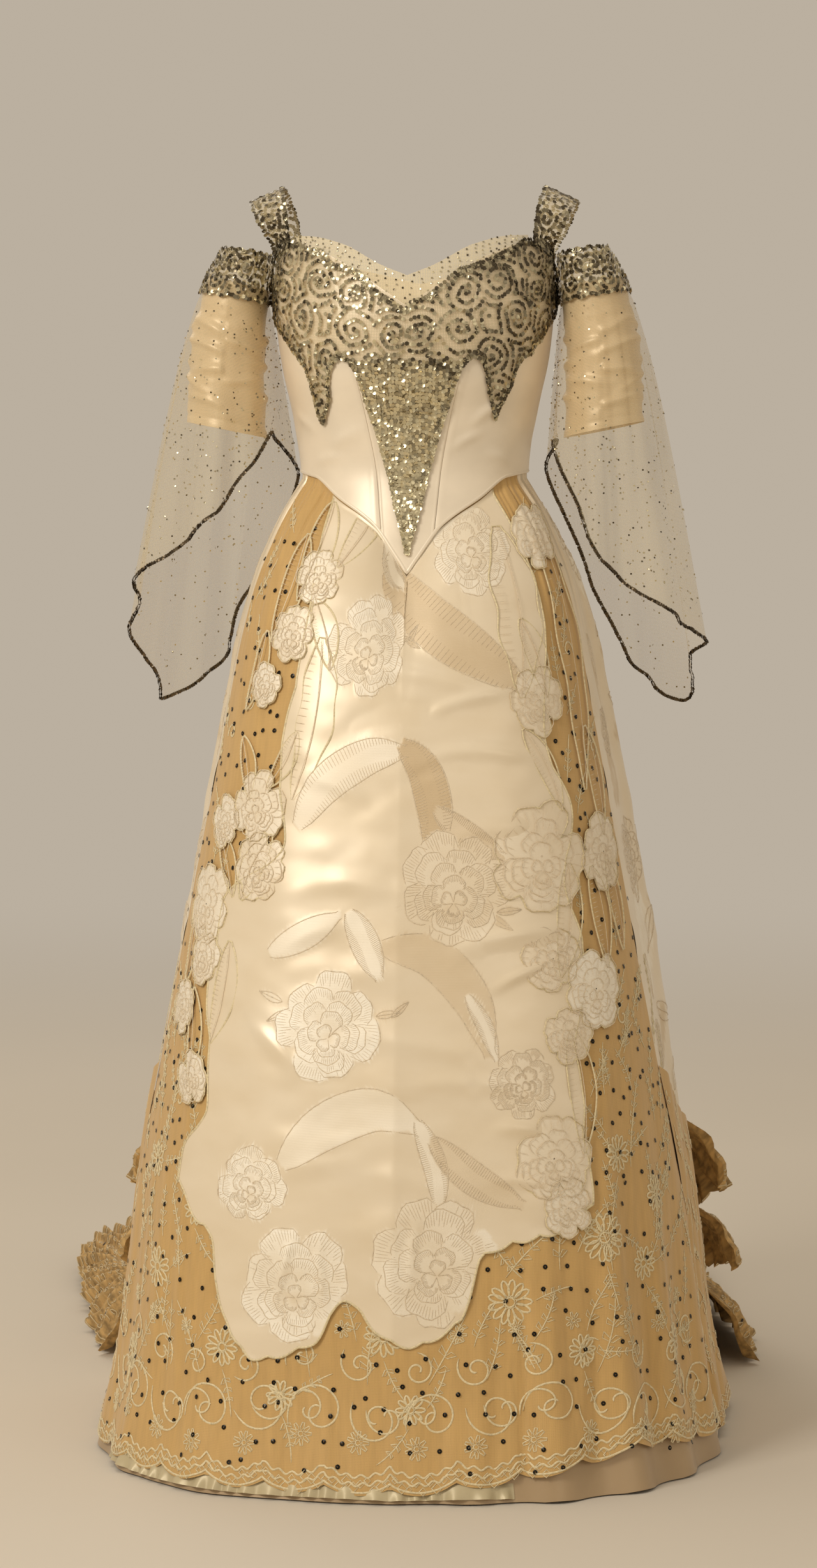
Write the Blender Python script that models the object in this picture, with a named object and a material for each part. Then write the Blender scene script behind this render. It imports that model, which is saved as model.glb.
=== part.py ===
"""An evening ball gown of about 1898, worn and hollow, with its train on the floor.

The gown faces -Y, +Z is up, and the origin is where it is held: midway between the crowns
of the two shoulder straps. Left and right are the viewer's, so left is -X. Heights in the
tables are above the floor. Angles are degrees round the body from the centre front, with
the viewer's right positive, so 90 is the right side and 180 the centre back.
Each piece is a thin wall: a grid of outer points, and the same points moved in by the
cloth's thickness.
"""

import math
from collections import namedtuple

import bpy
import numpy as np

# Driving sizes, in metres.
STRAP_CROWN_HEIGHT = 1.400
SEAM_GAP = 0.0003
WAIST_ROOM = 0.0012  # between the bodice and the skirt inside it
WAIST_TUCK = 0.012  # how far the skirt reaches up inside the bodice
BELOW_BODICE = 0.009  # how far below the bodice's edge the skirt starts to spread
BODICE_CLOTH = 0.0020
SATIN = 0.0013
NET = 0.0010
SEQUIN_LACE = 0.0014
UNDER_LACE = 0.0017  # room under lace that has its own grid
UNDER_BAND = 0.0012  # room between the arm band and the net gathered under it
TRAIN_SWEEP = -0.10  # how far the train's end is laid towards the viewer's left
SLEEVE_TILT = 0.20  # the sleeve's rings rise by this share of the way out from the body
NET_RUN = 0.0145  # how far the net and satin sleeves reach up inside the arm band
STRAP_ROOM = 0.0006  # between a strap's foot and the lace below it
LACE_BELOW_TOP = 0.001  # how far the lace's edge lies below the satin's
SEAM_RADIUS = 0.13  # turns a bodice seam's gap into degrees
FLOOR_CLEARANCE = 0.002

# Bodice: an oval at each height.
BodiceSection = namedtuple("BodiceSection", "height half_width front back")
BODICE_SECTIONS = [
    BodiceSection(0.960, 0.155, 0.131, 0.110),
    BodiceSection(1.030, 0.138, 0.114, 0.094),
    BodiceSection(1.085, 0.128, 0.104, 0.084),
    BodiceSection(1.140, 0.135, 0.112, 0.088),
    BodiceSection(1.200, 0.148, 0.128, 0.095),
    BodiceSection(1.250, 0.155, 0.133, 0.100),
    BodiceSection(1.300, 0.157, 0.122, 0.102),
    BodiceSection(1.350, 0.152, 0.100, 0.098),
]

# The bodice's edges, the same on both sides: heights by angle.
EdgePoint = namedtuple("EdgePoint", "angle height")
WAIST_SEAM = [
    EdgePoint(0, 0.972),
    EdgePoint(4, 0.988),
    EdgePoint(16, 1.026),
    EdgePoint(36, 1.055),
    EdgePoint(57, 1.079),
    EdgePoint(90, 1.085),
    EdgePoint(180, 1.085),
]
SATIN_TOP = [
    EdgePoint(0, 1.262),
    EdgePoint(10, 1.281),
    EdgePoint(25, 1.308),
    EdgePoint(45, 1.330),
    EdgePoint(60, 1.337),
    EdgePoint(75, 1.326),
    EdgePoint(90, 1.300),
    EdgePoint(104, 1.318),
    EdgePoint(120, 1.332),
    EdgePoint(150, 1.318),
    EdgePoint(180, 1.300),
]
TULLE_TOP = [
    EdgePoint(0, 1.296),
    EdgePoint(10, 1.307),
    EdgePoint(28, 1.332),
    EdgePoint(45, 1.342),
    EdgePoint(58, 1.344),
]
# The sequin lace ends in a long point at the centre and a short one on each breast.
LACE_BOTTOM = [
    EdgePoint(0, 0.990),
    EdgePoint(6, 1.045),
    EdgePoint(12, 1.100),
    EdgePoint(18, 1.150),
    EdgePoint(24, 1.198),
    EdgePoint(29, 1.207),
    EdgePoint(35, 1.190),
    EdgePoint(44, 1.138),
    EdgePoint(52, 1.196),
    EdgePoint(60, 1.215),
    EdgePoint(75, 1.245),
    EdgePoint(96, 1.262),
    EdgePoint(130, 1.250),
    EdgePoint(165, 1.236),
    EdgePoint(180, 1.228),
]
STRAP_FOOT = (59, 77)  # the strap's foot on the bodice's top edge, from its inner edge to its outer
STRAP_BACK_FOOT = (123, 105)
FOOT_OVERLAP, FOOT_RISE = -0.008, 0.004  # the foot's two rows, from the bodice's top edge

# The centre front panel narrows from the bust to the point.
PanelSeam = namedtuple("PanelSeam", "down angle")
CENTRE_SEAM = [
    PanelSeam(0.0, 31),
    PanelSeam(0.35, 25),
    PanelSeam(0.85, 15),
    PanelSeam(1.0, 12),
]

# Shoulder strap: its inner and outer edges between the two feet.
StrapSection = namedtuple("StrapSection", "back inner_x inner_height outer_x outer_height")
STRAP_SECTIONS = [
    StrapSection(-0.050, 0.139, 1.373, 0.172, 1.361),
    StrapSection(-0.016, 0.146, 1.399, 0.182, 1.383),
    StrapSection(0.026, 0.146, 1.399, 0.182, 1.383),
    StrapSection(0.062, 0.138, 1.371, 0.170, 1.359),
]

# Upper arm sleeve, on the right, and mirrored: the satin's outer side at each height.
SleeveSection = namedtuple("SleeveSection", "height centre_x centre_y half_width half_depth")
SLEEVE_SECTIONS = [
    SleeveSection(1.120, 0.2125, 0.006, 0.0455, 0.055),
    SleeveSection(1.200, 0.2120, 0.002, 0.0430, 0.054),
    SleeveSection(1.265, 0.2040, 0.000, 0.0380, 0.053),
    SleeveSection(1.300, 0.1966, 0.000, 0.0320, 0.049),
    SleeveSection(1.345, 0.1830, 0.000, 0.0180, 0.040),
]
BAND_TOP, BAND_BOTTOM = 1.329, 1.279
SATIN_SLEEVE_BOTTOM = 1.131
RUCHES, RUCHING_DEPTH = 3.5, 0.0018

# Hem of the net sleeve, round the arm from the front: 90 is the outer side, 180 the back.
NetHem = namedtuple("NetHem", "angle x y height")
NET_HEM = [
    NetHem(0, 0.212, -0.090, 1.012),
    NetHem(36, 0.268, -0.086, 0.966),
    NetHem(72, 0.318, -0.030, 0.922),
    NetHem(104, 0.318, 0.055, 0.880),
    NetHem(136, 0.298, 0.125, 0.822),
    NetHem(164, 0.264, 0.160, 0.845),
    NetHem(192, 0.236, 0.172, 0.870),
    NetHem(222, 0.198, 0.160, 0.965),
    NetHem(248, 0.142, 0.130, 1.085),
    NetHem(274, 0.156, 0.052, 1.112),
    NetHem(302, 0.157, -0.022, 1.122),
    NetHem(330, 0.180, -0.068, 1.070),
    NetHem(360, 0.212, -0.090, 1.012),
]
FRONT_HEM_SWAY = 0.028  # the front of the hem is this much higher on the left, and lower on the right
NET_FLUTES, NET_FLUTE_DEPTH, NET_BOW = 8, 0.009, 0.008
NET_BELOW_BAND = 0.003
BESIDE_BODY = 0.150  # the net is straight this near to the body, and flutes fully from OFF_BODY on
OFF_BODY = 0.210
LEAST_FLUTE = 0.25

# Skirt: the hem in plan, then how the cloth spreads and falls on the way down to it.
HemPoint = namedtuple("HemPoint", "angle x y")
SKIRT_HEM = [
    HemPoint(0, 0.000, -0.385),
    HemPoint(25, 0.160, -0.360),
    HemPoint(50, 0.285, -0.270),
    HemPoint(75, 0.340, -0.115),
    HemPoint(95, 0.347, 0.050),
    HemPoint(112, 0.348, 0.270),
    HemPoint(128, 0.380, 0.570),
    HemPoint(145, 0.405, 0.880),
    HemPoint(162, 0.315, 1.140),
    HemPoint(180, 0.000, 1.270),
]
Hanging = namedtuple("Hanging", "down spread")
HANGING = [
    Hanging(0.0, 0.0),
    Hanging(0.032, 0.100),
    Hanging(0.060, 0.167),
    Hanging(0.122, 0.279),
    Hanging(0.244, 0.400),
    Hanging(0.407, 0.548),
    Hanging(0.570, 0.690),
    Hanging(0.734, 0.806),
    Hanging(0.896, 0.890),
    Hanging(1.0, 1.0),
]
Trailing = namedtuple("Trailing", "down spread height_left")
TRAILING = [
    Trailing(0.0, 0.0, 1.0),
    Trailing(0.05, 0.045, 0.980),
    Trailing(0.12, 0.105, 0.900),
    Trailing(0.22, 0.155, 0.760),
    Trailing(0.34, 0.215, 0.580),
    Trailing(0.46, 0.285, 0.390),
    Trailing(0.58, 0.375, 0.200),
    Trailing(0.68, 0.480, 0.080),
    Trailing(0.76, 0.600, 0.020),
    Trailing(0.86, 0.760, 0.003),
    Trailing(1.0, 1.0, 0.0),
]
TRAIN_FROM, TRAIN_FULL = 98, 165  # the cloth hangs before the first angle and trails past the second

# Folds of the front and sides, then the deep gathers of the back, worked out in a loop.
Fold = namedtuple("Fold", "angle half_spread depth start")
FRONT_FOLDS = [
    Fold(-74, 9, 0.009, 0.45),
    Fold(-55, 8, 0.007, 0.62),
    Fold(-33, 9, 0.005, 0.78),
    Fold(-9, 10, 0.004, 0.80),
    Fold(13, 7, 0.008, 0.74),
    Fold(28, 7, 0.012, 0.66),
    Fold(43, 7, 0.014, 0.58),
    Fold(58, 7, 0.011, 0.52),
    Fold(74, 9, 0.010, 0.42),
]
GATHERS, GATHER_DEPTH, GATHER_FROM = 6, 0.024, 90
GATHER_UNEVEN = 0.15  # share of a gather's depth that comes and goes round the back
FLOOR_FOLD = 0.45  # how much of a gather's depth is left where the cloth lies on the floor

# The brocade front panel's edges, cut round the roses: angles by the way down, then the lower edge.
PanelEdge = namedtuple("PanelEdge", "down angle")
FRONT_LEFT_EDGE = [
    PanelEdge(0.0, -41),
    PanelEdge(0.06, -35),
    PanelEdge(0.13, -32),
    PanelEdge(0.27, -34),
    PanelEdge(0.34, -29),
    PanelEdge(0.42, -46),
    PanelEdge(0.49, -47),
    PanelEdge(0.57, -43),
    PanelEdge(0.62, -41),
    PanelEdge(0.67, -47),
    PanelEdge(1.0, -47),
]
FRONT_RIGHT_EDGE = [
    PanelEdge(0.0, 46),
    PanelEdge(0.10, 49),
    PanelEdge(0.17, 46),
    PanelEdge(0.24, 41),
    PanelEdge(0.33, 47),
    PanelEdge(0.40, 41),
    PanelEdge(0.46, 45),
    PanelEdge(0.56, 39),
    PanelEdge(0.62, 39),
    PanelEdge(1.0, 38),
]
PanelHem = namedtuple("PanelHem", "angle down")
FRONT_LOWER_EDGE = [
    PanelHem(-47, 0.700),
    PanelHem(-41, 0.735),
    PanelHem(-37, 0.745),
    PanelHem(-33, 0.820),
    PanelHem(-25, 0.862),
    PanelHem(-14, 0.840),
    PanelHem(-8.5, 0.790),
    PanelHem(-3, 0.818),
    PanelHem(4, 0.835),
    PanelHem(12, 0.815),
    PanelHem(16, 0.752),
    PanelHem(23, 0.740),
    PanelHem(31, 0.735),
    PanelHem(38, 0.715),
]
SIDE_SEAM = [PanelEdge(0.0, 70), PanelEdge(0.55, 71), PanelEdge(0.8, 79), PanelEdge(1.0, 83)]
NET_HEM_LIFT = [
    PanelHem(-90, 0.014),
    PanelHem(-40, 0.016),
    PanelHem(0, 0.014),
    PanelHem(25, 0.030),
    PanelHem(45, 0.046),
    PanelHem(65, 0.034),
    PanelHem(90, 0.018),
]

# Rows of the back panels by share of the way down, and the tiers of gathered lace between them.
BACK_ROWS = [0.0, 0.06, 0.12, 0.18, 0.25, 0.32, 0.39, 0.455, 0.52, 0.585, 0.65, 0.755, 0.87, 1.0]
Tier = namedtuple("Tier", "name row rise past_edge")
TRAIN_TIERS = [
    Tier("upper", 10, 0.055, 0.0),
    Tier("middle", 11, 0.045, 0.0),
    Tier("lower", 12, 0.032, 0.020),
]
TIER_ROOM = 0.0009
TIER_OVER_FOLDS = 0.022  # the loose part of a tier clears the skirt's folds by this much
TIER_FROM_COLUMN = 11
TIER_UP_AT_SIDES, TIER_UP_AT_BACK = 0.45, 1.35  # how steeply a tier stands
TIER_OUT_AT_BACK = 0.15

# Grid sizes.
WEDGE_COLUMNS, FRONT_COLUMNS, SEAM_COLUMNS, COLUMNS_PER_GATHER = 5, 18, 4, 4
PANEL_ROWS, FLOUNCE_ROWS = 9, 3
SLEEVE_COLUMNS, NET_COLUMNS = 20, 40
SATIN_SLEEVE_RINGS = 8
STRAP_COLUMNS = 3
COLUMNS_PER_WAVE, TIER_ROWS = 4, 2

# Colours are linear red, green and blue; each finish has its roughness and metallic value.
Finish = namedtuple("Finish", "colour roughness metallic")
FINISHES = {
    "ivory_satin": Finish((0.80, 0.66, 0.46), 0.38, 0.0),
    "ivory_brocade": Finish((0.76, 0.62, 0.42), 0.42, 0.0),
    "embroidered_net": Finish((0.62, 0.42, 0.18), 0.75, 0.0),
    "sequin_lace": Finish((0.26, 0.23, 0.16), 0.30, 0.6),
    "gold_satin": Finish((0.72, 0.47, 0.22), 0.38, 0.0),
    "spangled_net": Finish((0.66, 0.56, 0.36), 0.80, 0.0),
    "neckline_tulle": Finish((0.74, 0.58, 0.32), 0.80, 0.0),
    "train_lace": Finish((0.42, 0.30, 0.15), 0.80, 0.0),
}


def column(rows, name):
    """One named column of a table, as numbers."""
    return np.array([getattr(row, name) for row in rows], float)


def smooth(at, stations, values):
    """A smooth curve through a table's values, which never overshoots them."""
    gaps = np.diff(stations)
    rises = np.diff(values) / gaps
    slopes = np.concatenate([rises[:1], np.zeros(len(rises) - 1), rises[-1:]])
    before, after = rises[:-1], rises[1:]
    same_way = before * after > 0
    slopes[1:-1][same_way] = 2 * (before * after)[same_way] / (before + after)[same_way]
    at = np.asarray(at, float)
    i = np.clip(np.searchsorted(stations, at, side="right") - 1, 0, len(gaps) - 1)
    t = np.clip((at - stations[i]) / gaps[i], 0, 1)
    start = (1 + 2 * t) * (1 - t) ** 2 * values[i] + t * (1 - t) ** 2 * gaps[i] * slopes[i]
    end = t * t * (3 - 2 * t) * values[i + 1] - t * t * (1 - t) * gaps[i] * slopes[i + 1]
    return start + end


def by_angle(rows, angle, name):
    """A table's value at an angle, where both sides are the same."""
    return smooth(np.abs(angle), column(rows, "angle"), column(rows, name))


def ease(at, start, end):
    """0 before start, 1 after end, and a smooth step between them."""
    t = np.clip((at - start) / (end - start), 0, 1)
    return t * t * (3 - 2 * t)


def mix(a, b, share):
    return a + (b - a) * share


def normals_of(points, around=False):
    """Unit normals of a grid whose rows go down and columns go to the viewer's right."""
    down = np.gradient(points, axis=0)
    if around:
        across = (np.roll(points, -1, axis=1) - np.roll(points, 1, axis=1)) / 2
    else:
        across = np.gradient(points, axis=1)
    normal = np.cross(down, across)
    return normal / np.linalg.norm(normal, axis=2, keepdims=True)


def bodice_point(angle, height):
    """A point of the bodice's outer side."""
    heights = column(BODICE_SECTIONS, "height")
    half = smooth(height, heights, column(BODICE_SECTIONS, "half_width"))
    front = smooth(height, heights, column(BODICE_SECTIONS, "front"))
    back = smooth(height, heights, column(BODICE_SECTIONS, "back"))
    turn = np.radians(angle)
    depth = np.where(np.cos(turn) > 0, front, back)
    return np.stack([half * np.sin(turn), -depth * np.cos(turn), height], axis=-1)


def bodice_normal(angle, height):
    """The bodice's outward direction, from two short steps along its surface."""
    step_angle, step_height = 0.5, 0.002
    across = bodice_point(angle + step_angle, height) - bodice_point(angle - step_angle, height)
    down = bodice_point(angle, height - step_height) - bodice_point(angle, height + step_height)
    normal = np.cross(down, across)
    return normal / np.linalg.norm(normal, axis=-1, keepdims=True)


def bodice_grid(left, right, top, bottom, columns, rows, lift=0.0):
    """Outer points and normals of a patch of the bodice.

    left and right give the edges' angles by the way down, and top and bottom the edges'
    heights by angle.
    """
    down = np.linspace(0, 1, rows + 1)[:, None]
    angle = mix(left(down), right(down), np.linspace(0, 1, columns + 1)[None, :])
    height = mix(top(angle), bottom(angle), down)
    normal = bodice_normal(angle, height)
    return bodice_point(angle, height) + normal * lift, normal


def skirt_angle(angle):
    """The two sides of the skirt share their tables, so this is the table's angle."""
    return np.minimum(np.abs(angle), 180)


def skirt_smooth_point(angle, down):
    """A point of the skirt before its folds: angle round the body and share of the way down.

    Above 0 the cloth is tucked up inside the bodice, and past 1 it goes on outwards.
    """
    side = np.sign(angle)
    at = skirt_angle(angle)
    tuck = np.clip(-down, 0, 1) * WAIST_SEAM[-1].height
    top_height = by_angle(WAIST_SEAM, at, "height") - BELOW_BODICE
    inside_bodice = BODICE_CLOTH + WAIST_ROOM + SATIN + SEAM_GAP
    top_at = top_height + tuck
    top = bodice_point(at, top_at) - bodice_normal(at, top_at) * inside_bodice
    trail = ease(at, TRAIN_FROM, TRAIN_FULL)
    inside = np.clip(down, 0, 1)
    hanging = smooth(inside, column(HANGING, "down"), column(HANGING, "spread"))
    trailing = smooth(inside, column(TRAILING, "down"), column(TRAILING, "spread"))
    spread = mix(hanging, trailing, trail)
    left = smooth(inside, column(TRAILING, "down"), column(TRAILING, "height_left"))
    x = mix(top[..., 0], by_angle(SKIRT_HEM, at, "x"), spread) * side
    y = mix(top[..., 1], by_angle(SKIRT_HEM, at, "y"), spread)
    z = top[..., 2] * mix(1 - inside, left, trail)
    x = x + TRAIN_SWEEP * ease(y, 0.2, 1.0)
    return np.stack([x, y, z], axis=-1)


def fold_depth(angle, down):
    """How far the cloth stands out of the smooth skirt."""
    depth = np.zeros(np.broadcast(angle, down).shape)
    for fold in FRONT_FOLDS:
        off = np.clip((angle - fold.angle) / fold.half_spread, -1, 1)
        depth += fold.depth * np.cos(off * np.pi / 2) ** 2 * ease(down, fold.start, 1.0)
    at = skirt_angle(angle)
    wave = 0.5 - 0.5 * np.cos(2 * np.pi * GATHERS * (at - GATHER_FROM) / (180 - GATHER_FROM))
    uneven = 1 - GATHER_UNEVEN + GATHER_UNEVEN * np.cos(np.radians(angle) * 5.0)
    grown = ease(down, 0.0, 0.22) * mix(1.0, FLOOR_FOLD, ease(down, 0.44, 0.68))
    depth += GATHER_DEPTH * wave * uneven * grown * ease(at, GATHER_FROM, GATHER_FROM + 14)
    return depth


def direction_out(point_at, angle, down):
    """The outward direction of a surface of the skirt, the same for every piece that lies on it."""
    step_angle, step_down = 0.8, 0.006
    at = np.clip(angle, -179.1, 179.1)
    low, high = np.minimum(down + step_down, 1.0), down - step_down
    across = point_at(at + step_angle, down) - point_at(at - step_angle, down)
    fall = point_at(at, low) - point_at(at, high)
    normal = np.cross(fall, across)
    normal[..., 0] *= np.abs(angle) < 179.5
    return normal / np.linalg.norm(normal, axis=-1, keepdims=True)


def skirt_point(angle, down):
    """A point of the skirt's base cloth, with its folds, and never under the floor."""
    folds = fold_depth(angle, down)[..., None]
    points = skirt_smooth_point(angle, down) + direction_out(skirt_smooth_point, angle, down) * folds
    points[..., 2] = np.maximum(points[..., 2], FLOOR_CLEARANCE)
    return points


def skirt_normal(angle, down):
    """The folded cloth's outward direction, straight up where it lies on the floor."""
    normal = direction_out(skirt_point, angle, down)
    flat = skirt_point(angle, down)[..., 2:] < 3 * FLOOR_CLEARANCE
    lying = flat & (skirt_angle(angle) > TRAIN_FROM)[..., None]
    return np.where(lying, np.array([0.0, 0.0, 1.0]), normal)


def narrowed(grid, left=0.0, right=0.0):
    """The grid with its side edges drawn in, which leaves the seam's gap to the next piece."""
    grid = grid.copy()
    for edge, inner, gap in ((0, 1, left), (-1, -2, right)):
        towards = grid[:, inner] - grid[:, edge]
        grid[:, edge] += towards / np.linalg.norm(towards, axis=1, keepdims=True) * gap
    return grid


def shorter_diagonals(grid):
    """For each square of a grid, whether the diagonal from its first corner is the shorter one."""
    falling = np.linalg.norm(grid[1:, 1:] - grid[:-1, :-1], axis=2)
    rising = np.linalg.norm(grid[:-1, 1:] - grid[1:, :-1], axis=2)
    return falling <= rising


def finish_of(name):
    """The material of one finish, made once."""
    material = bpy.data.materials.get(name)
    if material is None:
        finish = FINISHES[name]
        material = bpy.data.materials.new(name)
        material.use_nodes = True
        shader = material.node_tree.nodes["Principled BSDF"]
        shader.inputs["Base Color"].default_value = (*finish.colour, 1.0)
        shader.inputs["Roughness"].default_value = finish.roughness
        shader.inputs["Metallic"].default_value = finish.metallic
        material.diffuse_color = (*finish.colour, 1.0)
    return material


def cloth_wall(name, outer, inward, thickness, finish, around=False, diagonals=None):
    """A closed wall of cloth: the grid of outer points, the same points moved in, and the rims.

    Both sides are split along the same diagonals, so the wall keeps its thickness.
    """
    inner = outer - inward * thickness
    rows, columns = outer.shape[:2]
    count = rows * columns
    if diagonals is None:
        wrapped = np.concatenate([outer, outer[:, :1]], axis=1) if around else outer
        diagonals = shorter_diagonals(wrapped)

    def corner(row, col, layer):
        return layer * count + row * columns + col % columns

    faces = []

    def add_square(first, second, third, fourth, from_first):
        if from_first:
            faces.extend([[first, second, third], [first, third, fourth]])
        else:
            faces.extend([[first, second, fourth], [second, third, fourth]])

    last = columns if around else columns - 1
    for row in range(rows - 1):
        for col in range(last):
            for layer in (0, 1):
                a, b = corner(row, col, layer), corner(row + 1, col, layer)
                c, d = corner(row + 1, col + 1, layer), corner(row, col + 1, layer)
                start = len(faces)
                add_square(a, b, c, d, diagonals[row, col])
                if layer:
                    faces[start:] = [face[::-1] for face in faces[start:]]
    rims = [[(0, col, 0), (0, col + 1, 0), (0, col + 1, 1), (0, col, 1)] for col in range(last)]
    end = rows - 1
    rims += [[(end, col, 1), (end, col + 1, 1), (end, col + 1, 0), (end, col, 0)] for col in range(last)]
    if not around:
        end = columns - 1
        for row in range(rows - 1):
            rims.append([(row, 0, 1), (row + 1, 0, 1), (row + 1, 0, 0), (row, 0, 0)])
            rims.append([(row, end, 0), (row + 1, end, 0), (row + 1, end, 1), (row, end, 1)])
    for rim in rims:
        add_square(*[corner(*at) for at in rim], True)
    points = np.concatenate([outer.reshape(-1, 3), inner.reshape(-1, 3)])
    mesh = bpy.data.meshes.new(name)
    mesh.from_pydata(points.tolist(), [], faces)
    mesh.materials.append(finish_of(finish))
    mesh.shade_smooth()
    mesh.set_sharp_from_angle(angle=math.radians(50))
    piece = bpy.data.objects.new(name, mesh)
    bpy.context.scene.collection.objects.link(piece)
    piece.parent = bpy.data.objects["held_at_shoulders"]
    return piece


def fixed(angle):
    """An edge at one angle all the way down."""
    return lambda down: np.full_like(down, float(angle))


def centre_seam(side):
    """The seam beside the centre front panel, on one side."""
    return lambda down: side * smooth(down, column(CENTRE_SEAM, "down"), column(CENTRE_SEAM, "angle"))


def shifted(edge, gap):
    """An edge moved round by part of a seam's gap."""
    return lambda down: edge(down) + math.degrees(gap / SEAM_RADIUS)


def satin_top(angle):
    return by_angle(SATIN_TOP, np.minimum(np.abs(angle), 360 - np.abs(angle)), "height")


def waist_edge(angle):
    return by_angle(WAIST_SEAM, np.minimum(np.abs(angle), 360 - np.abs(angle)), "height")


def lace_bottom(angle):
    return by_angle(LACE_BOTTOM, np.minimum(np.abs(angle), 360 - np.abs(angle)), "height")


def make_bodice():
    """The satin bodice: a centre front, two side fronts and two backs that close at the centre back."""
    half_gap = 0.67 * SEAM_GAP  # a little over half, as the sides curve in at the waist
    panels = [
        ("bodice_front_centre", centre_seam(-1), centre_seam(1), 8),
        ("bodice_front_left", fixed(-90), centre_seam(-1), 6),
        ("bodice_front_right", centre_seam(1), fixed(90), 6),
        ("bodice_back_right", fixed(90), fixed(180), 8),
        ("bodice_back_left", fixed(180), fixed(270), 8),
    ]
    for name, left, right, columns in panels:
        edges = shifted(left, half_gap), shifted(right, -half_gap)
        grid, normal = bodice_grid(*edges, satin_top, waist_edge, columns, 7)
        cloth_wall(name, grid, normal, BODICE_CLOTH, "ivory_satin")


def make_neckline_tulle():
    """The spangled tulle that fills the neckline between the straps."""
    lower_edge = lambda angle: satin_top(angle) + SEAM_GAP
    upper_edge = lambda angle: by_angle(TULLE_TOP, angle, "height")
    foot = TULLE_TOP[-1].angle
    grid, normal = bodice_grid(fixed(-foot), fixed(foot), upper_edge, lower_edge, 16, 1)
    cloth_wall("neckline_tulle", grid, normal, NET, "neckline_tulle")


def make_sequin_lace():
    """The pointed lace over the front of the bodice, and its plain band round the back."""
    lift = UNDER_LACE + SEQUIN_LACE
    below_top = lambda angle: satin_top(angle) - LACE_BELOW_TOP
    grid, normal = bodice_grid(fixed(-93), fixed(93), below_top, lace_bottom, 40, 7, lift)
    cloth_wall("sequin_lace_front", grid, normal, SEQUIN_LACE, "sequin_lace")
    grid, normal = bodice_grid(fixed(93.2), fixed(266.8), below_top, lace_bottom, 22, 3, lift)
    cloth_wall("sequin_lace_back", grid, normal, SEQUIN_LACE, "sequin_lace")


def make_strap(side):
    """A shoulder strap, sewn over the lace at the front, over the shoulder and down to the back."""
    across = np.linspace(0, 1, STRAP_COLUMNS + 1)
    lift = UNDER_LACE + SEQUIN_LACE + STRAP_ROOM
    feet = []
    for foot in (STRAP_FOOT, STRAP_BACK_FOOT):
        angle = mix(foot[0], foot[1], across)
        for rise in (FOOT_OVERLAP, FOOT_RISE):
            height = satin_top(angle) + rise
            feet.append(bodice_point(angle, height) + bodice_normal(angle, height) * lift)
    knots = feet[:2]
    for section in STRAP_SECTIONS:
        inner = np.array([section.inner_x, section.back, section.inner_height])
        outer = np.array([section.outer_x, section.back, section.outer_height])
        knots.append(mix(inner, outer, across[:, None]))
    knots = np.array(knots + feet[:1:-1])
    along = np.array([0, 1, 1.5, 2, 2.5, 3, 3.5, 4, 4.5, 5, 5.5, 6, 7])
    stations = np.arange(len(knots), dtype=float)
    grid = np.zeros((len(along), len(across), 3))
    for col in range(len(across)):
        for axis in range(3):
            grid[:, col, axis] = smooth(along, stations, knots[:, col, axis])
    grid[..., 0] *= side
    if side > 0:
        grid = grid[:, ::-1]
    normal = normals_of(grid)
    name = "strap_left" if side < 0 else "strap_right"
    cloth_wall(name, grid + normal * SEQUIN_LACE, normal, SEQUIN_LACE, "sequin_lace")


def sleeve_ring(height, turns):
    """Points and outward directions round the upper arm, on the right side of the body."""
    heights = column(SLEEVE_SECTIONS, "height")
    at = {name: smooth(height, heights, column(SLEEVE_SECTIONS, name)) for name in SleeveSection._fields[1:]}
    turn = np.radians(turns)
    out, forward = np.sin(turn), -np.cos(turn)
    x = at["centre_x"] + at["half_width"] * out
    y = at["centre_y"] + at["half_depth"] * forward
    z = height + SLEEVE_TILT * at["half_width"] * out
    points = np.stack([x, y, z + 0 * x], axis=-1)
    normal = np.stack([out / at["half_width"], forward / at["half_depth"], 0 * x], axis=-1)
    return points, normal / np.linalg.norm(normal, axis=-1, keepdims=True)


def placed(grid, normal, side):
    """A sleeve's grid on its own side of the body, with its columns still going the same way round."""
    if side > 0:
        return grid, normal
    flip = np.array([-1.0, 1.0, 1.0])
    return grid[:, ::-1] * flip, normal[:, ::-1] * flip


def sleeve_grid(heights, columns, lift=0.0):
    """A tube round the upper arm, with a ring at each height."""
    turns = np.linspace(0, 360, columns, endpoint=False)
    rings = [sleeve_ring(height, turns) for height in heights]
    normal = np.array([ring[1] for ring in rings])
    return np.array([ring[0] for ring in rings]) + normal * lift, normal


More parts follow.
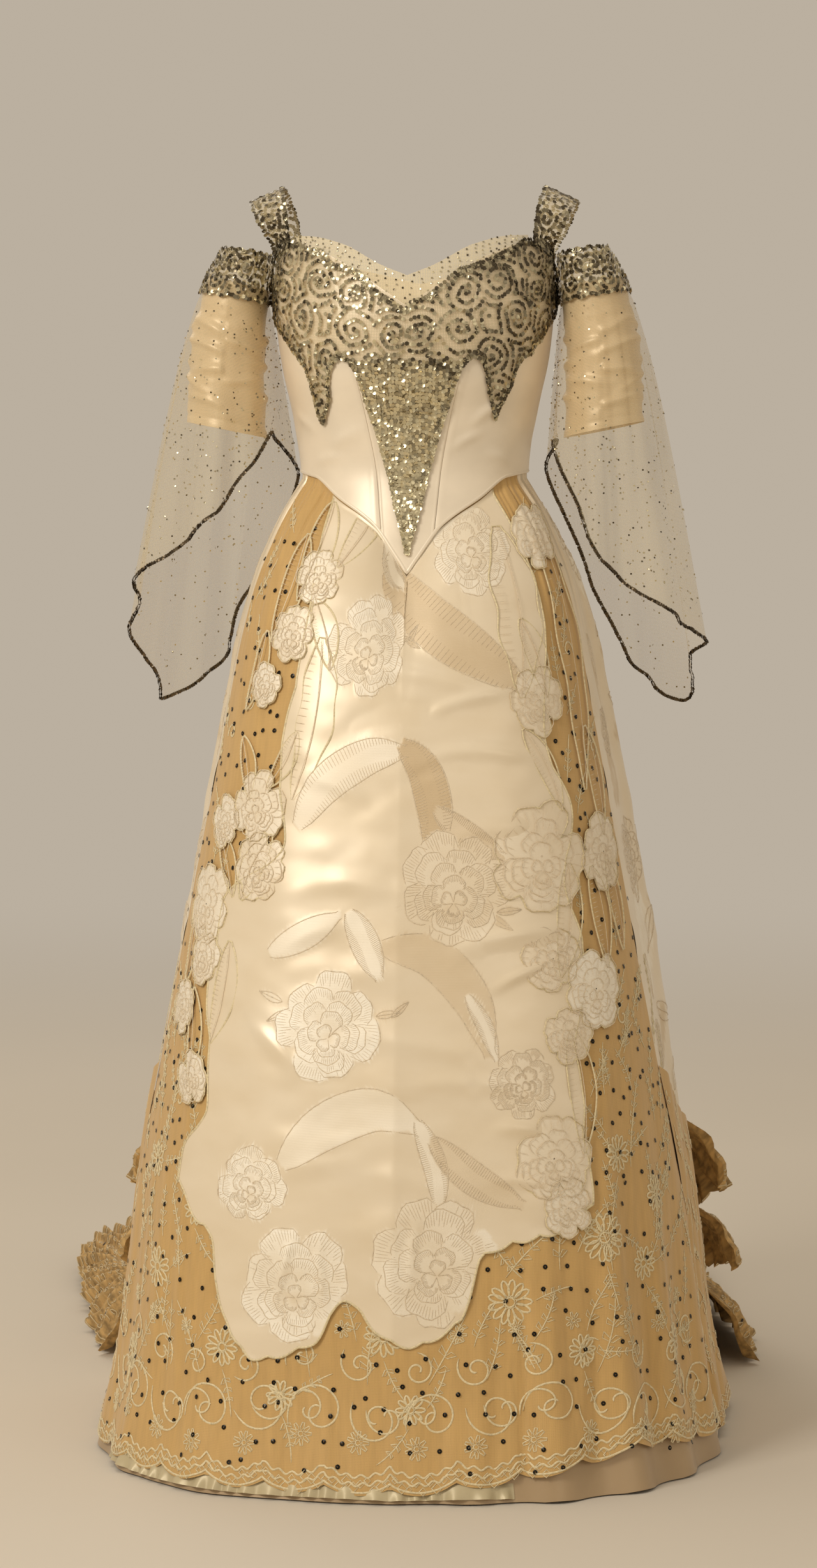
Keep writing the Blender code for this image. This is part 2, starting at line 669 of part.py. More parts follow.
def make_sleeve(side):
    """One short sleeve: the ruched satin, the sequin lace band over it and the loose net over all."""
    word = "left" if side < 0 else "right"
    hidden_top = BAND_BOTTOM + NET_RUN
    heights = np.linspace(hidden_top, SATIN_SLEEVE_BOTTOM, SATIN_SLEEVE_RINGS)
    grid, normal = sleeve_grid(heights, SLEEVE_COLUMNS)
    down = np.linspace(0, 1, SATIN_SLEEVE_RINGS)[:, None]
    turns = np.radians(np.linspace(0, 360, SLEEVE_COLUMNS, endpoint=False))[None, :]
    ruches = np.sin(2 * np.pi * RUCHES * down + 0.9 * np.sin(turns + 0.6)) * np.sin(np.pi * down) ** 0.5
    below_band = down > 0.15
    cloth_wall(
        f"sleeve_satin_{word}",
        *placed(grid + normal * (RUCHING_DEPTH * ruches * below_band)[..., None], normal, side),
        SATIN,
        "gold_satin",
        around=True,
    )
    over_net = SEAM_GAP + NET + UNDER_BAND
    band_heights = [BAND_TOP, hidden_top, BAND_BOTTOM]
    band, band_normal = sleeve_grid(band_heights, SLEEVE_COLUMNS, over_net + SEQUIN_LACE)
    cloth_wall(f"arm_band_{word}", *placed(band, band_normal, side), SEQUIN_LACE, "sequin_lace", around=True)
    make_sleeve_net(side, word)


def make_sleeve_net(side, word):
    """The spangled net, gathered under the band and cut to a slanting hem."""
    turns = np.linspace(0, 360, NET_COLUMNS, endpoint=False)
    top, top_normal = sleeve_ring(BAND_BOTTOM + NET_RUN, turns)
    under_band, _ = sleeve_ring(BAND_BOTTOM - NET_BELOW_BAND, turns)
    lift = SEAM_GAP + NET
    top, under_band = top + top_normal * lift, under_band + top_normal * (lift + 0.0002)
    at = column(NET_HEM, "angle")
    hem = np.stack([smooth(turns, at, column(NET_HEM, name)) for name in NetHem._fields[1:]], axis=-1)
    hem[:, 2] -= side * FRONT_HEM_SWAY * np.maximum(np.cos(np.radians(turns - 20)), 0)
    rows = [top, under_band]
    for down in (0.13, 0.35, 0.65, 1.0):
        straight = mix(under_band, hem, down)
        room = np.clip((straight[:, :1] - BESIDE_BODY) / (OFF_BODY - BESIDE_BODY), LEAST_FLUTE, 1)
        bow = NET_BOW * math.sin(math.pi * down**0.6)
        wave = np.cos(np.radians(turns * NET_FLUTES + 40 * side))[:, None]
        rows.append(straight + top_normal * (bow + wave * NET_FLUTE_DEPTH * down) * room)
    grid = np.array(rows)
    grid, _ = placed(grid, grid, side)
    normal = normals_of(grid, around=True)
    flat = normal.copy()
    flat[:2, :, 2] = 0
    flat /= np.linalg.norm(flat, axis=2, keepdims=True)
    cloth_wall(f"sleeve_net_{word}", grid, flat, NET, "spangled_net", around=True)


def front_grid():
    """Angles and shares down for the net's columns, which follow the brocade panel's edges."""
    wedge, middle = WEDGE_COLUMNS, FRONT_COLUMNS
    left_wedge, panel, right_wedge = np.arange(wedge), np.arange(middle), np.arange(wedge + 1)
    share_across = np.concatenate([left_wedge / wedge, panel / middle, right_wedge / wedge])
    zone = np.repeat([0, 1, 2], [wedge, middle, wedge + 1])

    def angles_at(down):
        left = smooth(down, column(FRONT_LEFT_EDGE, "down"), column(FRONT_LEFT_EDGE, "angle"))
        right = smooth(down, column(FRONT_RIGHT_EDGE, "down"), column(FRONT_RIGHT_EDGE, "angle"))
        seam = smooth(down, column(SIDE_SEAM, "down"), column(SIDE_SEAM, "angle"))
        starts = np.choose(zone, [-seam, left, right])
        ends = np.choose(zone, [left, right, seam])
        return mix(starts, ends, share_across)

    spread = np.ones(len(zone))
    at_hem = angles_at(0.75 * spread)
    panel_hem = smooth(at_hem, column(FRONT_LOWER_EDGE, "angle"), column(FRONT_LOWER_EDGE, "down"))
    lift = smooth(angles_at(spread), column(NET_HEM_LIFT, "angle"), column(NET_HEM_LIFT, "down"))
    net_hem = 1 - lift / WAIST_SEAM[-1].height
    downs = [-WAIST_TUCK * spread]
    downs += [panel_hem * share for share in np.linspace(0, 1, PANEL_ROWS + 1)]
    downs += [mix(panel_hem, net_hem, share) for share in np.linspace(0, 1, FLOUNCE_ROWS + 1)[1:]]
    downs = np.array(downs + [spread])
    return np.array([angles_at(down) for down in downs]), downs


def make_skirt_front():
    """The embroidered net overskirt, the brocade front over it and the satin underskirt below it."""
    angle, down = front_grid()
    base, normal = skirt_point(angle, down), skirt_normal(angle, down)
    split = shorter_diagonals(base)
    half = SEAM_GAP / 2
    net = narrowed(base[:-1], half, half)
    cloth_wall("skirt_net", net, normal[:-1], NET, "embroidered_net", diagonals=split)
    rows = slice(0, PANEL_ROWS + 2)
    columns = slice(WEDGE_COLUMNS, WEDGE_COLUMNS + FRONT_COLUMNS + 1)
    brocade = base + normal * (SEAM_GAP + SATIN)
    cloth_wall(
        "skirt_front_brocade",
        brocade[rows, columns],
        normal[rows, columns],
        SATIN,
        "ivory_brocade",
        diagonals=split[rows, columns],
    )
    below = narrowed(base - normal * (NET + SEAM_GAP), half, half)[PANEL_ROWS:]
    cloth_wall("underskirt", below, normal[PANEL_ROWS:], SATIN, "gold_satin", diagonals=split[PANEL_ROWS:])


def back_grid(side):
    """Angles and shares down for one back panel, from its side seam to the centre back."""
    _, front_down = front_grid()
    at_seam = front_down[:, -1 if side > 0 else 0]
    at_back = np.array([-WAIST_TUCK] + BACK_ROWS)
    seam = smooth(at_seam, column(SIDE_SEAM, "down"), column(SIDE_SEAM, "angle"))[:, None]
    near_seam = mix(seam, float(GATHER_FROM), np.arange(SEAM_COLUMNS)[None, :] / SEAM_COLUMNS)
    gathered = np.linspace(GATHER_FROM, 180, GATHERS * COLUMNS_PER_GATHER + 1)[None, :]
    angle = np.concatenate([near_seam, np.repeat(gathered, len(at_seam), axis=0)], axis=1)
    share = ease(np.arange(angle.shape[1]), 0, 10)[None, :]
    return angle * side, mix(at_seam[:, None], at_back[:, None], share)


def make_skirt_back(side):
    """One half of the brocade back, gathered at the waist, with its half of the train."""
    angle, down = back_grid(side)
    wall, normal = skirt_point(angle, down), skirt_normal(angle, down)
    if side < 0:
        wall, normal = wall[:, ::-1], normal[:, ::-1]
    wall = narrowed(wall, SEAM_GAP / 2, SEAM_GAP / 2)
    cloth_wall("skirt_back_left" if side < 0 else "skirt_back_right", wall, normal, SATIN, "ivory_brocade")


def tier_lean(angle):
    """The direction that a tier of lace stands in: out from the hem at the sides, and up at the back."""
    low, high = skirt_angle(np.abs(angle) - 2), skirt_angle(np.abs(angle) + 2)
    along = np.stack([by_angle(SKIRT_HEM, high, name) - by_angle(SKIRT_HEM, low, name) for name in ("x", "y")])
    along /= np.linalg.norm(along, axis=0)
    trail = ease(np.abs(angle), TRAIN_FROM, TRAIN_FULL)
    out = mix(1.0, TIER_OUT_AT_BACK, trail)
    up = mix(TIER_UP_AT_SIDES, TIER_UP_AT_BACK, trail)
    lean = np.stack([along[1] * np.sign(angle) * out, -along[0] * out, up], axis=-1)
    return lean / np.linalg.norm(lean, axis=-1, keepdims=True)


def between(grid, row, columns):
    """Points of a grid on one of its rows, at whole and part columns."""
    low = np.floor(columns).astype(int)
    high = np.minimum(low + 1, grid.shape[1] - 1)
    return mix(grid[row, low], grid[row, high], (columns - low)[:, None])


def make_train_tier(tier, side):
    """One tier of gathered lace on one side of the train: its waves stand off towards its free edge."""
    angle, down = back_grid(side)
    folded, plain = skirt_point(angle, down), skirt_smooth_point(angle, down)
    last = angle.shape[1] - 1
    columns = np.linspace(TIER_FROM_COLUMN, last - 0.01, (last - TIER_FROM_COLUMN) * 2 + 1)
    sewn_edge = between(folded, tier.row + 1, columns)
    start, end = between(plain, tier.row + 1, columns), between(plain, tier.row + 2, columns)
    away = end - start
    away /= np.linalg.norm(away, axis=1, keepdims=True)
    end = end + away * tier.past_edge
    lean = tier_lean(np.interp(columns, np.arange(last + 1), angle[-1]))
    lean -= away * np.sum(lean * away, axis=1, keepdims=True) * 0.6
    lean /= np.linalg.norm(lean, axis=1, keepdims=True)
    wave = 0.5 + 0.5 * np.cos(2 * np.pi * (np.arange(len(columns)) + 0.5) / COLUMNS_PER_WAVE)
    clear = NET + TIER_ROOM
    rows = [sewn_edge + lean * clear]
    for share in np.linspace(0, 1, TIER_ROWS + 1)[1:]:
        stand = clear + TIER_OVER_FOLDS + tier.rise * share * wave
        rows.append(mix(start, end, share) + lean * stand[:, None])
    grid = np.array(rows)
    if side < 0:
        grid = grid[:, ::-1]
    normal = normals_of(grid)
    normal[0] += normal[1]
    normal[0] /= np.linalg.norm(normal[0], axis=1, keepdims=True)
    word = "left" if side < 0 else "right"
    cloth_wall(f"train_lace_{tier.name}_{word}", grid, normal, NET, "train_lace")


def main():
    for leftover in list(bpy.data.objects):
        bpy.data.objects.remove(leftover)
    held = bpy.data.objects.new("held_at_shoulders", None)
    held.location.z = -STRAP_CROWN_HEIGHT
    bpy.context.scene.collection.objects.link(held)
    make_bodice()
    make_neckline_tulle()
    make_sequin_lace()
    for side in (-1, 1):
        make_strap(side)
        make_sleeve(side)
        make_skirt_back(side)
        for tier in TRAIN_TIERS:
            make_train_tier(tier, side)
    make_skirt_front()


main()
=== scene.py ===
"""An evening ball gown of about 1898: satin, rose brocade, sequin lace and embroidered net.

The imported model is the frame. Each cloth is a thin shell on its solid's form, with its own
creases, weave, sequins and needlework. Left and right are the viewer's, heights in the
tables are above the floor in metres, and angles are degrees round the body from the centre
front, with the viewer's right positive.
"""

import math
from collections import namedtuple

import bpy
import numpy as np
from bpy.props import FloatProperty, FloatVectorProperty, IntProperty, PointerProperty
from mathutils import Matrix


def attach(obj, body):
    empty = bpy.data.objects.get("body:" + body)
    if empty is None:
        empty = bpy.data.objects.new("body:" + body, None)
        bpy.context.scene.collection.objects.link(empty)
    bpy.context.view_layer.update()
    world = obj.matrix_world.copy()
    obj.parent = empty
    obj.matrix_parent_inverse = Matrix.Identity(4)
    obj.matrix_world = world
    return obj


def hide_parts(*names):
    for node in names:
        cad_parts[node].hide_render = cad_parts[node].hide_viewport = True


bl_info = {
    "name": "Evening ball gown",
    "version": (1, 0, 0),
    "blender": (4, 5, 0),
    "location": "View3D > Sidebar > Gown",
    "description": "Makes the gown's cloth, needlework and sequins on the packed model, and a plain stage",
    "category": "Object",
}

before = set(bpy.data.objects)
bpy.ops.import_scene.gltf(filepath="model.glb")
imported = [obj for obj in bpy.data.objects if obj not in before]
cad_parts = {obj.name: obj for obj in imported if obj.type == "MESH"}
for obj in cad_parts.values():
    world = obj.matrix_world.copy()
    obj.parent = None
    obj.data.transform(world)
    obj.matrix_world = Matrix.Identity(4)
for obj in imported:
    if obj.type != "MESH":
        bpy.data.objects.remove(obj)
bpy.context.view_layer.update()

# Driving sizes, in metres.
STRAP_CROWN_HEIGHT = 1.400
SEAM_GAP = 0.0003
WAIST_ROOM = 0.0012  # between the bodice and the skirt inside it
BELOW_BODICE = 0.009  # how far below the bodice's edge the skirt starts to spread
BODICE_CLOTH = 0.0020
SATIN = 0.0013
NET = 0.0010
SEQUIN_LACE = 0.0014
UNDER_LACE = 0.0017  # room under lace that has its own grid
UNDER_BAND = 0.0012  # room between the arm band and the net gathered under it
TRAIN_SWEEP = -0.10  # how far the train's end is laid towards the viewer's left
SLEEVE_TILT = 0.20  # the sleeve's rings rise by this share of the way out from the body
NET_RUN = 0.0145  # how far the net and satin sleeves reach up inside the arm band
STRAP_ROOM = 0.0006  # between a strap's foot and the lace below it
FLOOR_CLEARANCE = 0.002

# Bodice: an oval at each height.
BodiceSection = namedtuple("BodiceSection", "height half_width front back")
BODICE_SECTIONS = [
    BodiceSection(0.960, 0.155, 0.131, 0.110),
    BodiceSection(1.030, 0.138, 0.114, 0.094),
    BodiceSection(1.085, 0.128, 0.104, 0.084),
    BodiceSection(1.140, 0.135, 0.112, 0.088),
    BodiceSection(1.200, 0.148, 0.128, 0.095),
    BodiceSection(1.250, 0.155, 0.133, 0.100),
    BodiceSection(1.300, 0.157, 0.122, 0.102),
    BodiceSection(1.350, 0.152, 0.100, 0.098),
]

# The bodice's edges, the same on both sides: heights by angle.
EdgePoint = namedtuple("EdgePoint", "angle height")
WAIST_SEAM = [
    EdgePoint(0, 0.972),
    EdgePoint(4, 0.988),
    EdgePoint(16, 1.026),
    EdgePoint(36, 1.055),
    EdgePoint(57, 1.079),
    EdgePoint(90, 1.085),
    EdgePoint(180, 1.085),
]
SATIN_TOP = [
    EdgePoint(0, 1.262),
    EdgePoint(10, 1.281),
    EdgePoint(25, 1.308),
    EdgePoint(45, 1.330),
    EdgePoint(60, 1.337),
    EdgePoint(75, 1.326),
    EdgePoint(90, 1.300),
    EdgePoint(104, 1.318),
    EdgePoint(120, 1.332),
    EdgePoint(150, 1.318),
    EdgePoint(180, 1.300),
]
TULLE_TOP = [
    EdgePoint(0, 1.296),
    EdgePoint(10, 1.307),
    EdgePoint(28, 1.332),
    EdgePoint(45, 1.342),
    EdgePoint(58, 1.344),
]
# The sequin lace ends in a long point at the centre and a short one on each breast.
LACE_BOTTOM = [
    EdgePoint(0, 0.990),
    EdgePoint(6, 1.045),
    EdgePoint(12, 1.100),
    EdgePoint(18, 1.150),
    EdgePoint(24, 1.198),
    EdgePoint(29, 1.207),
    EdgePoint(35, 1.190),
    EdgePoint(44, 1.138),
    EdgePoint(52, 1.196),
    EdgePoint(60, 1.215),
    EdgePoint(75, 1.245),
    EdgePoint(96, 1.262),
    EdgePoint(130, 1.250),
    EdgePoint(165, 1.236),
    EdgePoint(180, 1.228),
]
STRAP_FOOT = (59, 77)  # the strap's foot on the bodice's top edge, from its inner edge to its outer
STRAP_BACK_FOOT = (123, 105)
FOOT_OVERLAP, FOOT_RISE = -0.008, 0.004  # the foot's two rows, from the bodice's top edge

# The centre front panel narrows from the bust to the point.
PanelSeam = namedtuple("PanelSeam", "down angle")
CENTRE_SEAM = [
    PanelSeam(0.0, 31),
    PanelSeam(0.35, 25),
    PanelSeam(0.85, 15),
    PanelSeam(1.0, 12),
]

# Shoulder strap: its inner and outer edges between the two feet.
StrapSection = namedtuple("StrapSection", "back inner_x inner_height outer_x outer_height")
STRAP_SECTIONS = [
    StrapSection(-0.050, 0.139, 1.373, 0.172, 1.361),
    StrapSection(-0.016, 0.146, 1.399, 0.182, 1.383),
    StrapSection(0.026, 0.146, 1.399, 0.182, 1.383),
    StrapSection(0.062, 0.138, 1.371, 0.170, 1.359),
]

# Upper arm sleeve, on the right, and mirrored: the satin's outer side at each height.
SleeveSection = namedtuple("SleeveSection", "height centre_x centre_y half_width half_depth")
SLEEVE_SECTIONS = [
    SleeveSection(1.120, 0.2125, 0.006, 0.0455, 0.055),
    SleeveSection(1.200, 0.2120, 0.002, 0.0430, 0.054),
    SleeveSection(1.265, 0.2040, 0.000, 0.0380, 0.053),
    SleeveSection(1.300, 0.1966, 0.000, 0.0320, 0.049),
    SleeveSection(1.345, 0.1830, 0.000, 0.0180, 0.040),
]
BAND_TOP, BAND_BOTTOM = 1.329, 1.279
SATIN_SLEEVE_BOTTOM = 1.131
RUCHES, RUCHING_DEPTH = 3.5, 0.0018

# Hem of the net sleeve, round the arm from the front: 90 is the outer side, 180 the back.
NetHem = namedtuple("NetHem", "angle x y height")
NET_HEM = [
    NetHem(0, 0.212, -0.090, 1.012),
    NetHem(36, 0.268, -0.086, 0.966),
    NetHem(72, 0.318, -0.030, 0.922),
    NetHem(104, 0.318, 0.055, 0.880),
    NetHem(136, 0.298, 0.125, 0.822),
    NetHem(164, 0.264, 0.160, 0.845),
    NetHem(192, 0.236, 0.172, 0.870),
    NetHem(222, 0.198, 0.160, 0.965),
    NetHem(248, 0.142, 0.130, 1.085),
    NetHem(274, 0.156, 0.052, 1.112),
    NetHem(302, 0.157, -0.022, 1.122),
    NetHem(330, 0.180, -0.068, 1.070),
    NetHem(360, 0.212, -0.090, 1.012),
]
FRONT_HEM_SWAY = 0.028  # the front of the hem is this much higher on the left, and lower on the right
NET_FLUTES, NET_FLUTE_DEPTH, NET_BOW = 8, 0.009, 0.008
NET_BELOW_BAND = 0.003
BESIDE_BODY = 0.150  # the net is straight this near to the body, and flutes fully from OFF_BODY on
OFF_BODY = 0.210
LEAST_FLUTE = 0.25

# Skirt: the hem in plan, then how the cloth spreads and falls on the way down to it.
HemPoint = namedtuple("HemPoint", "angle x y")
SKIRT_HEM = [
    HemPoint(0, 0.000, -0.385),
    HemPoint(25, 0.160, -0.360),
    HemPoint(50, 0.285, -0.270),
    HemPoint(75, 0.340, -0.115),
    HemPoint(95, 0.347, 0.050),
    HemPoint(112, 0.348, 0.270),
    HemPoint(128, 0.380, 0.570),
    HemPoint(145, 0.405, 0.880),
    HemPoint(162, 0.315, 1.140),
    HemPoint(180, 0.000, 1.270),
]
Hanging = namedtuple("Hanging", "down spread")
HANGING = [
    Hanging(0.0, 0.0),
    Hanging(0.032, 0.100),
    Hanging(0.060, 0.167),
    Hanging(0.122, 0.279),
    Hanging(0.244, 0.400),
    Hanging(0.407, 0.548),
    Hanging(0.570, 0.690),
    Hanging(0.734, 0.806),
    Hanging(0.896, 0.890),
    Hanging(1.0, 1.0),
]
Trailing = namedtuple("Trailing", "down spread height_left")
TRAILING = [
    Trailing(0.0, 0.0, 1.0),
    Trailing(0.05, 0.045, 0.980),
    Trailing(0.12, 0.105, 0.900),
    Trailing(0.22, 0.155, 0.760),
    Trailing(0.34, 0.215, 0.580),
    Trailing(0.46, 0.285, 0.390),
    Trailing(0.58, 0.375, 0.200),
    Trailing(0.68, 0.480, 0.080),
    Trailing(0.76, 0.600, 0.020),
    Trailing(0.86, 0.760, 0.003),
    Trailing(1.0, 1.0, 0.0),
]
TRAIN_FROM, TRAIN_FULL = 98, 165  # the cloth hangs before the first angle and trails past the second

# Folds of the front and sides, then the deep gathers of the back, worked out in a loop.
Fold = namedtuple("Fold", "angle half_spread depth start")
FRONT_FOLDS = [
    Fold(-74, 9, 0.009, 0.45),
    Fold(-55, 8, 0.007, 0.62),
    Fold(-33, 9, 0.005, 0.78),
    Fold(-9, 10, 0.004, 0.80),
    Fold(13, 7, 0.008, 0.74),
    Fold(28, 7, 0.012, 0.66),
    Fold(43, 7, 0.014, 0.58),
    Fold(58, 7, 0.011, 0.52),
    Fold(74, 9, 0.010, 0.42),
]
GATHERS, GATHER_DEPTH, GATHER_FROM = 6, 0.024, 90
GATHER_UNEVEN = 0.15  # share of a gather's depth that comes and goes round the back
FLOOR_FOLD = 0.45  # how much of a gather's depth is left where the cloth lies on the floor

# The brocade front panel's edges, cut round the roses: angles by the way down, then the lower edge.
PanelEdge = namedtuple("PanelEdge", "down angle")
FRONT_LEFT_EDGE = [
    PanelEdge(0.0, -41),
    PanelEdge(0.06, -35),
    PanelEdge(0.13, -32),
    PanelEdge(0.27, -34),
    PanelEdge(0.34, -29),
    PanelEdge(0.42, -46),
    PanelEdge(0.49, -47),
    PanelEdge(0.57, -43),
    PanelEdge(0.62, -41),
    PanelEdge(0.67, -47),
    PanelEdge(1.0, -47),
]
FRONT_RIGHT_EDGE = [
    PanelEdge(0.0, 46),
    PanelEdge(0.10, 49),
    PanelEdge(0.17, 46),
    PanelEdge(0.24, 41),
    PanelEdge(0.33, 47),
    PanelEdge(0.40, 41),
    PanelEdge(0.46, 45),
    PanelEdge(0.56, 39),
    PanelEdge(0.62, 39),
    PanelEdge(1.0, 38),
]
PanelHem = namedtuple("PanelHem", "angle down")
FRONT_LOWER_EDGE = [
    PanelHem(-47, 0.700),
    PanelHem(-41, 0.735),
    PanelHem(-37, 0.745),
    PanelHem(-33, 0.820),
    PanelHem(-25, 0.862),
    PanelHem(-14, 0.840),
    PanelHem(-8.5, 0.790),
    PanelHem(-3, 0.818),
    PanelHem(4, 0.835),
    PanelHem(12, 0.815),
    PanelHem(16, 0.752),
    PanelHem(23, 0.740),
    PanelHem(31, 0.735),
    PanelHem(38, 0.715),
]
SIDE_SEAM = [PanelEdge(0.0, 70), PanelEdge(0.55, 71), PanelEdge(0.8, 79), PanelEdge(1.0, 83)]
NET_HEM_LIFT = [
    PanelHem(-90, 0.014),
    PanelHem(-40, 0.016),
    PanelHem(0, 0.014),
    PanelHem(25, 0.030),
    PanelHem(45, 0.046),
    PanelHem(65, 0.034),
    PanelHem(90, 0.018),
]

# Rows of the back panels by share of the way down, and the tiers of gathered lace between them.
BACK_ROWS = [0.0, 0.06, 0.12, 0.18, 0.25, 0.32, 0.39, 0.455, 0.52, 0.585, 0.65, 0.755, 0.87, 1.0]
Tier = namedtuple("Tier", "name row rise past_edge")
TRAIN_TIERS = [
    Tier("upper", 10, 0.055, 0.0),
    Tier("middle", 11, 0.045, 0.0),
    Tier("lower", 12, 0.032, 0.020),
]
TIER_ROOM = 0.0009
TIER_OVER_FOLDS = 0.022  # the loose part of a tier clears the skirt's folds by this much
TIER_FROM_COLUMN = 11
TIER_UP_AT_SIDES, TIER_UP_AT_BACK = 0.45, 1.35  # how steeply a tier stands
TIER_OUT_AT_BACK = 0.15



def column(rows, name):
    """One named column of a table, as numbers."""
    return np.array([getattr(row, name) for row in rows], float)


def smooth(at, stations, values):
    """A smooth curve through a table's values, which never overshoots them."""
    gaps = np.diff(stations)
    rises = np.diff(values) / gaps
    slopes = np.concatenate([rises[:1], np.zeros(len(rises) - 1), rises[-1:]])
    before, after = rises[:-1], rises[1:]
    same_way = before * after > 0
    slopes[1:-1][same_way] = 2 * (before * after)[same_way] / (before + after)[same_way]
    at = np.asarray(at, float)
    i = np.clip(np.searchsorted(stations, at, side="right") - 1, 0, len(gaps) - 1)
    t = np.clip((at - stations[i]) / gaps[i], 0, 1)
    start = (1 + 2 * t) * (1 - t) ** 2 * values[i] + t * (1 - t) ** 2 * gaps[i] * slopes[i]
    end = t * t * (3 - 2 * t) * values[i + 1] - t * t * (1 - t) * gaps[i] * slopes[i + 1]
    return start + end


def by_angle(rows, angle, name):
    """A table's value at an angle, where both sides are the same."""
    return smooth(np.abs(angle), column(rows, "angle"), column(rows, name))


def ease(at, start, end):
    """0 before start, 1 after end, and a smooth step between them."""
    t = np.clip((at - start) / (end - start), 0, 1)
    return t * t * (3 - 2 * t)


def mix(a, b, share):
    return a + (b - a) * share


def normals_of(points, around=False):
    """Unit normals of a grid whose rows go down and columns go to the viewer's right."""
    down = np.gradient(points, axis=0)
    if around:
        across = (np.roll(points, -1, axis=1) - np.roll(points, 1, axis=1)) / 2
    else:
        across = np.gradient(points, axis=1)
    normal = np.cross(down, across)
    return normal / np.linalg.norm(normal, axis=2, keepdims=True)


def bodice_point(angle, height):
    """A point of the bodice's outer side."""
    heights = column(BODICE_SECTIONS, "height")
    half = smooth(height, heights, column(BODICE_SECTIONS, "half_width"))
    front = smooth(height, heights, column(BODICE_SECTIONS, "front"))
    back = smooth(height, heights, column(BODICE_SECTIONS, "back"))
    turn = np.radians(angle)
    depth = np.where(np.cos(turn) > 0, front, back)
    return np.stack([half * np.sin(turn), -depth * np.cos(turn), height], axis=-1)


def bodice_normal(angle, height):
    """The bodice's outward direction, from two short steps along its surface."""
    step_angle, step_height = 0.5, 0.002
    across = bodice_point(angle + step_angle, height) - bodice_point(angle - step_angle, height)
    down = bodice_point(angle, height - step_height) - bodice_point(angle, height + step_height)
    normal = np.cross(down, across)
    return normal / np.linalg.norm(normal, axis=-1, keepdims=True)


def skirt_angle(angle):
    """The two sides of the skirt share their tables, so this is the table's angle."""
    return np.minimum(np.abs(angle), 180)


def skirt_smooth_point(angle, down):
    """A point of the skirt before its folds: angle round the body and share of the way down.

    Above 0 the cloth is tucked up inside the bodice, and past 1 it goes on outwards.
    """
    side = np.sign(angle)
    at = skirt_angle(angle)
    tuck = np.clip(-down, 0, 1) * WAIST_SEAM[-1].height
    top_height = by_angle(WAIST_SEAM, at, "height") - BELOW_BODICE
    inside_bodice = BODICE_CLOTH + WAIST_ROOM + SATIN + SEAM_GAP
    top_at = top_height + tuck
    top = bodice_point(at, top_at) - bodice_normal(at, top_at) * inside_bodice
    trail = ease(at, TRAIN_FROM, TRAIN_FULL)
    inside = np.clip(down, 0, 1)
    hanging = smooth(inside, column(HANGING, "down"), column(HANGING, "spread"))
    trailing = smooth(inside, column(TRAILING, "down"), column(TRAILING, "spread"))
    spread = mix(hanging, trailing, trail)
    left = smooth(inside, column(TRAILING, "down"), column(TRAILING, "height_left"))
    x = mix(top[..., 0], by_angle(SKIRT_HEM, at, "x"), spread) * side
    y = mix(top[..., 1], by_angle(SKIRT_HEM, at, "y"), spread)
    z = top[..., 2] * mix(1 - inside, left, trail)
    x = x + TRAIN_SWEEP * ease(y, 0.2, 1.0)
    return np.stack([x, y, z], axis=-1)


def fold_depth(angle, down):
    """How far the cloth stands out of the smooth skirt."""
    depth = np.zeros(np.broadcast(angle, down).shape)
    for fold in FRONT_FOLDS:
        off = np.clip((angle - fold.angle) / fold.half_spread, -1, 1)
        depth += fold.depth * np.cos(off * np.pi / 2) ** 2 * ease(down, fold.start, 1.0)
    at = skirt_angle(angle)
    wave = 0.5 - 0.5 * np.cos(2 * np.pi * GATHERS * (at - GATHER_FROM) / (180 - GATHER_FROM))
    uneven = 1 - GATHER_UNEVEN + GATHER_UNEVEN * np.cos(np.radians(angle) * 5.0)
    grown = ease(down, 0.0, 0.22) * mix(1.0, FLOOR_FOLD, ease(down, 0.44, 0.68))
    depth += GATHER_DEPTH * wave * uneven * grown * ease(at, GATHER_FROM, GATHER_FROM + 14)
    return depth


def direction_out(point_at, angle, down):
    """The outward direction of a surface of the skirt, the same for every piece that lies on it."""
    step_angle, step_down = 0.8, 0.006
    at = np.clip(angle, -179.1, 179.1)
    low, high = np.minimum(down + step_down, 1.0), down - step_down
    across = point_at(at + step_angle, down) - point_at(at - step_angle, down)
    fall = point_at(at, low) - point_at(at, high)
    normal = np.cross(fall, across)
    normal[..., 0] *= np.abs(angle) < 179.5
    return normal / np.linalg.norm(normal, axis=-1, keepdims=True)


def skirt_point(angle, down):
    """A point of the skirt's base cloth, with its folds, and never under the floor."""
    folds = fold_depth(angle, down)[..., None]
    points = skirt_smooth_point(angle, down) + direction_out(skirt_smooth_point, angle, down) * folds
    points[..., 2] = np.maximum(points[..., 2], FLOOR_CLEARANCE)
    return points


def skirt_normal(angle, down):
    """The folded cloth's outward direction, straight up where it lies on the floor."""
    normal = direction_out(skirt_point, angle, down)
    flat = skirt_point(angle, down)[..., 2:] < 3 * FLOOR_CLEARANCE
    lying = flat & (skirt_angle(angle) > TRAIN_FROM)[..., None]
    return np.where(lying, np.array([0.0, 0.0, 1.0]), normal)


def centre_seam(side):
    """The seam beside the centre front panel, on one side."""
    return lambda down: side * smooth(down, column(CENTRE_SEAM, "down"), column(CENTRE_SEAM, "angle"))


def satin_top(angle):
    return by_angle(SATIN_TOP, np.minimum(np.abs(angle), 360 - np.abs(angle)), "height")


def waist_edge(angle):
    return by_angle(WAIST_SEAM, np.minimum(np.abs(angle), 360 - np.abs(angle)), "height")


def lace_bottom(angle):
    return by_angle(LACE_BOTTOM, np.minimum(np.abs(angle), 360 - np.abs(angle)), "height")


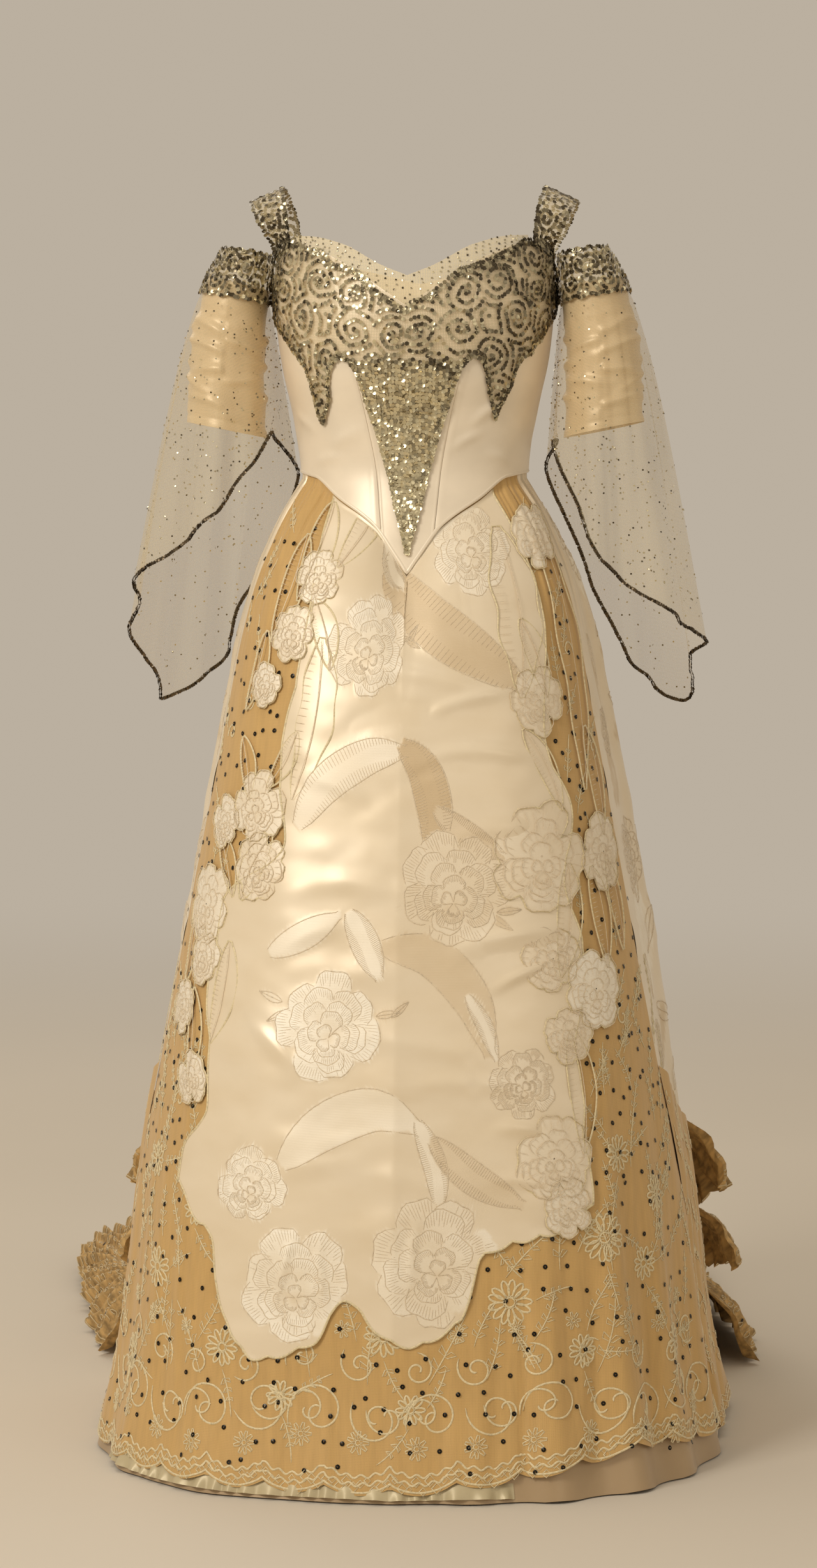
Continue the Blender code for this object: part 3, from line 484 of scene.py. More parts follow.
def sleeve_ring(height, turns):
    """Points and outward directions round the upper arm, on the right side of the body."""
    heights = column(SLEEVE_SECTIONS, "height")
    at = {name: smooth(height, heights, column(SLEEVE_SECTIONS, name)) for name in SleeveSection._fields[1:]}
    turn = np.radians(turns)
    out, forward = np.sin(turn), -np.cos(turn)
    x = at["centre_x"] + at["half_width"] * out
    y = at["centre_y"] + at["half_depth"] * forward
    z = height + SLEEVE_TILT * at["half_width"] * out
    points = np.stack([x, y, z + 0 * x], axis=-1)
    normal = np.stack([out / at["half_width"], forward / at["half_depth"], 0 * x], axis=-1)
    return points, normal / np.linalg.norm(normal, axis=-1, keepdims=True)


def tier_lean(angle):
    """The direction that a tier of lace stands in: out from the hem at the sides, and up at the back."""
    low, high = skirt_angle(np.abs(angle) - 2), skirt_angle(np.abs(angle) + 2)
    along = np.stack(
        [by_angle(SKIRT_HEM, high, name) - by_angle(SKIRT_HEM, low, name) for name in ("x", "y")]
    )
    along /= np.linalg.norm(along, axis=0)
    trail = ease(np.abs(angle), TRAIN_FROM, TRAIN_FULL)
    out = mix(1.0, TIER_OUT_AT_BACK, trail)
    up = mix(TIER_UP_AT_SIDES, TIER_UP_AT_BACK, trail)
    lean = np.stack([along[1] * np.sign(angle) * out, -along[0] * out, up], axis=-1)
    return lean / np.linalg.norm(lean, axis=-1, keepdims=True)


# The visual model's own sizes, in metres. Where a cloth lies on another it is lifted by one of these.
PATTERN_ROWS = 200
STRAP_GRID = (90, 16)  # rows and columns of a cloth's points
SATIN_SLEEVE_GRID = (72, 100)
UNDERSKIRT_GRID = (30, 170)
FLOUNCE_GRID = (80, 60)
FLOUNCE_BACK_EDGE = 105  # the angle that the side flounce reaches round to
FLOUNCE_LIFT = 0.0058  # how far the flounce stands off the brocade back
NET_LIFT, BROCADE_LIFT, APPLIQUE_LIFT, THREAD_LIFT = 0.0001, 0.0018, 0.0026, 0.0003
BODICE_PER_DEGREE = 0.0024  # one degree round the bodice, as length of cloth

# Soft creases, listed one by one: the middle, the run's half length and half width, its turn from level and its
# depth.
Crease = namedtuple("Crease", "across height half_length half_width turn depth")
FRONT_CREASES = [
    Crease(0.030, 0.862, 0.120, 0.010, -8, 0.0026),
    Crease(0.085, 0.835, 0.070, 0.007, 14, 0.0022),
    Crease(-0.015, 0.818, 0.090, 0.012, 6, -0.0018),
    Crease(0.110, 0.780, 0.080, 0.008, -5, 0.0026),
    Crease(0.060, 0.764, 0.060, 0.006, 9, -0.0020),
    Crease(-0.090, 0.745, 0.060, 0.009, -16, 0.0016),
    Crease(0.120, 0.700, 0.065, 0.010, 4, 0.0022),
    Crease(-0.050, 0.640, 0.090, 0.012, -4, 0.0016),
    Crease(-0.105, 0.585, 0.060, 0.010, 20, 0.0024),
    Crease(0.125, 0.585, 0.075, 0.008, 9, 0.0030),
    Crease(0.105, 0.560, 0.060, 0.006, 17, -0.0024),
    Crease(0.140, 0.545, 0.050, 0.006, 22, 0.0026),
    Crease(-0.060, 0.548, 0.080, 0.012, -7, 0.0014),
    Crease(0.040, 0.470, 0.110, 0.010, -10, 0.0016),
    Crease(0.080, 0.432, 0.080, 0.009, -3, 0.0020),
    Crease(0.135, 0.385, 0.035, 0.007, -6, 0.0024),
    Crease(-0.010, 0.400, 0.120, 0.014, 5, -0.0014),
    Crease(-0.140, 0.470, 0.050, 0.009, -38, 0.0020),
    Crease(0.020, 0.330, 0.090, 0.012, -12, 0.0016),
    Crease(-0.085, 0.345, 0.070, 0.010, 8, 0.0012),
    Crease(0.140, 0.330, 0.050, 0.006, -8, 0.0018),
    Crease(-0.120, 0.235, 0.050, 0.005, 78, 0.0020),
    Crease(-0.078, 0.225, 0.060, 0.005, 98, 0.0016),
    Crease(0.020, 0.255, 0.050, 0.006, 84, 0.0016),
]
BODICE_CREASES = [
    Crease(0.095, 1.150, 0.034, 0.006, 32, 0.0014),
    Crease(0.070, 1.118, 0.030, 0.005, 24, 0.0010),
    Crease(0.050, 1.170, 0.028, 0.005, 74, 0.0010),
    Crease(-0.080, 1.120, 0.040, 0.007, 22, 0.0012),
    Crease(-0.110, 1.098, 0.034, 0.005, 8, 0.0012),
    Crease(0.120, 1.100, 0.030, 0.005, -14, 0.0010),
    Crease(-0.150, 1.140, 0.034, 0.006, -20, 0.0012),
    Crease(0.260, 1.120, 0.044, 0.006, 10, 0.0012),
    Crease(-0.300, 1.135, 0.040, 0.006, -12, 0.0012),
    Crease(0.360, 1.160, 0.040, 0.006, 16, 0.0010),
    Crease(-0.380, 1.110, 0.044, 0.006, 6, 0.0012),
]

# The woven roses, scarves and leaves of the brocade front, drawn for this gown.
Rose = namedtuple("Rose", "across height radius turn shade")
FRONT_ROSES = [
    Rose(-0.052, 0.893, 0.056, 0.3, 0.75),
    Rose(0.102, 1.000, 0.050, 1.9, 0.60),
    Rose(0.066, 0.636, 0.062, 0.9, 0.20),
    Rose(-0.078, 0.492, 0.058, 2.4, 1.00),
    Rose(0.140, 0.434, 0.038, 1.2, 0.30),
    Rose(0.047, 0.250, 0.068, 2.0, 0.55),
    Rose(-0.105, 0.222, 0.062, 0.1, 0.85),
    Rose(-0.160, 0.322, 0.040, 1.5, 1.00),
]
Scarf = namedtuple("Scarf", "points width shade ribbed")
FRONT_SCARVES = [
    Scarf(
        [(-0.030, 1.010), (-0.020, 0.965), (0.035, 0.925), (0.100, 0.885), (0.160, 0.845)], 0.062, -0.55, 1
    ),
    Scarf([(-0.045, 1.012), (-0.030, 0.975), (-0.008, 0.955)], 0.026, 0.50, 1),
    Scarf([(-0.125, 0.700), (-0.095, 0.745), (-0.045, 0.775), (0.010, 0.782)], 0.044, 0.50, 1),
    Scarf([(0.000, 0.790), (0.030, 0.762), (0.045, 0.715), (0.040, 0.665)], 0.046, -0.80, 1),
    Scarf([(0.045, 0.720), (0.085, 0.690), (0.125, 0.668)], 0.030, -0.35, 1),
    Scarf([(-0.150, 0.565), (-0.110, 0.585), (-0.070, 0.608)], 0.030, 0.55, 0),
    Scarf([(-0.060, 0.612), (-0.040, 0.580), (-0.020, 0.540)], 0.034, 0.70, 1),
    Scarf([(-0.020, 0.575), (0.040, 0.565), (0.085, 0.520), (0.105, 0.460)], 0.046, -0.40, 0),
    Scarf([(0.080, 0.525), (0.100, 0.490), (0.112, 0.455)], 0.018, 0.60, 1),
    Scarf([(-0.125, 0.345), (-0.080, 0.385), (-0.020, 0.405), (0.030, 0.385)], 0.050, 0.55, 0),
    Scarf([(0.025, 0.395), (0.045, 0.345), (0.050, 0.300)], 0.026, 0.60, 1),
    Scarf([(0.040, 0.375), (0.085, 0.335), (0.140, 0.305)], 0.034, -0.20, 1),
]
Leaf = namedtuple("Leaf", "across height length width turn shade")
FRONT_LEAVES = [
    Leaf(0.000, 0.898, 0.026, 0.007, 20, -0.60),
    Leaf(0.016, 0.905, 0.026, 0.007, 52, -0.60),
    Leaf(0.016, 0.895, 0.024, 0.006, -20, -0.60),
    Leaf(-0.010, 0.505, 0.028, 0.008, 10, -0.40),
    Leaf(0.004, 0.510, 0.026, 0.007, 40, -0.40),
    Leaf(-0.145, 0.520, 0.030, 0.009, 160, 0.40),
    Leaf(-0.135, 0.500, 0.028, 0.008, 205, 0.40),
    Leaf(0.118, 0.600, 0.030, 0.009, -35, -0.40),
    Leaf(0.128, 0.612, 0.028, 0.008, 5, -0.40),
]
# Cut-out roses and leaves laid on the net beside the front, and low on its right side.
APPLIQUE_LEAVES = [
    Leaf(0.146, 0.930, 0.185, 0.062, -86, -0.25),
    Leaf(0.222, 0.880, 0.290, 0.046, -82, 0.40),
    Leaf(0.176, 0.760, 0.100, 0.026, -62, 0.75),
    Leaf(0.250, 0.600, 0.110, 0.034, -80, 0.55),
    Leaf(-0.122, 0.815, 0.175, 0.044, -97, 0.15),
    Leaf(-0.084, 1.025, 0.105, 0.036, -113, 0.45),
    Leaf(-0.140, 0.995, 0.110, 0.038, -100, 0.70),
    Leaf(-0.175, 0.655, 0.080, 0.032, 62, 0.85),
    Leaf(-0.205, 0.760, 0.070, 0.026, -70, 0.60),
    Leaf(-0.262, 0.470, 0.100, 0.030, -86, 0.50),
    Leaf(-0.168, 0.955, 0.120, 0.036, -104, 0.55),
    Leaf(-0.112, 0.905, 0.080, 0.030, -70, 0.30),
    Leaf(-0.205, 0.865, 0.090, 0.026, -108, 0.35),
    Leaf(-0.150, 0.770, 0.070, 0.024, -120, 0.65),
    Leaf(-0.225, 0.655, 0.075, 0.026, -62, 0.20),
    Leaf(-0.215, 0.520, 0.110, 0.034, -100, 0.75),
    Leaf(-0.290, 0.560, 0.080, 0.024, -96, 0.45),
    Leaf(0.196, 0.600, 0.120, 0.036, -98, -0.30),
    Leaf(0.205, 0.420, 0.130, 0.036, -84, 0.20),
    Leaf(0.172, 0.880, 0.090, 0.030, -70, 0.55),
    Leaf(0.262, 0.745, 0.120, 0.032, -80, -0.20),
    Leaf(0.285, 0.610, 0.100, 0.030, -76, 0.35),
]
APPLIQUES = [
    Rose(0.196, 1.012, 0.036, 0.2, 0.70),
    Rose(0.176, 0.835, 0.038, 0.4, 0.40),
    Rose(0.168, 0.668, 0.060, 1.0, 0.25),
    Rose(0.268, 0.668, 0.042, 2.7, 0.50),
    Rose(0.178, 0.560, 0.036, 2.9, 0.35),
    Rose(0.236, 0.525, 0.044, 0.8, 1.00),
    Rose(0.196, 0.480, 0.030, 1.8, 0.45),
    Rose(0.174, 0.352, 0.046, 0.9, 0.45),
    Rose(0.190, 0.300, 0.030, 2.1, 0.80),
    Rose(-0.126, 0.965, 0.030, 0.4, 0.80),
    Rose(-0.150, 0.905, 0.030, 1.7, 0.60),
    Rose(-0.186, 0.850, 0.024, 0.2, 0.90),
    Rose(-0.182, 0.720, 0.040, 2.0, 0.60),
    Rose(-0.236, 0.700, 0.028, 1.0, 0.95),
    Rose(-0.170, 0.655, 0.036, 2.5, 0.45),
    Rose(-0.258, 0.610, 0.046, 0.7, 0.85),
    Rose(-0.252, 0.555, 0.032, 1.9, 0.70),
    Rose(-0.292, 0.500, 0.030, 0.3, 0.95),
    Rose(-0.255, 0.425, 0.030, 2.8, 0.90),
]
# The brocade side backs and train repeat one spray of roses and leaves at this pitch.
BACK_REPEAT_ACROSS, BACK_REPEAT_DOWN = 0.34, 0.46


def linear(code):
    """A colour's sRGB hex code as linear red, green and blue."""
    parts = [int(code[at : at + 2], 16) / 255 for at in (0, 2, 4)]
    return tuple(part / 12.92 if part <= 0.04045 else ((part + 0.055) / 1.055) ** 2.4 for part in parts)


def colour_setting(name, description, code):
    return FloatVectorProperty(
        name=name, description=description, subtype="COLOR", min=0, max=1, default=linear(code)
    )


def length_setting(name, description, metres):
    return FloatProperty(name=name, description=description, unit="LENGTH", min=0, default=metres)


class GownCloth(bpy.types.PropertyGroup):
    """Colours and weave sizes of the gown's cloths."""

    satin: colour_setting("Bodice satin", "Peach ivory silk satin of the bodice", "F8EAD2")
    ground: colour_setting("Brocade ground", "Ivory silk satin between the roses", "F0E1C6")
    light_weave: colour_setting("Light weave", "Palest petals of the brocade", "FFF8E8")
    dark_weave: colour_setting("Dark weave", "Turned-back scarves of the brocade", "D3BA92")
    sleeve_satin: colour_setting("Sleeve satin", "Apricot silk satin of the sleeves", "EED5AB")
    net: colour_setting("Net over satin", "Ochre silk net on its satin", "D3AE6E")
    thread: colour_setting("Embroidery", "Cream silk of the scrolls and flowers", "EAD9AE")
    sheer: colour_setting("Sheer net", "Champagne net of the sleeves", "D8C8A0")
    lace: colour_setting("Train lace", "Aged tan lace of the train's tiers", "B2925E")
    hem_satin: colour_setting("Hem satin", "Peach satin of the underskirt's hem", "B89E7A")
    weave: length_setting("Satin weave", "Spacing of the satin's fine ribs", 0.0011)
    mesh: length_setting("Net mesh", "Spacing of the net's holes", 0.0016)


class GownTrim(bpy.types.PropertyGroup):
    """Sizes and colours of the sequins, spangles, braid and threads."""

    sequin: length_setting("Black sequin", "Across one black sequin on the net", 0.0054)
    sequin_spacing: length_setting("Sequin spacing", "Between black sequins at the hem", 0.034)
    paillette: length_setting("Paillette", "Across one bronze paillette on the lace", 0.0052)
    paillette_spacing: length_setting("Paillette spacing", "Along a row of paillettes", 0.0034)
    spangle: length_setting("Spangle", "Across one spangle on the sleeves", 0.0024)
    spangle_spacing: length_setting("Spangle spacing", "Between spangles on the sleeves", 0.020)
    thread: length_setting("Thread", "Width of an embroidered line", 0.0017)
    seed: IntProperty(name="Seed", description="Fixes every uneven place", default=1898)
    black: colour_setting("Sequin black", "Faceted jet-black sequins", "2A2723")
    # These two colours are the ends of each paillette's tarnish; on the bodice's front and back lace they also serve
    # as painted light and painted shade.
    bronze: colour_setting("Paillette bronze", "Tarnished gold-bronze paillettes", "DCD0AC")
    dull: colour_setting("Paillette dark", "Darkest tarnish on the paillettes", "5A5140")
    braid: colour_setting("Braid", "Bronze sequin braid on the sleeves' wired hem", "6E604C")


AIR_STRENGTH = 0.85


class GownStage(bpy.types.PropertyGroup):
    """The plain floor, the light and the camera."""

    floor: colour_setting("Floor", "Pale warm grey floor", "D6CDBE")
    backdrop: colour_setting("Backdrop", "Warm grey round the stage", "C9BDAC")
    lens: FloatProperty(name="Lens", description="Camera lens in millimetres", default=91.6, min=10)
    distance: length_setting("Camera distance", "From the gown's middle to the camera", 4.5)
    turn: FloatProperty(
        name="Camera turn",
        description="How far right of the front the camera stands",
        subtype="ANGLE",
        default=math.radians(4),
    )


def uneven(across, height, scale_across, scale_height, seed):
    """Soft noise from -1 to 1 over the cloth, from a seeded grid of values."""
    values = np.random.default_rng(seed).uniform(-1, 1, (64, 64))
    u, v = np.asarray(across) / scale_across + 31.3, np.asarray(height) / scale_height + 17.7
    i, j = np.floor(u).astype(int), np.floor(v).astype(int)
    s, t = u - i, v - j
    s, t = s * s * (3 - 2 * s), t * t * (3 - 2 * t)
    at = lambda di, dj: values[(i + di) % 64, (j + dj) % 64]
    return mix(mix(at(0, 0), at(1, 0), s), mix(at(0, 1), at(1, 1), s), t)


def crease_relief(creases, across, height):
    """How far the listed creases lift the cloth."""
    relief = np.zeros(np.shape(across))
    for crease in creases:
        turn = math.radians(crease.turn)
        along = (across - crease.across) * math.cos(turn) + (height - crease.height) * math.sin(turn)
        off = -(across - crease.across) * math.sin(turn) + (height - crease.height) * math.cos(turn)
        off = off + 0.12 * along**2 / crease.half_length
        fade = np.clip(1 - (along / crease.half_length) ** 2, 0, 1) ** 2
        relief += crease.depth * np.exp(-((off / crease.half_width) ** 2)) * fade
    return relief


def lengths_round(point_at, downs, angles):
    """How much cloth lies between the centre front and each angle, for each share of the way down."""
    points = point_at(angles[None, :] + 0 * downs[:, None], downs[:, None] + 0 * angles[None, :])
    steps = np.linalg.norm(np.diff(points, axis=1), axis=2)
    lengths = np.concatenate([np.zeros((len(downs), 1)), np.cumsum(steps, axis=1)], axis=1)
    centre = np.argmin(np.abs(angles))
    return lengths - lengths[:, centre : centre + 1]


ANGLES = np.linspace(-110, 110, 221)
DOWNS = np.linspace(0, 1, PATTERN_ROWS)
LENGTHS = lengths_round(skirt_smooth_point, DOWNS, ANGLES)
REACH = LENGTHS[:, -1]
ANGLES_BY_SHARE = np.array(
    [np.interp(np.linspace(-1, 1, 201) * reach, lengths, ANGLES) for reach, lengths in zip(REACH, LENGTHS)]
)


def front_angle(across, down):
    """The angle that lies this much cloth from the centre front."""
    row = np.clip(down, 0, 1) * (PATTERN_ROWS - 1)
    low = np.clip(np.floor(row).astype(int), 0, PATTERN_ROWS - 2)
    share = row - low
    at = np.clip(across / np.interp(down, DOWNS, REACH), -1, 1) * 100 + 100
    col = np.clip(np.floor(at).astype(int), 0, 199)
    part = at - col
    first = mix(ANGLES_BY_SHARE[low, col], ANGLES_BY_SHARE[low, col + 1], part)
    second = mix(ANGLES_BY_SHARE[low + 1, col], ANGLES_BY_SHARE[low + 1, col + 1], part)
    return mix(first, second, share)


def front_length(angle, down):
    """The cloth from the centre front to each angle."""
    row = np.clip(down, 0, 1) * (PATTERN_ROWS - 1)
    low = np.clip(np.floor(row).astype(int), 0, PATTERN_ROWS - 2)
    at = np.clip(angle - ANGLES[0], 0, len(ANGLES) - 1.001)
    col = np.floor(at).astype(int)
    part = at - col
    first = mix(LENGTHS[low, col], LENGTHS[low, col + 1], part)
    second = mix(LENGTHS[low + 1, col], LENGTHS[low + 1, col + 1], part)
    return mix(first, second, row - low)


def front_place(across, height):
    """The skirt front's angle and share down, for a length of cloth from the centre and a height."""
    angle = np.zeros(np.shape(across))
    for _ in range(4):
        top = by_angle(WAIST_SEAM, np.minimum(np.abs(angle), 180), "height") - BELOW_BODICE
        down = np.clip(1 - height / top, 0, 1)
        angle = front_angle(across, down)
    return angle, down


def net_relief(angle, down):
    """The net's small gathers: many soft uprights, deeper towards the hem and at the waist."""
    across = front_length(angle, down)
    soft = uneven(across, down, 0.021, 0.55, 5) * 0.0016 + uneven(across, down, 0.009, 0.35, 6) * 0.0006
    gathers = np.abs(uneven(angle / 60, down, 0.045, 0.9, 7)) * 0.0040 * (1 - ease(down, 0.02, 0.22))
    pleats = np.abs(uneven(across, down, 0.034, 0.60, 15)) ** 0.7 * ease(down, 0.70, 0.99)
    pleats *= mix(0.0035, 0.0095, ease(angle, 8, 30)) * ease(np.abs(angle), 84, 74)
    relief = soft * (0.5 + 1.1 * ease(down, 0.45, 0.95)) + gathers + pleats
    return np.maximum(relief, -0.0005) * (1 - 0.9 * under_panel(angle, down))


def under_panel(angle, down):
    """One well inside the brocade panel, falling to nothing at its edges."""
    left = smooth(down, column(FRONT_LEFT_EDGE, "down"), column(FRONT_LEFT_EDGE, "angle"))
    right = smooth(down, column(FRONT_RIGHT_EDGE, "down"), column(FRONT_RIGHT_EDGE, "angle"))
    lower = smooth(angle, column(FRONT_LOWER_EDGE, "angle"), column(FRONT_LOWER_EDGE, "down"))
    return ease(angle - left, -1.5, 1.5) * ease(right - angle, -1.5, 1.5) * ease(lower - down, -0.012, 0.012)


def satin_relief(angle, down, height):
    """The brocade front's creases and the soft unevenness of hanging silk."""
    across = front_length(angle, down)
    soft = uneven(across, height, 0.060, 0.030, 8) * 0.0011 + uneven(across, height, 0.028, 0.016, 9) * 0.0005
    return 1.5 * crease_relief(FRONT_CREASES, across, height) + soft


def net_point(angle, down):
    """A point of the dressed net and its outward direction."""
    normal = direction_out(skirt_point, angle, down)
    return skirt_point(angle, down) + normal * (NET_LIFT + net_relief(angle, down))[..., None], normal


def brocade_point(angle, down):
    """A point of the dressed brocade front, which stays outside the net, and its outward direction."""
    normal = direction_out(skirt_point, angle, down)
    base = skirt_point(angle, down)
    beside = 0.5 * (skirt_point(angle - 4, down) + skirt_point(angle + 4, down))
    hollow = np.maximum(0, np.sum((beside - base) * normal, axis=-1)) * 0.9 * np.exp(-((angle / 5) ** 2))
    relief = hollow + BROCADE_LIFT + 0.0008 + satin_relief(angle, down, base[..., 2])
    relief = np.maximum(relief, net_relief(angle, down) + BROCADE_LIFT)
    return base + normal * relief[..., None], normal


def on_net(coords, lift=THREAD_LIFT):
    angle, down = front_place(coords[:, 0], coords[:, 1])
    points, normals = net_point(angle, down)
    return points + normals * lift, normals


def on_brocade(coords, lift=THREAD_LIFT):
    angle, down = front_place(coords[:, 0], coords[:, 1])
    points, normals = brocade_point(angle, down)
    return points + normals * lift, normals


def on_bodice(coords, lift=0.0):
    """Points of the bodice, for a length round it and a height."""
    angle = coords[:, 0] / BODICE_PER_DEGREE
    normals = bodice_normal(angle, coords[:, 1])
    return bodice_point(angle, coords[:, 1]) + normals * lift, normals


def surface(name, points, faces, material, cloth=None, tone=None):
    """One mesh piece, with the cloth's lengths in metres as its UV map and an optional tone at each point."""
    points = np.asarray(points, float).reshape(-1, 3) - (0, 0, STRAP_CROWN_HEIGHT)
    faces = np.asarray(faces, np.int32)
    mesh = bpy.data.meshes.new(name)
    mesh.vertices.add(len(points))
    mesh.vertices.foreach_set("co", points.ravel())
    mesh.loops.add(faces.size)
    mesh.loops.foreach_set("vertex_index", faces.ravel())
    mesh.polygons.add(len(faces))
    mesh.polygons.foreach_set("loop_start", np.arange(len(faces), dtype=np.int32) * faces.shape[1])
    mesh.update(calc_edges=True)
    if cloth is not None:
        lengths = np.asarray(cloth, np.float32).reshape(-1, 2)[faces.ravel()]
        mesh.uv_layers.new(name="cloth").data.foreach_set("uv", lengths.ravel())
    if tone is not None:
        values = np.asarray(tone, np.float32).ravel()
        mesh.attributes.new("tone", "FLOAT", "POINT").data.foreach_set("value", values)
    mesh.shade_smooth()
    mesh.materials.append(material)
    piece = bpy.data.objects.new(name, mesh)
    bpy.context.scene.collection.objects.link(piece)
    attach(piece, "root")
    return piece


def grid_faces(rows, columns, around=False, start=0):
    """Faces of a grid whose rows go down and columns to the viewer's right."""
    row = np.arange(rows - 1)[:, None]
    col = np.arange(columns if around else columns - 1)[None, :]
    after = (col + 1) % columns
    corners = [
        row * columns + col, (row + 1) * columns + col, (row + 1) * columns + after, row * columns + after
    ]
    return np.stack(corners, axis=-1).reshape(-1, 4) + start


def thinned(lines, step=2):
    """The lines with fewer points, and with their ends."""
    return [np.concatenate([line[:-1:step], line[-1:]]) for line in lines]


def thread_mesh(lines, place, width, rise):
    """Points and faces of raised threads, which lie on a cloth along flat lines of lengths and heights."""
    sizes = np.array([len(line) for line in lines])
    flat = np.concatenate(lines)
    line_of = np.repeat(np.arange(len(lines)), sizes)
    first = np.concatenate([[0], np.cumsum(sizes)[:-1]])
    within = np.arange(len(flat)) - first[line_of]
    points, normals = place(flat)
    ahead = np.minimum(np.arange(len(flat)) + 1, len(flat) - 1)
    ahead = np.where(line_of[ahead] == line_of, ahead, np.arange(len(flat)))
    behind = np.where(within > 0, np.arange(len(flat)) - 1, np.arange(len(flat)))
    side = np.cross(normals, points[ahead] - points[behind])
    side /= np.maximum(np.linalg.norm(side, axis=1, keepdims=True), 1e-9)
    from_end = np.minimum(within, sizes[line_of] - 1 - within)
    half = (width / 2 * (0.35 + 0.65 * np.clip(from_end / 1.5, 0, 1)))[:, None]
    sections = np.stack([points - side * half, points + normals * rise, points + side * half], axis=1)
    start = np.nonzero(line_of[:-1] == line_of[1:])[0] * 3
    left = np.stack([start, start + 3, start + 4, start + 1], axis=-1)
    return sections.reshape(-1, 3), np.concatenate([left, left + 1]), flat


def disc_mesh(centres, normals, radius, tilt, rng, sides=6, cup=0.15):
    """Points and faces of many small cupped discs, each turned and tipped a little its own way."""
    count = len(centres)
    tipped = normals + rng.normal(0, tilt, (count, 3))
    tipped /= np.linalg.norm(tipped, axis=1, keepdims=True)
    helper = np.cross(tipped, rng.normal(0, 1, (count, 3)))
    helper /= np.linalg.norm(helper, axis=1, keepdims=True)
    other = np.cross(tipped, helper)
    radius = np.broadcast_to(radius, (count,))[:, None, None]
    turns = np.arange(sides) * 2 * math.pi / sides
    rim = helper[:, None] * np.cos(turns)[None, :, None] + other[:, None] * np.sin(turns)[None, :, None]
    rim = centres[:, None] + rim * radius + tipped[:, None] * radius * cup
    points = np.concatenate([centres[:, None], rim], axis=1)
    col = np.arange(sides)
    fan = np.stack([0 * col, 1 + col, 1 + (col + 1) % sides], axis=-1)
    faces = (fan[None] + (np.arange(count) * (sides + 1))[:, None, None]).reshape(-1, 3)
    return points.reshape(-1, 3), faces


def ring_mesh(centres, normals, radius, rng):
    """Sequins with a hole: rings of eight flat facets."""
    outer, _ = disc_mesh(centres, normals, radius, 0.10, rng, 8, 0.0)
    outer = outer.reshape(-1, 9, 3)
    centre, rim = outer[:, :1], outer[:, 1:]
    inner = mix(centre, rim, 0.27)
    rim = rim - normals[:, None] * radius * 0.12
    points = np.concatenate([inner, rim], axis=1)
    col = np.arange(8)
    ring = np.stack([col, 8 + col, 8 + (col + 1) % 8, (col + 1) % 8], axis=-1)
    faces = (ring[None] + (np.arange(len(centres)) * 16)[:, None, None]).reshape(-1, 4)
    return points.reshape(-1, 3), faces


def inside(outline, points):
    """Which points lie inside a closed outline."""
    x, y = points[:, 0], points[:, 1]
    found = np.zeros(len(points), bool)
    near = (
        (x > outline[:, 0].min()) & (x < outline[:, 0].max()) & (y > outline[:, 1].min()) & (y < outline[:, 1].max())
    )
    x, y = x[near][:, None], y[near][:, None]
    ax, ay = outline[:, 0][None], outline[:, 1][None]
    bx, by = np.roll(outline[:, 0], -1)[None], np.roll(outline[:, 1], -1)[None]
    crosses = (ay > y) != (by > y)
    at = (bx - ax) * (y - ay) / np.where(by == ay, 1e-12, by - ay) + ax
    found[near] = np.sum(crosses & (x < at), axis=1) % 2 == 1
    return found


def curve_through(points, count):
    """A smooth line through a few given points."""
    points = np.array(points, float)
    steps = np.linalg.norm(np.diff(points, axis=0), axis=1)
    stations = np.concatenate([[0], np.cumsum(steps)])
    at = np.linspace(0, stations[-1], count)
    slopes = np.gradient(points, stations, axis=0)
    i = np.clip(np.searchsorted(stations, at, side="right") - 1, 0, len(points) - 2)
    gap = (stations[i + 1] - stations[i])[:, None]
    t = ((at - stations[i]) / gap[:, 0])[:, None]
    start = (1 + 2 * t) * (1 - t) ** 2 * points[i] + t * (1 - t) ** 2 * gap * slopes[i]
    end = t * t * (3 - 2 * t) * points[i + 1] - t * t * (1 - t) * gap * slopes[i + 1]
    return start + end


def rose_petals(rose, rng):
    """Outlines of a rose's petals from the outermost in, each with its inner and outer reach."""
    petals = []
    rings = [
        (7, 1.0, 0.58, 0.34),
        (6, 0.80, 0.62, 0.26),
        (5, 0.60, 0.72, 0.16),
        (4, 0.42, 0.85, 0.08),
        (3, 0.25, 1.0, 0.02),
    ]
    for ring, (count, reach, spread, inner) in enumerate(rings):
        for petal in range(count):
            direction = rose.turn + 2 * math.pi * (petal + 0.45 * ring) / count + rng.uniform(-0.14, 0.14)
            out = rose.radius * reach * rng.uniform(0.90, 1.06)
            swing = np.linspace(-1, 1, 21)
            ruffle = 1 + 0.035 * np.cos(swing * rng.uniform(7, 10) + rng.uniform(0, 6))
            radius = rose.radius * inner + (out - rose.radius * inner) * (1 - np.abs(swing) ** 3.2) ** 0.5 * ruffle
            turn = direction + spread * rng.uniform(0.85, 1.1) * swing
            drop = 0.06 * ring * rose.radius
            outline = np.stack([np.cos(turn) * radius, np.sin(turn) * radius - drop], axis=-1)
            petals.append((outline + (rose.across, rose.height), (rose.across, rose.height - drop), out))
    return petals


def leaf_outline(leaf):
    turn = math.radians(leaf.turn)
    t = np.linspace(0, 1, 14)
    half = leaf.width / 2 * np.sin(math.pi * t**0.8) ** 0.9
    along = np.array([math.cos(turn), math.sin(turn)])
    off = np.array([-along[1], along[0]])
    middle = np.array([leaf.across, leaf.height]) + np.outer((t - 0.5) * leaf.length, along)
    return np.concatenate([middle + off * half[:, None], (middle - off * half[:, None])[::-1]]), middle


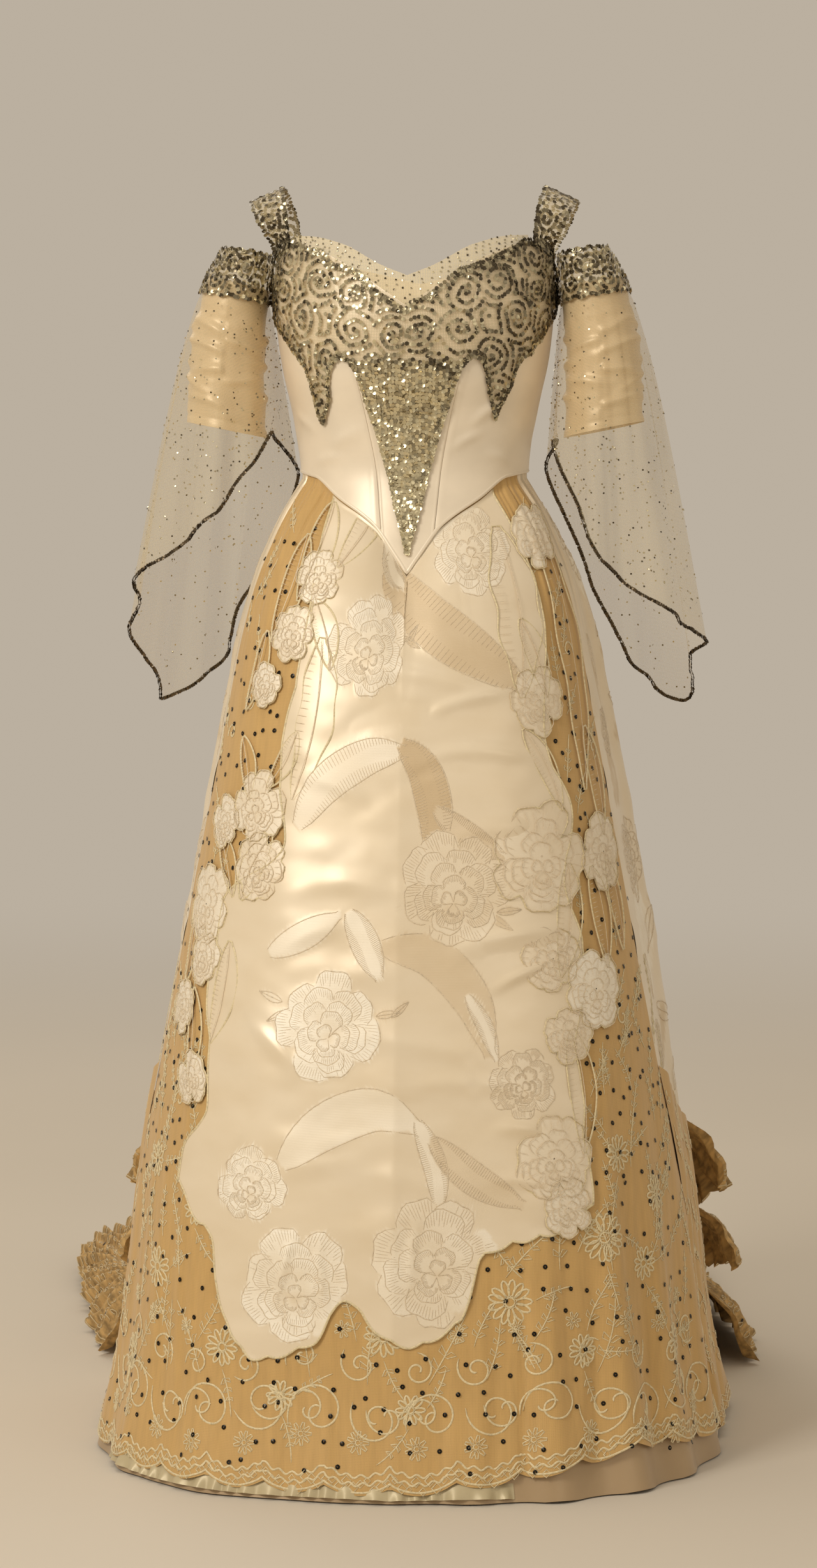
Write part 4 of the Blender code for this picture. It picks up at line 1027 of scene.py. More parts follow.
def scarf_outline(scarf):
    middle = curve_through(scarf.points, 30)
    along = np.gradient(middle, axis=0)
    off = np.stack([-along[:, 1], along[:, 0]], axis=-1) / np.linalg.norm(along, axis=1, keepdims=True)
    t = np.linspace(0, 1, 30)
    half = scarf.width / 2 * (0.30 + 0.70 * np.sin(math.pi * np.clip(t * 1.1 - 0.02, 0, 1)) ** 0.6)
    return middle + off * half[:, None], middle - off * half[:, None]


def visible_runs(line, covers):
    """The parts of a line that no later petal covers."""
    shown = np.ones(len(line), bool)
    for cover in covers:
        shown &= ~inside(cover, line)
    cuts = np.nonzero(np.diff(shown.astype(int)))[0] + 1
    return [run for run, seen in zip(np.split(line, cuts), np.split(shown, cuts)) if seen[0] and len(run) > 2]


def rose_lines(rose, rng):
    """A rose's petal edges, and the short ribs that shade each petal from its rim."""
    petals = rose_petals(rose, rng)
    edges, ribs = [], []
    for index, (outline, middle, _) in enumerate(petals):
        covers = [later[0] for later in petals[index + 1 :]]
        edges += visible_runs(outline, covers)
        for at in range(2, len(outline) - 2, 1):
            rim = outline[at]
            stroke = mix(rim, np.array(middle), np.linspace(0.03, rng.uniform(0.16, 0.34), 4)[:, None])
            ribs += visible_runs(stroke, covers)
    return edges, ribs


def motif_tones(coords, roses, scarves, leaves, rng_seed):
    """The brocade's weave at each point: 0 is the satin ground, above it paler and below it darker."""
    tone = np.zeros(len(coords))
    for scarf in scarves:
        left, right = scarf_outline(scarf)
        band = inside(np.concatenate([left, right[::-1]]), coords)
        tone[band] = scarf.shade
    for leaf in leaves:
        outline, _ = leaf_outline(leaf)
        tone[inside(outline, coords)] = leaf.shade
    for number, rose in enumerate(roses):
        for index, (outline, middle, out) in enumerate(
            rose_petals(rose, np.random.default_rng(rng_seed + number))
        ):
            found = inside(outline, coords)
            reach = np.linalg.norm(coords[found] - middle, axis=1) / out
            own = 0.30 * (index * 0.37 % 1) - 0.22
            tone[found] = rose.shade * (0.25 + 0.95 * reach**1.5) + own
    return tone


def add_node(tree, kind, links=None, values=None, **settings):
    """Adds a shader node with its settings, socket values and incoming links."""
    node = tree.nodes.new(kind)
    for name, value in settings.items():
        setattr(node, name, value)
    for socket, value in (values or {}).items():
        node.inputs[socket].default_value = value
    for socket, source in (links or {}).items():
        tree.links.new(source, node.inputs[socket])
    return node


def new_material(name, colour, roughness, **sockets):
    """A material whose shader has this colour and roughness, and the coordinates that its patterns use."""
    material = bpy.data.materials.new(name)
    material.use_nodes = True
    tree = material.node_tree
    shader = tree.nodes["Principled BSDF"]
    shader.inputs["Base Color"].default_value = (*colour, 1)
    shader.inputs["Roughness"].default_value = roughness
    for socket, value in sockets.items():
        shader.inputs[socket.replace("_", " ")].default_value = value
    material.diffuse_color = (*colour, 1)
    cloth = add_node(tree, "ShaderNodeUVMap", uv_map="cloth").outputs["UV"]
    return material, tree, shader, cloth


def stretched(tree, cloth, across, down):
    """The cloth's coordinates, scaled so that one unit is this much cloth across and down."""
    return add_node(
        tree, "ShaderNodeMapping", links={"Vector": cloth}, values={"Scale": (1 / across, 1 / down, 1)}
    ).outputs["Vector"]


def shades(tree, value, low, high, first=0.3, last=0.7):
    """Two colours mixed by a value, between two of its levels."""
    ramp = add_node(tree, "ShaderNodeValToRGB", links={"Fac": value})
    ramp.color_ramp.elements[0].position = first
    ramp.color_ramp.elements[0].color = (*low, 1)
    ramp.color_ramp.elements[1].position = last
    ramp.color_ramp.elements[1].color = (*high, 1)
    return ramp.outputs["Color"]


def darker(colour, share):
    return tuple(part * share for part in colour)


def bump(tree, shader, height, distance, strength=0.6, under=None):
    """Relief too fine for the mesh, in metres."""
    links = {"Height": height}
    if under is not None:
        links["Normal"] = under
    node = add_node(tree, "ShaderNodeBump", links=links, values={"Strength": strength, "Distance": distance})
    tree.links.new(node.outputs["Normal"], shader.inputs["Normal"])
    return node.outputs["Normal"]


def silk_satin(name, colour, cloth_sizes):
    """Woven silk satin: long floats give a soft wide gloss, and age mottles it a little.

    The ribs are drawn at the weave setting, coarser than real silk, so that they show.
    """
    material, tree, shader, cloth = new_material(name, colour, 0.36, Metallic=0.12)
    shader.inputs["Sheen Weight"].default_value = 0.15
    shader.inputs["Sheen Roughness"].default_value = 0.4
    blotches = add_node(
        tree, "ShaderNodeTexNoise", links={
            "Vector": stretched(tree, cloth, 0.07, 0.045)
        }, values={"Scale": 1.0, "Detail": 4.0}
    )
    tree.links.new(
        shades(tree, blotches.outputs["Fac"], darker(colour, 0.90), colour), shader.inputs["Base Color"]
    )
    ribs = add_node(
        tree,
        "ShaderNodeTexWave",
        links={"Vector": stretched(tree, cloth, 0.02, cloth_sizes.weave)},
        values={"Scale": 0.5, "Distortion": 1.2, "Detail": 1.0},
        bands_direction="Y",
    )
    bump(tree, shader, ribs.outputs["Fac"], 0.00006, 0.35)
    return material


def silk_brocade(name, cloth_sizes):
    """Silk brocade: a glossy satin ground, with roses whose weave is duller, and paler or darker than it."""
    ground = tuple(cloth_sizes.ground)
    material, tree, shader, cloth = new_material(name, ground, 0.36, Metallic=0.12)
    shader.inputs["Sheen Weight"].default_value = 0.12
    shader.inputs["Sheen Roughness"].default_value = 0.4
    tone = add_node(tree, "ShaderNodeAttribute", attribute_name="tone").outputs["Fac"]
    share = add_node(
        tree, "ShaderNodeMapRange", links={"Value": tone}, values={"From Min": -1.0, "From Max": 1.0}
    ).outputs["Result"]
    ramp = add_node(tree, "ShaderNodeValToRGB", links={"Fac": share})
    ramp.color_ramp.elements[0].color = (*cloth_sizes.dark_weave, 1)
    ramp.color_ramp.elements[1].color = (*cloth_sizes.light_weave, 1)
    middle = ramp.color_ramp.elements.new(0.5)
    middle.color = (*ground, 1)
    blotches = add_node(
        tree, "ShaderNodeTexNoise", links={
            "Vector": stretched(tree, cloth, 0.09, 0.05)
        }, values={"Scale": 1.0, "Detail": 5.0}
    )
    aged = shades(tree, blotches.outputs["Fac"], (0.90, 0.86, 0.78), (1, 1, 1))
    worn = add_node(
        tree, "ShaderNodeMix", links={
            6: ramp.outputs["Color"], 7: aged
        }, values={0: 0.6}, data_type="RGBA", blend_type="MULTIPLY"
    )
    tree.links.new(worn.outputs[2], shader.inputs["Base Color"])
    woven = add_node(tree, "ShaderNodeMath", links={0: tone}, operation="ABSOLUTE").outputs["Value"]
    dull = add_node(
        tree, "ShaderNodeMapRange", links={"Value": woven}, values={
            "From Max": 0.5, "To Min": 0.34, "To Max": 0.50
        }
    )
    tree.links.new(dull.outputs["Result"], shader.inputs["Roughness"])
    ribs = add_node(
        tree,
        "ShaderNodeTexWave",
        links={"Vector": stretched(tree, cloth, 0.02, cloth_sizes.weave * 1.6)},
        values={"Scale": 0.5, "Distortion": 1.5, "Detail": 1.0},
        bands_direction="Y",
    )
    raised = add_node(tree, "ShaderNodeMath", links={0: ribs.outputs["Fac"], 1: woven}, operation="MULTIPLY")
    bump(tree, shader, raised.outputs["Value"], 0.00018, 0.5)
    return material


def net_on_satin(name, cloth_sizes):
    """Ochre silk net lying on satin: the satin glows dully through it, and its small gathers streak it, in relief
    and in painted shade and painted light, darker in their hollows and paler on their ridges.
    """
    colour = tuple(cloth_sizes.net)
    material, tree, shader, cloth = new_material(name, colour, 0.62)
    shader.inputs["Sheen Weight"].default_value = 0.25
    gather_relief_and_shading = add_node(
        tree, "ShaderNodeTexNoise", links={
            "Vector": stretched(tree, cloth, 0.007, 0.05)
        }, values={"Scale": 1.0, "Detail": 4.0}
    )
    holes = add_node(
        tree,
        "ShaderNodeTexVoronoi",
        links={"Vector": stretched(tree, cloth, cloth_sizes.mesh, cloth_sizes.mesh)},
        values={"Scale": 1.0, "Randomness": 0.25},
        feature="DISTANCE_TO_EDGE",
    )
    # Painted shade and painted light: the net is darker in the hollows of its small gathers and paler on their
    # ridges, from the same noise as their bump.
    painted_gather_shading = shades(tree, gather_relief_and_shading.outputs["Fac"], darker(colour, 0.90), darker(colour, 1.06), 0.25, 0.75)
    mesh = shades(tree, holes.outputs["Distance"], (1, 1, 1), (0.86, 0.82, 0.76), 0.02, 0.20)
    netted = add_node(
        tree,
        "ShaderNodeMix",
        links={6: painted_gather_shading, 7: mesh},
        values={0: 1.0},
        data_type="RGBA",
        blend_type="MULTIPLY",
    )
    tree.links.new(netted.outputs[2], shader.inputs["Base Color"])
    bump(tree, shader, gather_relief_and_shading.outputs["Fac"], 0.0005, 0.4)
    return material


def sheer_net(name, colour, cloth_sizes, bare):
    """Silk net with nothing behind it: most of the light goes through its holes."""
    material, tree, shader, cloth = new_material(name, colour, 0.55)
    shader.inputs["Sheen Weight"].default_value = 0.2
    holes = add_node(
        tree,
        "ShaderNodeTexVoronoi",
        links={"Vector": stretched(tree, cloth, cloth_sizes.mesh, cloth_sizes.mesh)},
        values={"Scale": 1.0, "Randomness": 0.2},
        feature="DISTANCE_TO_EDGE",
    )
    thread = add_node(
        tree,
        "ShaderNodeMapRange",
        links={"Value": holes.outputs["Distance"]},
        values={"From Min": 0.05, "From Max": 0.22, "To Min": min(1.0, bare * 2.6), "To Max": bare * 0.55},
    )
    tree.links.new(thread.outputs["Result"], shader.inputs["Alpha"])
    return material


def embroidery_silk(name, colour):
    """Twisted silk thread, couched down: a soft gloss, with painted shade in small random specks for the shadowed
    turns of the thread.
    """
    material, tree, shader, _ = new_material(name, colour, 0.48)
    shader.inputs["Sheen Weight"].default_value = 0.2
    place = add_node(tree, "ShaderNodeTexCoord").outputs["Object"]
    # Painted shade: small random specks darker, for the shadowed turns of the thread.
    painted_turn_shade = add_node(
        tree, "ShaderNodeTexNoise", links={"Vector": place}, values={"Scale": 420.0, "Detail": 2.0}
    )
    tree.links.new(
        shades(tree, painted_turn_shade.outputs["Fac"], darker(colour, 0.72), colour, 0.3, 0.6),
        shader.inputs["Base Color"],
    )
    return material


def sequin_metal(name, bright, dull, roughness):
    """Cupped gelatine-on-metal sequins: each is tarnished its own way, so some glint and some are dark. On the
    bodice's front and back lace the tone also holds painted light and painted shade by where each sequin sits.
    """
    material, tree, shader, _ = new_material(name, bright, roughness, Metallic=0.80)
    tone = add_node(tree, "ShaderNodeAttribute", attribute_name="tone").outputs["Fac"]
    tree.links.new(shades(tree, tone, dull, bright, 0.15, 0.85), shader.inputs["Base Color"])
    return material


def old_lace(name, colour, cloth_sizes):
    """Machine lace on net: dense sprigs with thin net between, browned with age."""
    material, tree, shader, cloth = new_material(name, colour, 0.75)
    sprigs = add_node(
        tree, "ShaderNodeTexNoise", links={
            "Vector": stretched(tree, cloth, 0.011, 0.011)
        }, values={"Scale": 1.0, "Detail": 5.0}
    )
    tree.links.new(
        shades(tree, sprigs.outputs["Fac"], darker(colour, 0.62), darker(colour, 1.40), 0.36, 0.62),
        shader.inputs["Base Color"],
    )
    bump(tree, shader, sprigs.outputs["Fac"], 0.0012, 0.7)
    return material


def paper(name, colour, backdrop):
    """Seamless backdrop paper: matte, a little uneven, and far off it has the tone of the air behind it."""
    material, tree, shader, _ = new_material(name, colour, 0.9)
    place = add_node(tree, "ShaderNodeTexCoord").outputs["Object"]
    mottle = add_node(
        tree, "ShaderNodeTexNoise", links={"Vector": place}, values={"Scale": 1.3, "Detail": 2.0}
    )
    tree.links.new(
        shades(tree, mottle.outputs["Fac"], darker(colour, 0.97), colour), shader.inputs["Base Color"]
    )
    out = add_node(
        tree, "ShaderNodeVectorMath", links={0: place}, values={1: (0, 0, -1.4)}, operation="DISTANCE"
    )
    far = add_node(
        tree,
        "ShaderNodeMapRange",
        links={"Value": out.outputs["Value"]},
        values={"From Min": 1.0, "From Max": 7.0},
        interpolation_type="SMOOTHERSTEP",
    )
    air = add_node(tree, "ShaderNodeEmission", values={"Color": (*backdrop, 1), "Strength": AIR_STRENGTH})
    faded = add_node(
        tree,
        "ShaderNodeMixShader",
        links={0: far.outputs["Result"], 1: shader.outputs["BSDF"], 2: air.outputs["Emission"]},
    )
    tree.links.new(faded.outputs["Shader"], tree.nodes["Material Output"].inputs["Surface"])
    return material


def cloth_material(name):
    """The gown's materials by name, each made once."""
    if name in bpy.data.materials:
        return bpy.data.materials[name]
    cloth, trim = bpy.context.scene.gown_cloth, bpy.context.scene.gown_trim
    makers = {
        "peach silk satin": lambda: silk_satin("peach silk satin", tuple(cloth.satin), cloth),
        "apricot silk satin": lambda: silk_satin("apricot silk satin", tuple(cloth.sleeve_satin), cloth),
        "hem silk satin": lambda: silk_satin("hem silk satin", tuple(cloth.hem_satin), cloth),
        "rose silk brocade": lambda: silk_brocade("rose silk brocade", cloth),
        "silk net on satin": lambda: net_on_satin("silk net on satin", cloth),
        "sheer silk net": lambda: sheer_net("sheer silk net", tuple(cloth.sheer), cloth, 0.17),
        "neckline silk tulle": lambda: sheer_net("neckline silk tulle", tuple(cloth.thread), cloth, 0.50),
        "lace ground net": lambda: sheer_net("lace ground net", tuple(cloth.thread), cloth, 0.22),
        "cream embroidery silk": lambda: embroidery_silk("cream embroidery silk", tuple(cloth.thread)),
        "woven shade silk": lambda: embroidery_silk(
            "woven shade silk", mix(np.array(cloth.dark_weave), np.array(cloth.ground), 0.60)
        ),
        "black faceted sequin": lambda: sequin_metal(
            "black faceted sequin", tuple(trim.black), darker(tuple(trim.black), 0.5), 0.25
        ),
        "bronze paillette": lambda: sequin_metal(
            "bronze paillette", tuple(trim.bronze), tuple(trim.dull), 0.24
        ),
        "bronze sequin braid": lambda: sequin_metal(
            "bronze sequin braid", tuple(trim.braid), darker(tuple(trim.braid), 0.5), 0.34
        ),
        "aged machine lace": lambda: old_lace("aged machine lace", tuple(cloth.lace), cloth),
        "aged lace thread": lambda: embroidery_silk(
            "aged lace thread", mix(np.array(cloth.lace), np.array(cloth.thread), 0.6)
        ),
        "cream frill silk": lambda: silk_satin("cream frill silk", darker(tuple(cloth.thread), 0.72), cloth),
    }
    return makers[name]()


def join_meshes(parts):
    """Points and faces of several made meshes as one."""
    points, faces, count = [], [], 0
    for some_points, some_faces in parts:
        points.append(some_points)
        faces.append(some_faces + count)
        count += len(some_points)
    return np.concatenate(points), np.concatenate(faces)


def sewn_on(name, parts, material, tone=None):
    """A joined piece of many small things."""
    points, faces = join_meshes(parts)
    piece = surface(name, points, faces, material, tone=tone)
    return piece


class GOWN_OT_bodice(bpy.types.Operator):
    """Makes the satin bodice's five panels and the tulle in its neckline"""

    bl_idname = "gown.bodice"
    bl_label = "Bodice"

    def execute(self, context):
        satin = cloth_material("peach silk satin")
        panels = [
            ("bodice_front_centre", centre_seam(-1), centre_seam(1), (0.18, 0.35), 0.0310),
            ("bodice_front_left", fixed(-90), centre_seam(-1), (0.19, 0.31), 0.0400),
            ("bodice_front_right", centre_seam(1), fixed(90), (0.19, 0.31), 0.0400),
            ("bodice_back_right", fixed(90), fixed(180), (0.22, 0.25), 0.0450),
            ("bodice_back_left", fixed(180), fixed(270), (0.22, 0.25), 0.0450),
        ]
        rows, columns = 72, 54
        for name, left, right, flat, area in panels:
            share = np.linspace(0, 1, rows)[:, None]
            across = np.linspace(0, 1, columns + 1)[None, :]
            angle = mix(left(share) + 0.1, right(share) - 0.1, across)
            height = mix(satin_top(angle), waist_edge(angle), share)
            length = np.where(angle > 180, angle - 360, angle) * BODICE_PER_DEGREE
            normal = bodice_normal(angle, height)
            edge = np.minimum(across, 1 - across) * 0.153
            seam = -0.0006 * np.exp(-((edge / 0.0018) ** 2)) + 0.0004 * np.exp(
                -(((edge - 0.005) / 0.0025) ** 2)
            )
            relief = 1.9 * crease_relief(
                BODICE_CREASES, length, height
            ) + uneven(length, height, 0.05, 0.03, 11) * 0.0008
            relief = relief * ease(np.minimum(share, 1 - share) + 0 * across, 0.0, 0.08) + seam
            points = bodice_point(angle, height) + normal * relief[..., None]
            lengths = np.stack([length, height], axis=-1)
            piece = surface(name + "_cloth", points, grid_faces(rows, columns + 1), satin, cloth=lengths)
            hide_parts(name)
        angle = np.linspace(-58, 58, 141)[None, :]
        share = np.linspace(0, 1, 15)[:, None]
        height = mix(by_angle(TULLE_TOP, angle, "height"), satin_top(angle) - 0.004, share)
        points = bodice_point(angle, height) + bodice_normal(angle, height) * -0.0004
        lengths = np.stack([angle * BODICE_PER_DEGREE + 0 * share, height], axis=-1)
        tulle = surface(
            "neckline_tulle_cloth",
            points,
            grid_faces(15, 141),
            cloth_material("neckline silk tulle"),
            cloth=lengths,
        )
        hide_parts("neckline_tulle")
        place = on_grid(points, normals_of(points), 0.30, 0.045)
        rng = np.random.default_rng(context.scene.gown_trim.seed + 7)
        spots = np.stack(
            np.meshgrid(np.arange(0.004, 0.298, 0.0095), np.arange(0.004, 0.043, 0.0085)), axis=-1
        ).reshape(-1, 2)
        centres, normals = place(np.clip(spots + rng.normal(0, 0.0016, spots.shape), 0.001, 0.299), 0.0008)
        made = disc_mesh(centres, normals, 0.0013, 0.30, rng)
        tone = np.repeat(rng.uniform(0, 1, len(centres)), 7)
        sewn_on("tulle_spangles", [made], cloth_material("bronze paillette"), tone)
        degrees = np.linspace(-180, 180, 721)
        round_waist = np.stack([degrees * BODICE_PER_DEGREE, waist_edge(degrees)], axis=-1)
        piping = thread_mesh([round_waist], lambda coords: on_bodice(coords, -0.0004), 0.0042, 0.0016)[:2]
        sewn_on("waist_piping", [piping], satin)
        return {"FINISHED"}


def fixed(angle):
    """An edge at one angle all the way down."""
    return lambda down: np.full_like(down, float(angle))


def lace_region(coords):
    """Which points of the bodice lie on the sequin lace, a little inside its edges."""
    angle = coords[:, 0] / BODICE_PER_DEGREE
    top, bottom = satin_top(angle) - 0.003, scalloped_bottom(angle) + 0.002
    return (coords[:, 1] < top) & (coords[:, 1] > bottom)


def scalloped_bottom(angle):
    """The lace's lower edge with its small scallops."""
    return lace_bottom(angle) + 0.0022 * np.abs(np.sin(angle * math.pi / 6.0)) - 0.001


def row_along(line, spacing):
    """Evenly spaced points along a line."""
    steps = np.linalg.norm(np.diff(line, axis=0), axis=1)
    stations = np.concatenate([[0], np.cumsum(steps)])
    at = np.arange(0, stations[-1], spacing)
    return np.stack([np.interp(at, stations, line[:, 0]), np.interp(at, stations, line[:, 1])], axis=-1)


# Whorls of the sequin lace: the middle of each, its rows' spacing and the way it winds.
Whorl = namedtuple("Whorl", "across height spacing winding turn")
FRONT_WHORLS = [
    Whorl(0.052, 1.238, 0.0092, 1, 0.4),
    Whorl(0.030, 1.185, 0.0080, -1, 1.4),
    Whorl(0.086, 1.208, 0.0088, -1, 2.2),
    Whorl(0.105, 1.165, 0.0078, 1, 0.9),
    Whorl(0.118, 1.252, 0.0085, 1, 3.0),
    Whorl(0.090, 1.290, 0.0082, -1, 5.0),
    Whorl(0.150, 1.285, 0.0080, 1, 0.0),
    Whorl(0.168, 1.245, 0.0084, -1, 1.0),
    Whorl(0.200, 1.285, 0.0082, 1, 2.0),
    Whorl(0.012, 1.232, 0.0080, -1, 4.0),
    Whorl(0.140, 1.318, 0.0078, 1, 5.5),
    Whorl(0.055, 1.278, 0.0080, 1, 2.6),
]


def whorl_rows(whorls, region, spacing):
    """Rows of paillettes that wind round each whorl's middle, each point kept by the nearest whorl."""
    middles = np.array([(whorl.across, whorl.height) for whorl in whorls])
    rows = []
    for number, whorl in enumerate(whorls):
        turns = np.arange(0.6, 7.5 * 2 * math.pi, 0.05)
        radius = whorl.spacing * turns / (2 * math.pi)
        turn = whorl.winding * turns + whorl.turn
        line = middles[number] + np.stack([np.cos(turn) * radius, np.sin(turn) * radius], axis=-1)
        line = row_along(line, spacing)
        gaps = np.linalg.norm(line[:, None] - middles[None], axis=2)
        others = np.delete(gaps, number, axis=1)
        kept = gaps[:, number] < others.min(axis=1) - 0.0012 if others.size else np.ones(len(line), bool)
        rows.append(line[kept & region(line)])
    return np.concatenate(rows)


class GOWN_OT_sequin_lace(bpy.types.Operator):
    """Makes the sequin lace over the bodice, with its whorls and rows of bronze paillettes"""

    bl_idname = "gown.sequin_lace"
    bl_label = "Sequin lace"

    def execute(self, context):
        trim = context.scene.gown_trim
        rng = np.random.default_rng(trim.seed)
        ground = cloth_material("lace ground net")
        for name, start, end, columns, flat, area in (
            ("sequin_lace_front", -93, 93, 220, (0.46, 0.34), 0.0610),
            ("sequin_lace_back", 93.2, 266.8, 110, (0.44, 0.10), 0.0290),
        ):
            angle = np.linspace(start, end, columns)[None, :]
            share = np.linspace(0, 1, 44)[:, None]
            height = mix(satin_top(angle) - 0.001, scalloped_bottom(angle), share)
            length = np.where(angle > 180, angle - 360, angle) * BODICE_PER_DEGREE
            points = bodice_point(angle, height) + bodice_normal(angle, height) * 0.0022
            lengths = np.stack([length + 0 * share, height], axis=-1)
            piece = surface(name + "_net", points, grid_faces(44, columns), ground, cloth=lengths)
            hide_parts(name)
        spacing = trim.paillette_spacing
        mirrored = FRONT_WHORLS + [
            Whorl(-w.across, w.height, w.spacing, -w.winding, math.pi - w.turn)
            for w in FRONT_WHORLS
        ]
        low = lambda coords: lace_region(coords) & ~in_point(coords) & (
            np.abs(coords[:, 0]) < 94 * BODICE_PER_DEGREE
        )
        spots = [whorl_rows(mirrored, low, spacing)]
        for height in np.arange(0.992, 1.215, 0.0042):
            line = np.stack(
                [np.linspace(-0.09, 0.09, 80), height + 0.004 * np.abs(np.sin(np.linspace(-9, 9, 80)))],
                axis=-1,
            )
            line = row_along(line, spacing * 1.05)
            spots.append(line[in_point(line) & lace_region(line)])
        angles = np.linspace(-92, 92, 900)
        for gap in (0.0026, 0.0066):
            edge = np.stack([angles * BODICE_PER_DEGREE, satin_top(angles) - gap], axis=-1)
            spots.append(row_along(edge, spacing))
        for gap in (0.001, 0.0050):
            edge = np.stack([angles * BODICE_PER_DEGREE, scalloped_bottom(angles) + gap], axis=-1)
            spots.append(row_along(edge, spacing))
        spots = np.concatenate(spots)
        bent = [
            uneven(spots[:, 0], spots[:, 1], 0.017, 0.017, seed) * 0.0042 * ~in_point(spots)
            for seed in (91, 92)
        ]
        spots = spots + np.stack(bent, axis=-1) + rng.normal(0, 0.00035, spots.shape)
        centres, normals = on_bodice(spots, 0.0030)
        parts = [disc_mesh(centres, normals, trim.paillette / 2, 0.22, rng)]
        behind = []
        back_angles = np.linspace(93, 267, 900)
        back_region = lambda coords: (coords[:, 1] < satin_top(coords[:, 0] / BODICE_PER_DEGREE) - 0.003) & (
            coords[:, 1] > scalloped_bottom(coords[:, 0] / BODICE_PER_DEGREE)
        )
        back_whorls = [
            Whorl(across, 1.276 + 0.014 * math.sin(9 * across), 0.0084, 1 if number % 2 else -1, number * 1.1)
            for number, across in enumerate(np.arange(0.242, 0.630, 0.043))
        ]
        behind.append(whorl_rows(back_whorls, back_region, spacing))
        for edge_of, gap in ((satin_top, -0.0026), (scalloped_bottom, 0.001)):
            behind.append(
                row_along(
                    np.stack([back_angles * BODICE_PER_DEGREE, edge_of(back_angles) + gap], axis=-1), spacing
                ),
            )
        behind = np.concatenate(behind)
        centres, normals = on_bodice(behind, 0.0030)
        back = disc_mesh(centres, normals, trim.paillette / 2, 0.22, rng)
        for name, made in (("front_paillettes", parts[0]), ("back_paillettes", back)):
            # Painted light on the bodice's paillettes: besides each one's random tarnish, they are paler on the
            # viewer's left and darker towards the right, with a painted highlight on the centre point below the
            # bust.
            tarnish_and_painted_light = rng.beta(1.1, 1.1, len(made[0]) // 7) - 0.35 * ease(made[0][::7, 0], -0.03, 0.12) + 0.08
            tarnish_and_painted_light += 0.32 * ease(made[0][::7, 2], 1.20, 1.18) * ease(np.abs(made[0][::7, 0]), 0.06, 0.05)
            tone = np.repeat(np.clip(tarnish_and_painted_light, 0, 1), 7)
            sewn_on(name, [made], cloth_material("bronze paillette"), tone)
        return {"FINISHED"}


def in_point(coords):
    """Which points lie in the long centre point, below the bust."""
    return (coords[:, 1] < 1.205) & (np.abs(coords[:, 0]) < 0.062)


def strap_grid(side, rows, columns):
    """The shoulder strap's outer side, from its front foot over the shoulder to the back."""
    across = np.linspace(0, 1, columns)
    lift = UNDER_LACE + SEQUIN_LACE + STRAP_ROOM
    feet = []
    for foot in (STRAP_FOOT, STRAP_BACK_FOOT):
        angle = mix(foot[0], foot[1], across)
        for rise in (FOOT_OVERLAP, FOOT_RISE):
            height = satin_top(angle) + rise
            feet.append(bodice_point(angle, height) + bodice_normal(angle, height) * lift)
    knots = feet[:2]
    for section in STRAP_SECTIONS:
        inner = np.array([section.inner_x, section.back, section.inner_height])
        outer = np.array([section.outer_x, section.back, section.outer_height])
        knots.append(mix(inner, outer, across[:, None]))
    knots = np.array(knots + feet[:1:-1])
    along = np.linspace(0, len(knots) - 1, rows)
    stations = np.arange(len(knots), dtype=float)
    grid = np.zeros((rows, columns, 3))
    for col in range(columns):
        for axis in range(3):
            grid[:, col, axis] = smooth(along, stations, knots[:, col, axis])
    grid[..., 0] *= side
    if side > 0:
        grid = grid[:, ::-1]
    normal = normals_of(grid)
    return grid + normal * SEQUIN_LACE, normal


def on_grid(grid, normal, lengths_across, lengths_down):
    """A function that finds points on a grid from lengths across and down it."""
    rows, columns = grid.shape[:2]

    def place(coords, lift=0.0):
        col = np.clip(coords[:, 0] / lengths_across, 0, 0.9999) * (columns - 1)
        row = np.clip(coords[:, 1] / lengths_down, 0, 0.9999) * (rows - 1)
        i, j = np.floor(row).astype(int), np.floor(col).astype(int)
        s, t = (row - i)[:, None], (col - j)[:, None]
        found = [
            mix(mix(a[i, j], a[i, j + 1], t), mix(a[i + 1, j], a[i + 1, j + 1], t), s) for a in (grid, normal)
        ]
        return found[0] + found[1] * lift, found[1]

    return place


